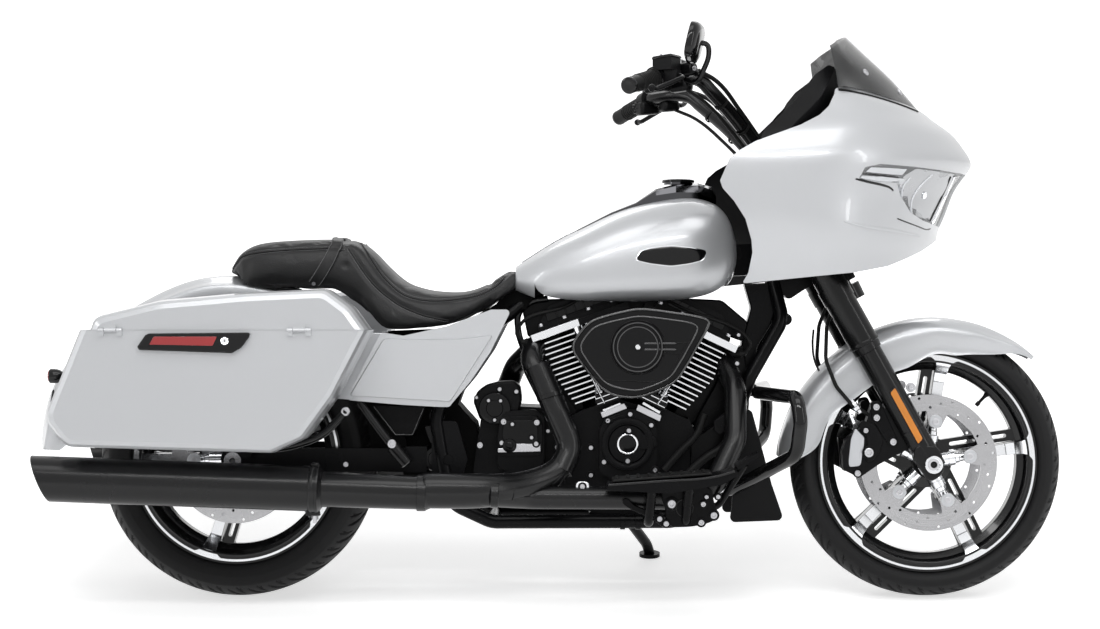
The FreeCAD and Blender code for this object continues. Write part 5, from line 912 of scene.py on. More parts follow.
def make_gearbox():
    face = -0.1242
    rim = [(500, 417), (537, 415), (543, 424), (543, 447), (541, 456), (500, 456), (497, 440)]
    plate_between("gear_cover_rim", rounded(rim, 3), face - 0.0032, 0.006, "engine", 0.0016)
    inner = [(504, 421), (533, 420), (538, 427), (538, 441), (534, 444), (505, 443), (502, 436)]
    plate_between("gear_cover_panel", rounded(inner, 3), face - 0.0064, 0.006, "engine_smooth")
    strip = [(497.6, 448.4), (511, 447.8), (516, 443.6), (540.5, 443.0), (541, 451.6), (497.8, 452.6)]
    plate_between("gear_cover_gasket", rounded(strip, 1.2), face - 0.005, 0.005, "steel", 0.0016,
                  slot="cast_aluminium")
    plug = photo(509.5, 445.5, face - 0.003)
    lathe("filler_plug", mm(0, 16.5, 4, 16.5, 6, 15, 7, 9, 10, 8.5, 11, 7, 11, 0), plug, OUT_RIGHT,
          "engine_smooth", steps=40)
    box = [(498, 456.5), (538, 456.0), (543.5, 461), (543, 466.5), (539, 470), (500, 470), (496.5, 464)]
    plate_between("gear_sump_cover", rounded(box, 3.5), face + 0.004, 0.03, "engine", 0.005, 4)
    ribs = bmesh.new()
    rib = ((-0.0016, 0, -0.013), (0.0016, 0, -0.013), (0.0016, 0, 0.013), (-0.0016, 0, 0.013))
    for k in range(4):
        place = photo(506 + 9 * k, 463.5, face + 0.002)
        slab_into(ribs, [place + Vector(c) for c in rib], (0, 0.006, 0))
    bevelled(from_mesh("gear_sump_ribs", ribs, "engine"), 0.0006, 2)
    screw_group("gearbox", [(503.6, 421.7, face - 0.0032, 0.0068), (536.8, 422.4, face - 0.0032, 0.007),
                            (512.4, 424.2, face - 0.0064, 0.0044), (531.6, 437.5, face - 0.0064, 0.0044),
                            (536.2, 443.8, face - 0.005, 0.0056), (501.6, 442.8, face - 0.0032, 0.0052),
                            (557.2, 447.3, -0.096, 0.0056), (552.2, 463.7, -0.096, 0.0044),
                            (548, 431, -0.096, 0.0044), (490, 420, -0.096, 0.0044)])
    # starter's end cap
    at = Vector((0.607, -0.118, 0.448))
    lathe("starter_cap", mm(-4, 36.6, 0, 37, 4, 35.5, 5.5, 30, 5, 20, 7.5, 18.5, 8, 0), at, OUT_RIGHT,
          "engine_smooth", steps=56)
    screw_group("starter", [(488.5, 400.6, -0.1225, 0.004), (500.6, 400.8, -0.1225, 0.004),
                            (494.6, 420.0, -0.1225, 0.004)])


def make_exhaust():
    way = Vector((1, 0, -0.037)).normalized()
    for side, word in SIDES:
        at = Vector((-0.43, side * 0.318, 0.3005))
        shell = bmesh.new()
        lathe_into(shell, mm(629, 51.1, 630, 53, 632, 54.8, 635, 55.2, 638, 54.5, 639.5, 52.5, 641, 52,
                             642.5, 52.8, 644, 54.6, 647, 55, 650, 54, 652, 50, 658, 41.8), at, way, 96)
        lathe_into(shell, mm(870, 40, 871, 41.8, 890, 41.2, 891, 39.2, 908, 31), at, way, 72)
        from_mesh(f"muffler_collar_{word}", shell, "exhaust", sharp=40)
        boss = bmesh.new()
        top = at + way * 0.641 + Vector((0, 0, 0.05))
        lathe_into(boss, mm(0, 10.5, 6, 10.5, 8.5, 9, 9.5, 0), top, UP, 28)
        low = at + way * 0.637 - Vector((0, 0, 0.052))
        lug = ((-0.016, -0.01, -0.008), (0.016, -0.01, -0.008), (0.013, -0.01, 0.006),
               (-0.013, -0.01, 0.006))
        slab_into(boss, [low + Vector(c) for c in lug], (0, 0.02, 0))
        bevelled(from_mesh(f"muffler_lugs_{word}", boss, "exhaust"), 0.0014, 2)
        nut = bmesh.new()
        nut_at = low + Vector((0.004, 0, -0.017))
        lathe_into(nut, mm(0, 0, 0, 7.8, 8.5, 7.8, 8.5, 0), nut_at, UP, 6)
        lathe_into(nut, mm(-8, 0, -8, 4.2, 0, 4.2), nut_at, UP, 20)
        from_mesh(f"muffler_nut_{word}", nut, "steel", sharp=25)
        lathe(f"exhaust_clamp_{word}", mm(0, 27.6, 1.2, 29.2, 17, 29.2, 18.2, 27.6),
              Vector((0.604, side * 0.3136, 0.2633)), way, "exhaust", steps=60)
        bolt = bmesh.new()
        bolt_into(bolt, Vector((0.612, side * 0.3136, 0.2935)), UP, 0.0062, 0.006)
        from_mesh(f"clamp_bolt_{word}", bolt, "steel")
    # pressed shield that widens round the rear header down to the muffler
    rows = []
    line = [(566.5, 432, -0.1815, 0.0276), (570.5, 446, -0.184, 0.028), (567, 460, -0.1905, 0.0285),
            (557, 471.5, -0.2035, 0.0287), (543, 479, -0.222, 0.0292), (527, 484.4, -0.242, 0.031),
            (510, 488.6, -0.267, 0.035), (495, 490.2, -0.293, 0.0382), (474, 491, -0.313, 0.0396),
            (448, 490.8, -0.318, 0.0402), (424, 490.5, -0.318, 0.0404), (423, 490.5, -0.318, 0.038)]
    places = [photo(u, v, y) for u, v, y, radius in line]
    for i, (place, (_, _, _, radius)) in enumerate(zip(places, line)):
        along = (places[min(i + 1, len(places) - 1)] - places[max(i - 1, 0)]).normalized()
        if i >= len(line) - 2:
            along = (places[-2] - places[-4]).normalized()
        aside = along.cross(Vector((0, 1, 0))).normalized()
        upward = aside.cross(along)
        rows.append([place + aside * radius * math.cos(a) + upward * radius * math.sin(a)
                     for a in (2 * math.pi * k / 56 for k in range(57))])
    cover = grid_piece("collector_shield", rows, "exhaust", sharp=60)
    smoother = cover.modifiers.new("smooth", "SUBSURF")
    smoother.levels = smoother.render_levels = 1
    # clamps round the rear header and its shield
    clamps = bmesh.new()
    lathe_into(clamps, mm(-5, 28.2, -4.5, 29.8, 4.5, 29.8, 5, 28.2), photo(549.5, 396, -0.178),
               Vector((0.3, -0.12, -1.0)), 60)
    lathe_into(clamps, mm(-2, 37, -1.6, 39.2, 1.6, 39.2, 2, 37), photo(505, 489.6, -0.272),
               Vector((-1.0, -0.7, 0.0)), 72)
    from_mesh("header_clamps", clamps, "exhaust", sharp=35)


def make_underside():
    # bracket by the footboard
    bracket = [(575.8, 492), (575.8, 484), (578.5, 481.6), (586.5, 481.6), (589.2, 484), (589.2, 492)]
    plate_between("pipe_bracket", rounded(bracket, 2.5), -0.24, 0.01, "machined", 0.001, 2, slot="steel")
    screw_group("pipe_bracket", [(582.4, 486.6, -0.2402, 0.006)])
    # footboards: a rubber tread with ribs, and a round rim
    low, high = Vector((0.868, 0, 0.2925)), Vector((1.1, 0, 0.3098))
    slope = high - low
    for side, word in SIDES:
        y_in, y_out = side * 0.262, side * 0.366
        y_low, across_board = min(y_in, y_out), abs(y_out - y_in)
        corners = [low + slope * t + Vector((0, 0, h))
                   for t, h in ((0.03, 0.0012), (0.99, 0.0012), (0.98, 0.0072), (0.04, 0.0072))]
        slab(f"board_rubber_{word}", [(c.x, y_low, c.z) for c in corners], (0, across_board, 0), "rubber",
             0.0022, 3)
        ribs = bmesh.new()
        for k in range(9):
            t = 0.08 + 0.105 * k
            base = low + slope * t + Vector((0, 0, 0.007))
            slab_into(ribs, [(base.x + dx, y_low + 0.01, base.z + dz)
                             for dx, dz in ((-0.004, 0), (0.004, 0), (0.0032, 0.003), (-0.0032, 0.003))],
                      (0, across_board - 0.02, 0))
        bevelled(from_mesh(f"board_ribs_{word}", ribs, "rubber"), 0.0008, 2)
        rim = ((0.866, 0.289), (0.98, 0.2975), (1.1, 0.307), (1.146, 0.3195))
        pipe(f"board_rim_{word}", [(x, side * 0.3715, z) for x, z in rim], 0.0032, "gloss", resolution=4)
    # brake pedal's pivot casting
    casting = [(661.8, 489.5), (672, 489), (690, 486.5), (706, 486), (712.5, 490), (713.5, 500), (718, 512),
               (714, 521), (703, 525), (690, 527), (672, 527.5), (666, 520), (665, 508), (661.5, 498)]
    plate_between("pedal_casting", rounded(casting, 3.5), -0.262, 0.016, "satin", 0.0022)
    hole = photo(684.5, 508, -0.2622)
    lathe("pedal_pivot_recess", mm(0, 21.5, 1.6, 20.5, 1.6, 18.5, -6, 17.5, -6, 0), hole, OUT_RIGHT,
          "gloss", steps=40, slot="black_metal")
    screw_group("pedal", [(671.6, 503.8, -0.2622, 0.01), (690.4, 498.3, -0.2622, 0.0048),
                          (706.5, 497.0, -0.2622, 0.0048), (718.0, 496.7, -0.261, 0.0052),
                          (703.2, 504.2, -0.2622, 0.0062), (713.7, 515.2, -0.2622, 0.0078),
                          (701.2, 522.4, -0.2622, 0.0068), (659.6, 518.8, -0.266, 0.0062),
                          (666.2, 523.6, -0.266, 0.0062)], seats="satin")
    link = [(622.5, 498.5), (628, 498.0), (634, 505), (656, 513.5), (668, 520), (669.5, 526), (663, 527.5),
            (652, 519), (629, 508.5), (622.8, 504.5)]
    plate_between("board_bracket", rounded(link, 2.5), -0.266, 0.014, "satin", 0.0018)
    pipe("brake_rod", [photo(712, 486.5, -0.19), photo(716, 492, -0.19), photo(728, 488, -0.18),
                       photo(741, 485, -0.16)], 0.003, "steel", resolution=3)
    # lower rail clamps
    rings = bmesh.new()
    for u in (622.5, 638.0):
        centre = photo(u, 522.3, -0.125)
        lathe_into(rings, mm(-6, 16, -5.5, 18.2, 5.5, 18.2, 6, 16), Vector((centre.x, -0.125, 0.185)),
                   (1, 0, 0), 40)
    from_mesh("rail_clamps", rings, "satin", sharp=35)
    # hoses and the regulator in front of the crankcase
    hoses = ([[(733, 424), (730.5, 436), (722, 447), (707, 457), (692, 470), (683, 481)], 0.0095],
             [[(705, 414), (697, 434), (680, 452), (664, 470)], 0.008],
             [[(741, 396), (737, 412), (729, 424)], 0.0055])
    for index, (line, radius) in enumerate(hoses):
        pipe(f"engine_hose_{index}", [photo(u, v, -0.12) for u, v in line], radius, "rubber")
    block = [(714, 421), (728, 411.5), (736.5, 415.5), (733, 425), (719.5, 435), (714.5, 431)]
    plate_between("regulator", rounded(block, 1.8), -0.15, 0.034, "satin", 0.0016, 2)
    fins = bmesh.new()
    for k in range(6):
        a = photo(716.5 + 2.2 * k, 422.0 - 1.5 * k, -0.156)
        b = photo(721.5 + 2.2 * k, 431.5 - 1.5 * k, -0.156)
        side = (b - a).cross(Vector((0, 1, 0))).normalized() * 0.0009
        slab_into(fins, [a - side, a + side, b + side, b - side], (0, 0.007, 0))
    from_mesh("regulator_fins", fins, "satin")
    screw_group("regulator", [(728.8, 428.2, -0.15, 0.005), (734.2, 414.8, -0.15, 0.0038),
                              (738.5, 335.0, -0.11, 0.0042), (737.0, 363.5, -0.11, 0.005)])


# Saddle: foam swollen inside its cover, then sewn channels, welts, stitching and the passenger strap

# Each station's x, top, underside and half width, in millimetres
SADDLE = [(-24, 762, 738, 66), (-8, 790, 733, 98), (18, 816, 731, 124), (60, 832, 731, 141),
          (140, 839, 732, 150), (230, 841, 732, 152), (284, 836, 700, 153), (318, 812, 664, 156),
          (350, 778, 634, 160), (390, 744, 629, 165), (430, 728, 631, 170), (480, 719, 636, 172),
          (540, 719, 654, 166), (590, 736, 684, 144), (630, 763, 714, 116), (652, 778, 733, 98)]
# Right half of the cross section, each corner as shares of the half width and of the height
SADDLE_SECTION = [(0.93, 0.0), (0.985, 0.16), (1.0, 0.42), (0.955, 0.7), (0.83, 0.9), (0.56, 0.985),
                  (0.28, 1.0)]
FENDER_CLEAR, FENDER_HALF = 0.4325, 0.11
PAN_TOP = 0.672
STRAP_HALF = 0.0145
# Seams as the photograph shows them, in pixels
SADDLE_SEAMS = {"pillion": [(229.5, 277.5), (231.0, 271.5), (235.4, 264.7), (240.0, 258.6), (246.0, 255.2),
                            (262, 252.2), (280, 250.6), (297, 249.5), (325, 248.3), (347, 248.0)],
                "flank": [(348.7, 248.4), (352.5, 254.5), (357.9, 262.7), (364, 272), (370.1, 280),
                          (377, 287.6), (384.4, 294.3), (398.7, 304.5), (409, 309.6), (419.1, 313.7),
                          (429, 316.6), (439.5, 318.8), (450.5, 320.6)],
                "edge": [(360.3, 241.6), (366, 250.4), (371, 258.8), (376.2, 266.8), (382, 275),
                         (388.5, 282.1), (398.7, 291.3), (410.9, 297.4), (431.3, 300.7), (455.8, 299.4),
                         (478.3, 295.3), (494.6, 287.2), (502, 280), (508.9, 271.9)]}


def smooth_row(rows, t):
    """A value row at the place t, from 0 to len(rows) - 1, on a smooth line through rows."""
    i = min(int(t), len(rows) - 2)
    f = t - i
    a, b, c, d = (Vector(rows[min(max(i + k, 0), len(rows) - 1)]) for k in (-1, 0, 1, 2))
    return 0.5 * (2 * b + (c - a) * f + (2 * a - 5 * b + 4 * c - d) * f * f + (3 * b - a - 3 * c + d)
                  * f ** 3)


def saddle_shell(inset):
    """The foam's closed form, inset from the cover's outside."""
    bm = bmesh.new()
    rings = []
    half_steps = 26
    for i in range(112):
        row = smooth_row([Vector(r) for r in SADDLE], (len(SADDLE) - 1) * i / 111)
        x, top, bottom, half = (value / 1000 for value in row)
        top, half = top - inset, half - inset
        ring = []
        outline = [Vector((*smooth_row([Vector(p) for p in SADDLE_SECTION], 6 * k / half_steps), 0))
                   for k in range(half_steps + 1)]
        for part in outline:
            ring.append((-part.x * half, bottom + part.y * (top - bottom)))
        for part in reversed(outline):
            ring.append((part.x * half, bottom + part.y * (top - bottom)))
        for k in range(1, 30):
            ring.append((outline[0].x * half * (1 - k / 15), bottom))
        points = []
        for y, z in ring:
            place = Vector((x, y, z))
            reach = Vector((place.x, 0, place.z - REAR_RADIUS))
            if reach.length < FENDER_CLEAR and abs(y) < FENDER_HALF:
                reach = reach.normalized() * FENDER_CLEAR
                place = Vector((reach.x, y, reach.z + REAR_RADIUS))
            if 0.303 < place.x < 0.637 and abs(y) < 0.127:
                place.z = max(place.z, PAN_TOP)
            points.append(bm.verts.new(place))
        rings.append(points)
    skin_rings(bm, rings)
    bm.faces.new(rings[0][::-1])
    bm.faces.new(rings[-1])
    bmesh.ops.recalc_face_normals(bm, faces=bm.faces)
    return mesh_of("foam", bm)


def swollen(data, voxel, pressure, cap, free):
    """The mesh remeshed and blown up a little under cloth pressure.

    Only places where free(place) is true may move, and by no more than cap.
    """
    item = bpy.data.objects.new("foam", data)
    bpy.context.scene.collection.objects.link(item)
    remesh = item.modifiers.new("even", "REMESH")
    remesh.mode = "VOXEL"
    remesh.voxel_size = voxel
    even = bpy.data.meshes.new_from_object(item.evaluated_get(bpy.context.evaluated_depsgraph_get()))
    item.modifiers.clear()
    item.data = even
    rest = [v.co.copy() for v in even.vertices]
    pins = item.vertex_groups.new(name="held")
    pins.add([i for i, co in enumerate(rest) if not free(co)], 1.0, "REPLACE")
    cloth = item.modifiers.new("cover", "CLOTH")
    cloth.settings.vertex_group_mass = "held"
    cloth.settings.use_pressure = True
    cloth.settings.uniform_pressure_force = pressure
    cloth.settings.effector_weights.gravity = 0
    cloth.settings.quality = 4
    cloth.point_cache.frame_start = 1
    cloth.point_cache.frame_end = 20
    for number in range(1, 21):
        bpy.context.scene.frame_set(number)
    blown = bpy.data.meshes.new_from_object(item.evaluated_get(bpy.context.evaluated_depsgraph_get()))
    for vert, start in zip(blown.vertices, rest):
        step = vert.co - start
        if step.length > cap:
            vert.co = start + step.normalized() * cap
    item.modifiers.clear()
    item.data = blown
    bpy.context.scene.frame_set(1)
    item.modifiers.new("smooth", "SUBSURF").levels = 1
    made = bpy.data.meshes.new_from_object(item.evaluated_get(bpy.context.evaluated_depsgraph_get()))
    bpy.data.objects.remove(item)
    return made


def seen_spots(tree, pixels, spare=0.0):
    """Where rays through photograph pixels meet the mesh, with the outward direction there."""
    spots = []
    for u, v in pixels:
        way = (photo(u, v, 0) - CAMERA_AT).normalized()
        place, normal, _, _ = tree.ray_cast(CAMERA_AT, way)
        if place is not None:
            if normal.dot(way) > 0:
                normal = -normal
            spots.append((place + normal * spare, normal))
    return spots


def walk(pixels, step):
    """Pixels at even distances along a smooth line through the given ones."""
    fine = [smooth_row([Vector(p) for p in pixels], (len(pixels) - 1) * i / 600) for i in range(601)]
    made, gone = [fine[0]], 0.0
    for a, b in zip(fine, fine[1:]):
        gone += (b - a).length
        if gone >= step:
            made.append(b)
            gone = 0.0
    return made


def stitches_into(bm, spots, side, offset, length=0.0034, radius=0.00055):
    """A row of stitches beside a seam, mirrored to the given side."""
    for (a, normal), (b, _) in zip(spots, spots[1:]):
        along = (b - a).normalized()
        out = along.cross(normal).normalized() * offset
        middle = (a + b) / 2 + out + normal * 0.0002
        flip = Vector((1, side, 1))
        lathe_into(bm, [(-length / 2, 0.0), (-length * 0.38, radius), (0, radius * 1.25),
                        (length * 0.38, radius), (length / 2, 0.0)], Vector(middle * flip),
                   Vector(along * flip), 6)


def make_saddle():
    data = swollen(saddle_shell(inset=0.0035), voxel=0.0055, pressure=4.0, cap=0.0055,
                   free=lambda co: co.z > 0.7 or abs(co.y) > 0.12)
    tree = BVHTree.FromPolygons([v.co.copy() for v in data.vertices],
                                [tuple(p.vertices) for p in data.polygons])
    lines = {name: seen_spots(tree, walk(pixels, 1.4)) for name, pixels in SADDLE_SEAMS.items()}
    # sewn channels
    marks = []
    for spots in lines.values():
        for place, _ in spots:
            marks += [place, Vector((place.x, -place.y, place.z))]
    for x_at in (0.262, 0.596):
        for i in range(41):
            start = Vector((x_at, -0.15 + 0.3 * i / 40, 1.2))
            place, _, _, _ = tree.ray_cast(start, Vector((0, 0, -1)))
            if place is not None and (x_at < 0.4 or abs(place.y) < 0.11):
                marks.append(place)
    near = KDTree(len(marks))
    for i, place in enumerate(marks):
        near.insert(place, i)
    near.balance()
    reach, depth = 0.013, 0.0034
    bm = bmesh.new()
    bm.from_mesh(data)
    bm.normal_update()
    moves = {}
    for vert in bm.verts:
        _, _, distance = near.find(vert.co)
        if distance < reach:
            share = 1 - (distance / reach) ** 2
            moves[vert] = vert.co - vert.normal * depth * share * share
    for vert, place in moves.items():
        vert.co = place
    piece = from_mesh("saddle_cover", bm, "leather", sharp=70)
    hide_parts("seat")
    tree = BVHTree.FromPolygons([v.co.copy() for v in piece.data.vertices],
                                [tuple(p.vertices) for p in piece.data.polygons])
    sewn = bmesh.new()
    for name, pixels in SADDLE_SEAMS.items():
        spots = seen_spots(tree, walk(pixels, 1.9), 0.0004)
        for side in (1, -1):
            stitches_into(sewn, spots, side, 0.0042)
            if name != "flank":
                stitches_into(sewn, spots, side, -0.0042)
        for side, word in SIDES:
            flip = Vector((1, -side, 1))
            pipe(f"welt_{name}_{word}", [Vector(place * flip) for place, _ in spots[::4]], 0.0017,
                 "leather", resolution=3)
    from_mesh("saddle_stitching", sewn, "thread", sharp=60)
    # strap over the passenger pad, a flat band with turned edges and two rows of stitches
    rear = seen_spots(tree, walk([(338.5, 240), (336.0, 246), (331.5, 256), (325, 267), (318.5, 277),
                                  (313.5, 283.5)], 0.8), 0.0035)
    crown = []
    top_x = rear[0][0].x + 0.004
    for i in range(1, 30):
        y = rear[0][0].y * (1 - 2 * i / 30)
        place, _, _, _ = tree.ray_cast(Vector((top_x, y, 1.2)), Vector((0, 0, -1)))
        crown.append(place + Vector((0, 0, 0.0035)))
    path = [p for p, _ in reversed(rear)] + crown + [Vector((p.x, -p.y, p.z)) for p, _ in rear]
    rows, stitches = [], bmesh.new()
    for i, place in enumerate(path):
        before, after = path[max(i - 1, 0)], path[min(i + 1, len(path) - 1)]
        along = (after - before).normalized()
        _, normal, _, _ = tree.find_nearest(place)
        if normal.dot(place - Vector((place.x, 0, 0.7))) < 0:
            normal = -normal
        across_band = along.cross(normal).normalized()
        if across_band.x < 0:
            across_band = -across_band
        row = []
        for a, h in ((-1.0, -0.004), (-1.0, 0.0012), (-0.86, 0.0026), (-0.5, 0.0016), (0.5, 0.0016),
                     (0.86, 0.0026), (1.0, 0.0012), (1.0, -0.004)):
            spot = place + across_band * STRAP_HALF * a
            near_place, _, _, _ = tree.find_nearest(spot)
            row.append(near_place + normal * (0.003 + h) if (near_place - spot).length < 0.02 else spot
                       + normal * h)
        rows.append(row)
    grid_piece("saddle_strap", rows, "leather", sharp=60)
    for col in (2, 5):
        line = [row[col] for row in rows]
        for a, b in zip(line, line[1:]):
            if (b - a).length > 1e-05:
                lathe_into(stitches, mm(-1.6, 0, -1.2, 0.5, 0, 0.7, 1.2, 0.5, 1.6, 0), (a + b) / 2, b - a,
                           6)
    from_mesh("strap_stitching", stitches, "thread", sharp=60)
    # screws at the strap's feet
    ends = bmesh.new()
    for side in (-1, 1):
        foot = Vector((path[0].x, side * (abs(path[0].y) + 0.001), path[0].z))
        bolt_into(ends, foot, (0, side, 0), 0.0048, 0.004)
    from_mesh("strap_screws", ends, "dark_steel")


# Saddlebags: latch bezels, reflectors and locks, and the guard tubes under them

def make_bags():
    for side, word in SIDES:
        def face(name, outline, depth_at, depth, material, bevel, slot=None, side=side, word=word):
            shape = [photo(u, v, -0.452) for u, v in outline]
            slab(f"{name}_{word}", [(p.x, side * depth_at, p.z) for p in shape], (0, -side * depth, 0),
                 material, bevel, 3, slot=slot)

        bezel = [(138.2, 347.5), (147.4, 333.4), (249.6, 332.4), (250.6, 335.0), (242, 347.4), (233, 352.4),
                 (139.5, 349.4)]
        face("latch_bezel", rounded(bezel, 3.5), 0.459, 0.004, "gloss", 0.0016, slot="black_plastic")
        reflector = [(154.2, 336.6), (217.4, 336.6), (213.2, 345.8), (149.8, 344.6)]
        face("bag_reflector", rounded(reflector, 1.2), 0.4612, 0.0035, "red", 0.001)
        lock = photo(225.2, 341.0, -0.452)
        lock.y = side * 0.4588
        lathe(f"bag_lock_{word}", mm(0, 8.6, 2.6, 8.4, 3.2, 7.2, 2.6, 6, 3, 5, 3, 0), lock, (0, side, 0),
              "chrome", steps=36)
        key = bmesh.new()
        slab_into(key, [lock + Vector((dx, side * 0.0031, dz))
                        for dx, dz in ((-0.0008, -0.003), (0.0008, -0.003), (0.0008, 0.003),
                                       (-0.0008, 0.003))], (0, side * 0.0003, 0))
        from_mesh(f"bag_key_slot_{word}", key, "gloss", sharp=35, slot="black_plastic")
    # guard tube under each bag, and screws near it
    for side, word in SIDES:
        def spot(u, v, y):
            place = photo(u, v, -y)
            return Vector((place.x, side * y, place.z))

        pipe(f"bag_guard_{word}", [spot(262, 448.8, 0.285), spot(278, 448.2, 0.285),
                                   spot(302, 443.2, 0.283), spot(322, 434.6, 0.276), spot(334, 424, 0.268),
                                   spot(345, 411.6, 0.258)], 0.009, "gloss", resolution=6)
        screws = bmesh.new()
        for u, v, y, radius in ((345.6, 411.4, 0.262, 0.01), (392, 443.7, 0.205, 0.0098),
                                (346, 464.2, 0.25, 0.0058)):
            bolt_into(screws, spot(u, v, y), (0, side, 0), radius, 0.007)
        from_mesh(f"bag_screws_{word}", screws, "steel")


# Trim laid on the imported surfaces

FLIP = Vector((1, -1, 1))


def node_surface(name):
    """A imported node's surface in the machine's frame."""
    item = frame["nodes"][name]
    turn = BIKE.inverted() @ item.matrix_world
    return BVHTree.FromPolygons([turn @ v.co for v in item.data.vertices],
                                [tuple(p.vertices) for p in item.data.polygons])


def flipped(rows, side):
    return [[Vector(p * FLIP) if side > 0 else p for p in row] for row in rows]


def patch(name, tree, outline, lift, material, wall=0.003, crown=0.0):
    """A thin moulding over the surface seen inside a photograph outline, on both sides of the machine."""
    count = len(outline)
    middle = sum(p[0] for p in outline) / count, sum(p[1] for p in outline) / count
    rows = []
    steps = ((1.0, lift - wall), (1.0, lift * 0.5), (0.985, lift), (0.9, lift + crown * 0.5),
             (0.72, lift + crown * 0.8), (0.48, lift + crown), (0.22, lift + crown), (0.02, lift + crown))
    for share, height in steps:
        spots = seen_spots(tree, [(middle[0] + (u - middle[0]) * share, middle[1] + (v - middle[1]) * share)
                                  for u, v in outline])
        if len(spots) == count:
            rows.append([place + normal * height for place, normal in spots])
    for side, word in SIDES:
        bm = bmesh.new()
        rings = [[bm.verts.new(p) for p in row] for row in flipped(rows, side)]
        skin_rings(bm, rings)
        bm.faces.new(rings[-1])
        from_mesh(f"{name}_{word}", bm, material, sharp=40)


def ribbon(name, tree, pixels, half, lift, material, taper=0.0):
    """A raised line over the surface, along photograph pixels, on both sides of the machine."""
    spots = seen_spots(tree, walk(pixels, 1.5))
    rows = []
    for i, (place, normal) in enumerate(spots):
        before, after = spots[max(i - 1, 0)][0], spots[min(i + 1, len(spots) - 1)][0]
        aside = (after - before).cross(normal).normalized()
        t = i / (len(spots) - 1)
        wide = half * (1 - taper + taper * math.sin(math.pi * t) ** 0.5)
        rows.append([place + aside * wide * a + normal * h
                     for a, h in ((-1, -0.002), (-0.92, lift * 0.7), (-0.7, lift), (0.7, lift),
                                  (0.92, lift * 0.7), (1, -0.002))])
    for side, word in SIDES:
        grid_piece(f"{name}_{word}", flipped(rows, side), material, sharp=40)


def screws_on(name, tree, pixels, radius):
    """Button screws with washers standing square on the surface, on both sides."""
    bm = bmesh.new()
    for place, normal in seen_spots(tree, pixels):
        for flip in (Vector((1, 1, 1)), FLIP):
            at, way = Vector(place * flip), Vector(normal * flip)
            lathe_into(bm, [(-0.001, radius * 1.5), (0.0008, radius * 1.5), (0.0012, radius * 1.3),
                            (0.0012, radius * 1.02), (0.0026, radius * 0.95), (0.0036, radius * 0.6),
                            (0.0036, radius * 0.42), (0.0018, radius * 0.4), (0.0018, 0.0)], at, way, 26)
    from_mesh(name, bm, "steel")


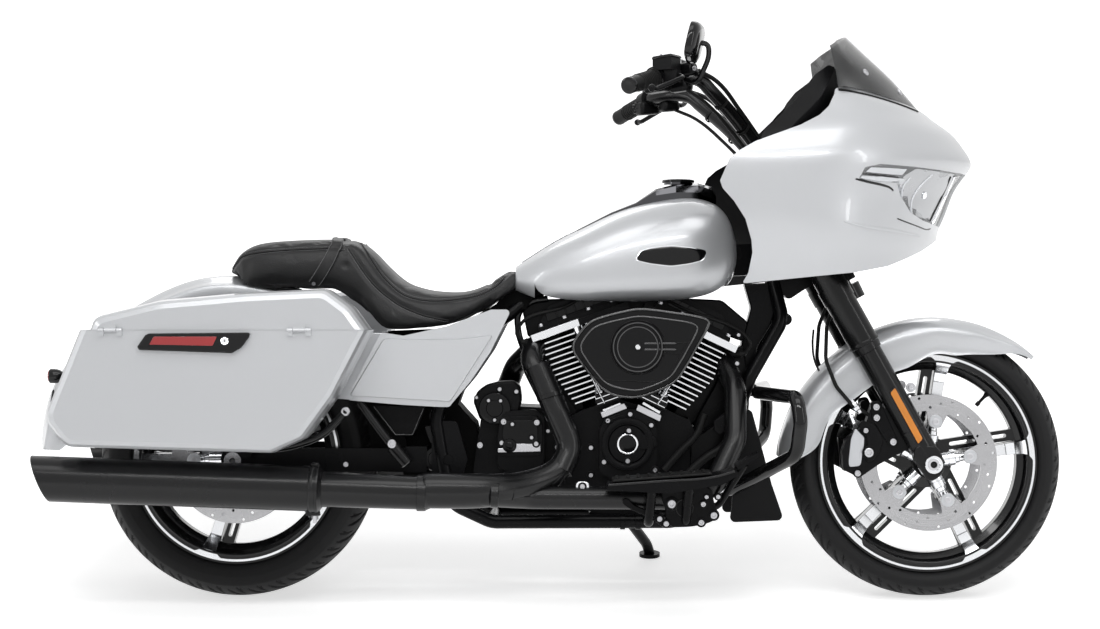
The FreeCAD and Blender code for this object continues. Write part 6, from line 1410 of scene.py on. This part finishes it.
def make_fairing():
    skin = node_surface("fairing")
    lamp = node_surface("headlamps")
    screen = node_surface("windscreen")
    lens = [(903, 176.5), (916.2, 168.5), (935, 171), (955, 174.4), (944, 200), (932.6, 225.2),
            (928.4, 227.4), (912, 222.5), (898.6, 217.6), (896, 205), (895.6, 193), (900.5, 184.8)]
    patch("lamp_bowl", lamp, rounded(lens, 2.5, 4), 0.0006, "reflector", 0.002)
    upper = [(857.4, 171.8), (864.3, 165.6), (890, 166.4), (914.6, 168.0), (907.6, 176.2), (893, 175.4),
             (870, 173.2)]
    patch("lamp_bar_high", lamp, rounded(upper, 1.6, 4), 0.0022, "led", crown=0.0008)
    lower = [(856.8, 177.0), (859.0, 174.8), (880, 176.0), (893.4, 177.6), (905.6, 178.4), (900.4, 185.4),
             (899.6, 191.8), (897.2, 191.4), (893.6, 187.0), (880, 183.6), (866, 180.6)]
    patch("lamp_bar_low", lamp, rounded(lower, 1.2, 4), 0.0024, "led", crown=0.0006)
    ribbon("lamp_gap", lamp, [(856.6, 173.4), (870, 174.3), (885, 175.8), (898, 177.4)], 0.0012, 0.003,
           "gloss")
    ribbon("lamp_shade", skin, [(855.6, 178.8), (868, 181.8), (880, 184.4), (889, 187.2), (893.6, 191)],
           0.003, 0.0012, "gloss", 0.4)
    ribbon("lamp_frame", lamp, [(897.0, 193.5), (897.6, 203), (898.8, 212), (902, 217.6)], 0.003, 0.003,
           "reflector")
    ribbon("lamp_ridge", lamp, [(910, 178), (903, 186), (901.6, 198), (902.4, 209)], 0.0016, 0.0026, "led")
    ribbon("lamp_ridge_outer", lamp, [(932, 174.5), (920, 186), (912, 199), (911, 210), (914, 219)], 0.0022,
           0.0024, "led")
    ribbon("lamp_sill", lamp, [(899, 214.2), (908, 218.0), (918, 221.6), (927, 224.2)], 0.0014, 0.003,
           "gloss")
    ribbon("lamp_seal", skin, [(897.2, 218.6), (906, 222.0), (918, 226.6), (926, 229.6), (931, 228.6)],
           0.0016, 0.001, "gloss")
    ribbon("lamp_rim", lamp, [(954.0, 176.2), (946, 195), (938, 212), (931.6, 224.6)], 0.0026, 0.003,
           "chrome")
    ribbon("lamp_rim_inner", lamp, [(950.4, 176.6), (942.4, 195), (934.6, 211), (929.4, 221.6)], 0.0009,
           0.0028, "gloss")
    for place, normal in seen_spots(lamp, [(923.8, 195.2)]):
        for side, word in SIDES:
            flip = Vector((1, -side, 1))
            lathe(f"lamp_eye_{word}", mm(-1, 8, 3.2, 8, 3.6, 6.6, 1.8, 5.8, 1.2, 3, 2.2, 0),
                  Vector(place * flip), Vector(normal * flip), "chrome", steps=36)
    ribbon("fairing_crease", skin, [(844.2, 221.5), (858, 224.6), (872, 227.2), (890, 230.0), (906, 232.8),
                                    (921, 236.4)], 0.0042, 0.0016, "paint", 0.9)
    ribbon("screen_gasket", skin, [(838.2, 89.6), (852, 91.6), (870, 95.6), (890, 101.4), (905, 106.6),
                                   (918, 111.8)], 0.0036, 0.0022, "rubber")
    screws_on("screen_screws", screen, [(865.8, 72.2), (899.6, 92.0)], 0.0058)
    # black lining inside the shell
    item = frame["nodes"]["fairing"]
    turn = BIKE.inverted() @ item.matrix_world
    bm = bmesh.new()
    bm.from_mesh(item.data)
    bmesh.ops.transform(bm, matrix=turn, verts=bm.verts)
    bm.normal_update()
    outer = []
    for face in bm.faces:
        middle = face.calc_center_median()
        away = Vector((max(middle.x - 1.36, 0) * 0.6, middle.y, 0)).normalized()
        if face.normal.dot(away) > -0.25:
            outer.append(face)
    bmesh.ops.delete(bm, geom=outer, context="FACES")
    bm.normal_update()
    for vert in bm.verts:
        vert.co += vert.normal * 0.0007
    add_piece("fairing_lining", mesh_of("fairing_lining", bm), "plastic")
    # instruments, as the rider sees them
    face = node_surface("dash")

    def dial(name, y, z, radius, ticks):
        place, normal, _, _ = face.ray_cast(Vector((0.7, y, z)), Vector((1, 0, 0)))
        if normal.x > 0:
            normal = -normal
        lathe(f"{name}_bezel", [(-0.004, radius), (0.006, radius), (0.008, radius * 0.97),
                                (0.008, radius * 0.9), (0.003, radius * 0.86), (0.003, 0.0)], place, normal,
              "gloss", steps=56)
        marks, turned = bmesh.new(), basis(normal, UP)
        for k in range(ticks):
            angle = math.radians(-130 + 260 * k / (ticks - 1))
            reach, wide = radius * (0.68 if k % 2 == 0 else 0.74), 0.0007
            spoke = Vector((math.cos(angle), math.sin(angle), 0))
            flank = Vector((-spoke.y, spoke.x, 0)) * wide
            slab_into(marks, [place + turned @ (spoke * r + flank * s + Vector((0, 0, 0.0031)))
                              for r, s in ((reach, -1), (radius * 0.82, -1), (radius * 0.82, 1),
                                           (reach, 1))], normal * 0.0004)
        from_mesh(f"{name}_marks", marks, "led")
        needle = bmesh.new()
        spoke = Vector((math.cos(2.2), math.sin(2.2), 0))
        flank = Vector((-spoke.y, spoke.x, 0))
        slab_into(needle, [place + turned @ (spoke * r + flank * s + Vector((0, 0, 0.004)))
                           for r, s in ((-0.01, -0.0012), (radius * 0.7, -0.0004), (radius * 0.7, 0.0004),
                                        (-0.01, 0.0012))], normal * 0.0006)
        lathe_into(needle, mm(3, 4, 5.6, 3.8, 6.2, 0), place, normal, 20)
        from_mesh(f"{name}_needle", needle, "amber")

    dial("speed_dial", 0.055, 1.165, 0.044, 15)
    dial("engine_dial", -0.055, 1.165, 0.044, 13)
    dial("fuel_dial", 0.14, 1.15, 0.026, 7)
    dial("volt_dial", -0.14, 1.15, 0.026, 7)
    for side, word in SIDES:
        place, normal, _, _ = face.ray_cast(Vector((0.7, side * 0.225, 1.06)), Vector((1, 0, 0)))
        normal = -normal if normal.x > 0 else normal
        grille = bmesh.new()
        for k in range(9):
            radius = 0.01 + 0.0062 * k
            lathe_into(grille, [(0.0005, radius - 0.0016), (0.004, radius - 0.0012),
                                (0.004, radius + 0.0012), (0.0005, radius + 0.0016)], place, normal, 60)
        lathe_into(grille, mm(-3, 68, 7, 68, 8, 65, 5, 61), place, normal, 60)
        from_mesh(f"speaker_grille_{word}", grille, "plastic")


def make_tank():
    tank = node_surface("fuel_tank")
    plate = [(634.5, 260.5), (640.0, 250.2), (652, 247.2), (672, 245.2), (692, 247.2), (707, 250.4),
             (704.0, 260.6), (690, 264.4), (671, 267.0), (650, 264.4)]
    patch("tank_badge_edge", tank, rounded(plate, 4, 4), 0.0012, "chrome")
    inner = [(671 + (u - 671) * 0.965, 256 + (v - 256) * 0.9) for u, v in plate]
    patch("tank_badge", tank, rounded(inner, 4, 4), 0.0024, "gloss", 0.002, 0.0006)
    # silver strip from the console to the saddle, dark edged
    for name, extra, lift, material in (("tank_strip_edge", 0.0028, 0.001, "gloss"),
                                        ("tank_strip", 0.0, 0.0024, "paint")):
        rows = []
        for i in range(40):
            x = 0.668 + (0.905 - 0.668) * i / 39
            half = 0.012 + 0.03 * (i / 39) ** 1.2 + extra
            row = []
            for a, h in ((-1, -0.002), (-0.96, lift), (-0.5, lift), (0, lift), (0.5, lift), (0.96, lift),
                         (1, -0.002)):
                place, _, _, _ = tank.ray_cast(Vector((x, half * a, 1.2)), Vector((0, 0, -1)))
                row.append(place + Vector((0, 0, h)))
            rows.append(row)
        grid_piece(name, rows, material, sharp=50)
    cap = Vector((1.04, 0, 0.984))
    lathe("fuel_cap_ring", mm(-4, 38.5, 0.5, 38.5, 2, 37, 2, 34.5, 0.8, 34, 0.8, 30, 2.8, 29, 3.4, 24,
                              3.4, 0), cap, UP, "gloss", steps=72)
    rim_screws = bmesh.new()
    for k in range(6):
        angle = math.pi / 3 * k + 0.3
        bolt_into(rim_screws, cap + Vector((0.034 * math.cos(angle), 0.034 * math.sin(angle), 0.0006)), UP,
                  0.0022, 0.0022)
    from_mesh("fuel_cap_screws", rim_screws, "steel")


# Bars, controls and mirrors, all on the steered body

BAR_PATH = [(0.913, -0.415, 1.171), (0.972, -0.3057, 1.1986), (1.0, -0.258, 1.207), (1.078, -0.207, 1.203),
            (1.104, -0.191, 1.181), (1.21, -0.1, 1.069), (1.286, -0.076, 0.966)]
MIRROR_SHAPE = [(-0.086, -0.02), (-0.082, 0.016), (-0.066, 0.038), (-0.03, 0.045), (0.02, 0.047),
                (0.062, 0.044), (0.082, 0.026), (0.084, 0.0), (0.072, -0.026), (0.044, -0.043),
                (0.004, -0.045), (-0.04, -0.04), (-0.072, -0.033)]


def make_controls():
    path = [Vector(p) for p in BAR_PATH]
    whole = path + [Vector(p * FLIP) for p in reversed(path)]
    bar = pipe("handlebar_tube", whole, 0.016, "fork", body="front_fork", resolution=8)
    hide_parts("handlebar")
    way = Vector((0.4634, 0.8598, 0.2165)).normalized()
    for side, word in SIDES:
        flip = Vector((1, -side, 1))

        def at(distance, offset=(0, 0, 0), flip=flip):
            return Vector((path[0] + way * distance + Vector(offset)) * flip)

        grip_way = Vector(way * flip)
        ribs = bmesh.new()
        for k in range(9):
            lathe_into(ribs, mm(-2.2, 18.3, -1.4, 20, 1.4, 20, 2.2, 18.3), at(0.04 + 0.0082 * k), grip_way,
                       40)
        lathe_into(ribs, mm(0, 18.3, 0.6, 21.4, 4, 21.8, 6, 20.5, 7.2, 18.3), at(0.115), grip_way, 40)
        from_mesh(f"grip_ribs_{word}", ribs, "rubber", "front_fork", sharp=40)
        lathe(f"bar_end_{word}", mm(2, 18.8, -3.5, 19, -6, 17.5, -7.2, 12, -6.6, 9, -6.6, 0), at(-0.004),
              grip_way, "gloss", "front_fork")

        def pod(name, centre, size, material, bevel, side=side, word=word):
            bm = bmesh.new()
            bmesh.ops.create_cube(bm, size=1)
            x, y, z = size
            for vert in bm.verts:
                if vert.co.z > 0:
                    vert.co.x *= 0.9
                    vert.co.y *= 0.92
                vert.co = Vector((vert.co.x * x, vert.co.y * y, vert.co.z * z))
            turn = Matrix.Rotation(math.radians(28 * side), 4, "Z")
            turn = turn @ Matrix.Rotation(math.radians(-6), 4, "Y")
            bmesh.ops.transform(bm, matrix=Matrix.Translation(centre) @ turn, verts=bm.verts)
            slot = "black_plastic" if material == "plastic" else "black_gloss"
            bevelled(from_mesh(f"{name}_{word}", bm, material, "front_fork", slot=slot), bevel, 4)

        pod("switch_pod", at(0.148, (-0.004, -0.004, -0.02)), (0.056, 0.04, 0.034), "plastic", 0.008)
        pod("switch_pod_front", at(0.148, (0.02, 0.004, 0.006)), (0.04, 0.04, 0.044), "satin", 0.007)
        pod("fluid_lid", at(0.141, (0.02, -0.01, 0.0425)), (0.052, 0.056, 0.007), "gloss", 0.0025)
        pod("master_cylinder", at(0.176, (0.046, -0.006, 0.01)), (0.06, 0.034, 0.032), "satin", 0.009)
        pod("pod_low", at(0.19, (0.03, -0.004, -0.026)), (0.05, 0.036, 0.03), "plastic", 0.01)
        buttons = bmesh.new()
        for a, h, radius in ((0.138, -0.012, 0.0048), (0.15, -0.01, 0.0048), (0.144, -0.027, 0.0058),
                             (0.158, -0.022, 0.004)):
            lathe_into(buttons, [(0.0, radius), (0.0034, radius), (0.0048, radius * 0.82), (0.0054, 0.0)],
                       at(a, (-0.031, -0.006, h)), (-1, 0, 0.1), 22)
        from_mesh(f"switch_buttons_{word}", buttons, "gloss", "front_fork")
        lid_screws = bmesh.new()
        for dx, dy in ((0.006, -0.028), (0.038, -0.018), (0.0, 0.004), (0.032, 0.012)):
            bolt_into(lid_screws, at(0.141, (dx, dy, 0.0462)), UP, 0.003, 0.0016)
        bolt_into(lid_screws, at(0.176, (0.066, -0.026, 0.012)), (0.3, side, 0), 0.0052, 0.004)
        from_mesh(f"control_screws_{word}", lid_screws, "steel", "front_fork")
        lathe(f"lever_tip_{word}", mm(-8.5, 0, -7.5, 4, -4, 7.4, 0, 8.4, 4, 7.4, 7.5, 4, 8.5, 0),
              at(0, (0.046, -0.04, -0.01)), (1, 0, 0), "satin", "front_fork", steps=30)
        # hoses down the bar, strapped to it
        hoses = (([(1.046, -0.262, 1.176), (1.098, -0.206, 1.146), (1.156, -0.15, 1.09),
                   (1.214, -0.1, 1.022), (1.262, -0.08, 0.958)], 0.0042),
                 ([(1.074, -0.236, 1.222), (1.122, -0.196, 1.198), (1.176, -0.146, 1.138),
                   (1.232, -0.1, 1.068), (1.288, -0.082, 1.0)], 0.005))
        for index, (line, radius) in enumerate(hoses):
            pipe(f"bar_hose_{index}_{word}", [Vector(Vector(p) * flip) for p in line], radius, "rubber",
                 body="front_fork", resolution=4)
        straps = bmesh.new()
        for t in (0.25, 0.75):
            centre = Vector(path[4].lerp(path[5], t) * flip)
            along = Vector((path[5] - path[4]) * flip)
            lathe_into(straps, mm(-3, 16, -3, 17.8, 3, 17.8, 3, 16), centre, along, 36)
        from_mesh(f"bar_straps_{word}", straps, "rubber", "front_fork", sharp=35)
        # mirror: a domed case on a bent stem, its glass towards the rider
        centre = Vector((1.046, -0.392, 1.268))
        lean = Matrix.Rotation(math.radians(-9), 4, "Z") @ Matrix.Rotation(math.radians(12), 4, "Y")
        loop = [smooth_row([Vector((*p, 0)) for p in MIRROR_SHAPE + MIRROR_SHAPE[:1]],
                           len(MIRROR_SHAPE) * k / 52) for k in range(52)]

        def ring_at(share, x, lean=lean, centre=centre, flip=flip, loop=loop):
            return [Vector((centre + lean @ Vector((x, p.x * share, p.y * share))) * flip) for p in loop]

        case = bmesh.new()
        rings = [[case.verts.new(p) for p in ring_at(share, x)]
                 for share, x in ((0.9, 0.002), (0.94, 0.0), (0.985, 0.0006), (1.0, 0.004), (0.99, 0.009),
                                  (0.95, 0.015), (0.86, 0.0205), (0.68, 0.024), (0.4, 0.0256),
                                  (0.05, 0.026))]
        skin_rings(case, rings)
        case.faces.new(rings[-1])
        shell = from_mesh(f"mirror_case_{word}", case, "gloss", "front_fork", sharp=50)
        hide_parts("mirrors")
        pane = bmesh.new()
        pane.faces.new([pane.verts.new(p) for p in ring_at(0.905, 0.0018)])
        from_mesh(f"mirror_glass_{word}", pane, "mirror", "front_fork")
        stem = ((1.058, -0.384, 1.266), (1.084, -0.366, 1.266), (1.09, -0.352, 1.252),
                (1.081, -0.322, 1.216), (1.064, -0.29, 1.19), (1.04, -0.27, 1.196))
        pipe(f"mirror_stem_{word}", [Vector(Vector(p) * flip) for p in stem], 0.006, "gloss",
             body="front_fork", resolution=6)


# Tail: lamps on a bar, and a blank plate

def make_tail():
    bar = pipe("tail_bar", [(-0.414, -0.142, 0.522), (-0.424, -0.08, 0.52), (-0.428, 0, 0.519),
                            (-0.424, 0.08, 0.52), (-0.414, 0.142, 0.522)], 0.008, "gloss")
    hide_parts("tail_lamps")
    for side, word in SIDES:
        at = Vector((-0.396, side * 0.142, 0.524))
        lathe(f"tail_lamp_case_{word}", mm(-6, 0, -4, 9, 2, 14, 10, 16.5, 24, 17, 26.5, 16, 26.5, 14), at,
              (-1, 0, 0), "gloss")
        lathe(f"tail_lamp_lens_{word}", mm(25.5, 14.5, 28.5, 13.5, 30.5, 10, 31.2, 5, 31.4, 0), at,
              (-1, 0, 0), "red")
    tilt = Matrix.Translation(Vector((-0.437, 0, 0.436))) @ Matrix.Rotation(math.radians(8), 4, "Y")
    corners = rounded([(-0.089, -0.051), (0.089, -0.051), (0.089, 0.051), (-0.089, 0.051)], 0.008, 5)
    slab("blank_plate", [tilt @ Vector((-0.0012, y, z)) for y, z in corners],
         tilt.to_3x3() @ Vector((0.0024, 0, 0)), "cast", 0.0006)
    holder = bmesh.new()
    corners = rounded([(-0.094, -0.056), (0.094, -0.056), (0.094, 0.056), (-0.094, 0.056)], 0.01, 5)
    slab_into(holder, [tilt @ Vector((0.0014, y, z)) for y, z in corners],
              tilt.to_3x3() @ Vector((0.005, 0, 0)))
    arm = ((-0.366, 0.5), (-0.366, 0.535), (-0.424, 0.53), (-0.438, 0.486), (-0.424, 0.44), (-0.414, 0.44),
           (-0.42, 0.488))
    slab_into(holder, [(x, -0.03, z) for x, z in arm], (0, 0.06, 0))
    bevelled(from_mesh("plate_holder", holder, "satin"), 0.0016, 2)
    screws = bmesh.new()
    for y in (-0.06, 0.06):
        bolt_into(screws, tilt @ Vector((-0.0012, y, 0.036)), tilt.to_3x3() @ Vector((-1, 0, 0)), 0.0048,
                  0.003)
    from_mesh("plate_screws", screws, "steel")


# Dark works seen between the larger forms, and near-black plates of painted shade in the dark gaps

def make_inner():
    def fill(name, outline, y, depth, material="satin", bevel=0.004, radius=4.0):
        return plate_between(name, rounded(outline, radius), y, depth, material, bevel, 2,
                             slot="black_metal")

    fill("rear_barrel_web", [(527, 345), (601, 318), (640, 400), (640, 425), (573, 425), (557, 412),
                             (538, 366)], -0.012, 0.024)
    fill("front_barrel_web", [(688, 322), (742, 356), (716, 398), (690, 428), (655, 424), (655, 400)],
         -0.012, 0.024)
    fill("wiring_tray", [(520, 300), (640, 296), (722, 300), (748, 322), (744, 342), (712, 330), (640, 316),
                         (570, 322), (528, 338)], -0.04, 0.08)
    fill("downtube_shroud", [(729, 352), (744, 344), (750, 392), (744, 476), (694, 476), (686, 446),
                             (697, 416), (714, 386)], -0.036, 0.072)
    # battery box and saddle pan in the unlit black: partly real dark parts, partly painted shade filling the
    # gaps under the saddle
    fill("battery_box_shade", [(383, 372), (470, 372), (458, 404), (476, 424), (486, 474), (404, 478), (398, 440),
                         (376, 404)], -0.08, 0.16, "shade", 0.0005, 0.5)
    fill("saddle_pan_shade", [(388, 331), (440, 329), (470, 319), (496, 304), (510, 287), (520, 284), (528, 294),
                        (533, 299), (526, 309), (508, 312), (494, 318), (470, 330), (440, 340), (388, 338)],
         -0.07, 0.14, "shade", 0.0005, 0.5)
    fill("starter_housing", [(473, 401), (477.5, 391), (486, 385), (499, 381.5), (514, 381), (520.5, 386),
                             (522, 399), (519, 414), (500, 420), (480, 420)], -0.108, 0.07, "engine", 0.005,
         3.0)
    screw_group("housing", [(499.6, 389.2, -0.1085, 0.0048), (516.4, 391.6, -0.1085, 0.005),
                            (476.6, 397.6, -0.1085, 0.0036)])
    # a plate of painted shade in the unlit black, beside the rear wheel on each side
    guard = [photo(u, v, -0.112) for u, v in ((364, 399), (386, 399), (406, 440), (408, 452), (372, 452))]
    for side, word in SIDES:
        slab(f"wheel_side_guard_shade_{word}", [(p.x, side * 0.112, p.z) for p in guard], (0, side * 0.006, 0),
             "shade", 0.0006, 1)
    # frame gusset below the steering head, and the loop behind the rear cylinder
    fill("neck_gusset", [(744, 284), (781, 282), (779, 300), (771, 325), (757, 347), (754, 376), (737, 378),
                         (742, 340), (751, 308)], -0.026, 0.052, "satin", 0.005, 3.0)
    pipe("frame_loop", [photo(548, 298.5, -0.06), photo(531, 302, -0.06), photo(519.5, 312, -0.06),
                        photo(518.0, 328, -0.062), photo(523, 347, -0.066), photo(530, 361, -0.07)], 0.0078,
         "gloss")
    fill("header_guard", [(526, 352), (548, 372), (578, 412), (566, 430), (548, 404), (528, 372)], -0.05,
         0.03)
    fill("oil_filter_mount", [(690, 440), (722, 420), (740, 430), (716, 468), (690, 478)], -0.1, 0.04)
    # ribbed panel between the rear wheel and the gearbox
    panel = [(371, 405.5), (425.5, 407), (416.5, 430), (411.5, 435.5), (397, 435.5), (392, 433)]
    plate_between("battery_panel", rounded(panel, 2.5), -0.12, 0.01, "engine", 0.0016)
    rib = [photo(u, v, -0.1222) for u, v in ((374, 406.5), (395.5, 434.6), (412.5, 434.6), (423.5, 408.5))]
    pipe("battery_panel_rim", rib, 0.0016, "edge", resolution=3, smooth=False)
    for side, word in SIDES:
        def spot(u, v, y, side=side):
            place = photo(u, v, -y)
            return Vector((place.x, side * y, place.z))

        pipe(f"rail_strut_{word}", [spot(360, 402, 0.16), spot(383, 434, 0.16), spot(407.5, 464, 0.16)],
             0.0105, "fork", resolution=6)
        sleeve = bmesh.new()
        low, high = spot(407.5, 464, 0.16), spot(393, 446.5, 0.16)
        length = (high - low).length
        lathe_into(sleeve, [(0, 0.011), (0.002, 0.0155), (length, 0.0155), (length + 0.003, 0.011)], low,
                   high - low, 40)
        from_mesh(f"strut_sleeve_{word}", sleeve, "fork", sharp=35, slot="black_metal")
        lathe(f"pivot_cap_{word}", mm(-30, 30, 0, 30, 4, 27.5, 4, 20, 6.5, 18.5, 6.5, 0),
              spot(436.5, 459, 0.125), (0, side, 0), "engine_smooth")
        arm = [(424, 426), (444, 424), (448, 430), (444, 446), (430, 444)]
        slab(f"linkage_{word}", [spot(u, v, 0.118) for u, v in rounded(arm, 2.5)], (0, side * -0.02, 0),
             "engine_smooth", 0.002)
        screws = bmesh.new()
        for u, v, y, radius in ((442.5, 424, 0.128, 0.0068), (446, 450.5, 0.134, 0.0072),
                                (436.5, 435.5, 0.122, 0.004), (480, 445, 0.128, 0.0072)):
            bolt_into(screws, spot(u, v, y), (0, side, 0), radius, 0.006)
        from_mesh(f"linkage_screws_{word}", screws, "steel")
    # side covers: a raised face below the pressed line, and the painted turn-in behind the bag
    cover = node_surface("side_covers")
    raised = [(383.5, 338.5), (430, 339.6), (462, 338.8), (493, 335.0), (450.5, 401.5), (349.5, 395.5)]
    patch("side_cover_face", cover, rounded(raised, 3, 8), 0.005, "paint", 0.006)
    corners = [photo(u, v, -0.184) for u, v in ((369, 333), (386, 333), (352, 400), (331, 398))]
    for side, word in SIDES:
        slab(f"side_cover_return_{word}", [(c.x, side * -c.y, c.z) for c in corners], (0, side * -0.005, 0),
             "paint", 0.0015, 3)
    # fairing bracket, folded up inside the shell
    bracket = bmesh.new()
    stay = ((1.402, 0.79), (1.402, 0.84), (1.588, 0.862), (1.604, 0.852), (1.604, 0.828), (1.56, 0.812))
    slab_into(bracket, [(x, -0.01, z) for x, z in stay], (0, 0.02, 0))
    crossbar = ((1.584, 0.83), (1.584, 0.862), (1.6, 0.862), (1.6, 0.83))
    slab_into(bracket, [(x, -0.09, z) for x, z in crossbar], (0, 0.18, 0))
    made = bevelled(from_mesh("fairing_stay", bracket, "satin"), 0.002, 2)
    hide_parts("fairing_bracket")

    # air cleaner's rims, which catch the light
    def loop(name, outline, y, radius):
        pipe(name, [(x / 1000, y, z / 1000) for x, z in outline], radius, "edge", resolution=4, cyclic=True)

    loop("cleaner_rim", rounded([(782, 592), (826, 652), (938, 681), (1058, 665), (1103, 655), (1098, 636),
                                 (1025, 510), (938, 475), (888, 480), (857, 495), (818, 544)], 30, 3),
         -0.186, 0.0034)
    loop("cleaner_step", rounded([(800, 592), (836, 640), (938, 664), (1050, 650), (1080, 640), (1012, 520),
                                  (936, 490), (864, 506)], 24, 3), -0.2, 0.0022)
    for radius, height in ((0.0575, 0.002), (0.048, 0.0015)):
        ring = [(-0.001, radius), (height, radius - 0.0006), (height, radius - 0.003),
                (-0.001, radius - 0.0036)]
        lathe(f"medallion_ring_{int(radius * 10000)}", ring, (0.937, -0.2062, 0.592), OUT_RIGHT, "edge",
              steps=90)
    bar = ((0.952, -0.0022), (1.022, -0.0022), (1.026, 0.0), (1.022, 0.0022), (0.952, 0.0022))
    for z in (0.6005, 0.5865):
        corners = [(x, -0.2062, z + dz) for x, dz in bar]
        slab(f"medallion_bar_{int(z * 10000)}", corners, (0, 0.0062, 0), "edge", 0.001)


# Studio

def softbox(name, at, aim, width, height, power):
    data = bpy.data.lights.new(name, "AREA")
    data.shape = "RECTANGLE"
    data.size, data.size_y = width, height
    data.energy = power
    turn = (Vector(aim) - Vector(at)).to_track_quat("-Z", "Y").to_matrix().to_4x4()
    placed(name, data).matrix_world = Matrix.Translation(at) @ turn


def seen_directly(tree):
    """1 for rays from the camera, a mirror or a clear piece, else 0."""
    path = tree.nodes.new("ShaderNodeLightPath").outputs
    camera, clear, mirror = (path[f"Is {kind} Ray"] for kind in ("Camera", "Transmission", "Glossy"))
    straight = shade(tree, "Math", {0: camera, 1: clear}, operation="MAXIMUM")
    return shade(tree, "Math", {0: straight, 1: mirror}, operation="MAXIMUM")


def make_floor():
    """A wide white floor that glows more with distance, where a ray sees it directly."""
    bm = bmesh.new()
    bmesh.ops.create_grid(bm, x_segments=1, y_segments=1, size=60)
    floor = placed("floor", mesh_of("floor", bm))
    floor.matrix_world = Matrix()
    made = bpy.data.materials.new("floor")
    made.use_nodes = True
    tree = made.node_tree
    sockets = tree.nodes["Principled BSDF"].inputs
    for key, value in (("Base Color", (0.90, 0.90, 0.90, 1)), ("Roughness", 0.9),
                       ("Specular IOR Level", 0.1), ("Emission Color", (1, 1, 1, 1))):
        sockets[key].default_value = value
    place = shade(tree, "TexCoord", {}, "Object")
    reach = shade(tree, "VectorMath", {0: place}, "Value", operation="LENGTH")
    glow = remap(tree, reach, 0.62, 1.0, 1.1, 3.2)
    strength = shade(tree, "Math", {0: seen_directly(tree), 1: glow}, operation="MULTIPLY")
    tree.links.new(strength, sockets["Emission Strength"])
    floor.data.materials.append(made)


def make_studio():
    softbox("overhead", (0.2, -1.6, 4.6), (0.1, 0, 0.4), 4.6, 1.8, 74)
    softbox("long_strip", (0.3, -2.9, 3.3), (0.2, 0, 0.4), 4.2, 0.24, 42)
    softbox("front_strip", (4.2, -2.6, 2.2), (0.5, 0, 0.6), 0.30, 2.6, 18)
    softbox("rear_strip", (-4.2, -2.4, 2.2), (-0.4, 0, 0.5), 0.30, 2.6, 20)
    softbox("far_side", (0, 4.4, 3.6), (0, 0, 0.6), 4.0, 1.6, 50)
    world = bpy.context.scene.world or bpy.data.worlds.new("studio")
    bpy.context.scene.world = world
    world.use_nodes = True
    tree = world.node_tree
    background = tree.nodes["Background"].inputs
    background["Color"].default_value = (1, 1, 1, 1)
    tree.links.new(remap(tree, seen_directly(tree), 0.30, 1.0, 0.0, 1.0), background["Strength"])
    make_floor()
    bpy.context.scene.view_settings.view_transform = "Standard"


make_camera()
make_materials()
finish_cad()
make_wheels()
make_front_end()
make_engine()
make_gearbox()
make_exhaust()
make_underside()
make_saddle()
make_bags()
make_fairing()
make_tank()
make_controls()
make_tail()
make_inner()
make_studio()
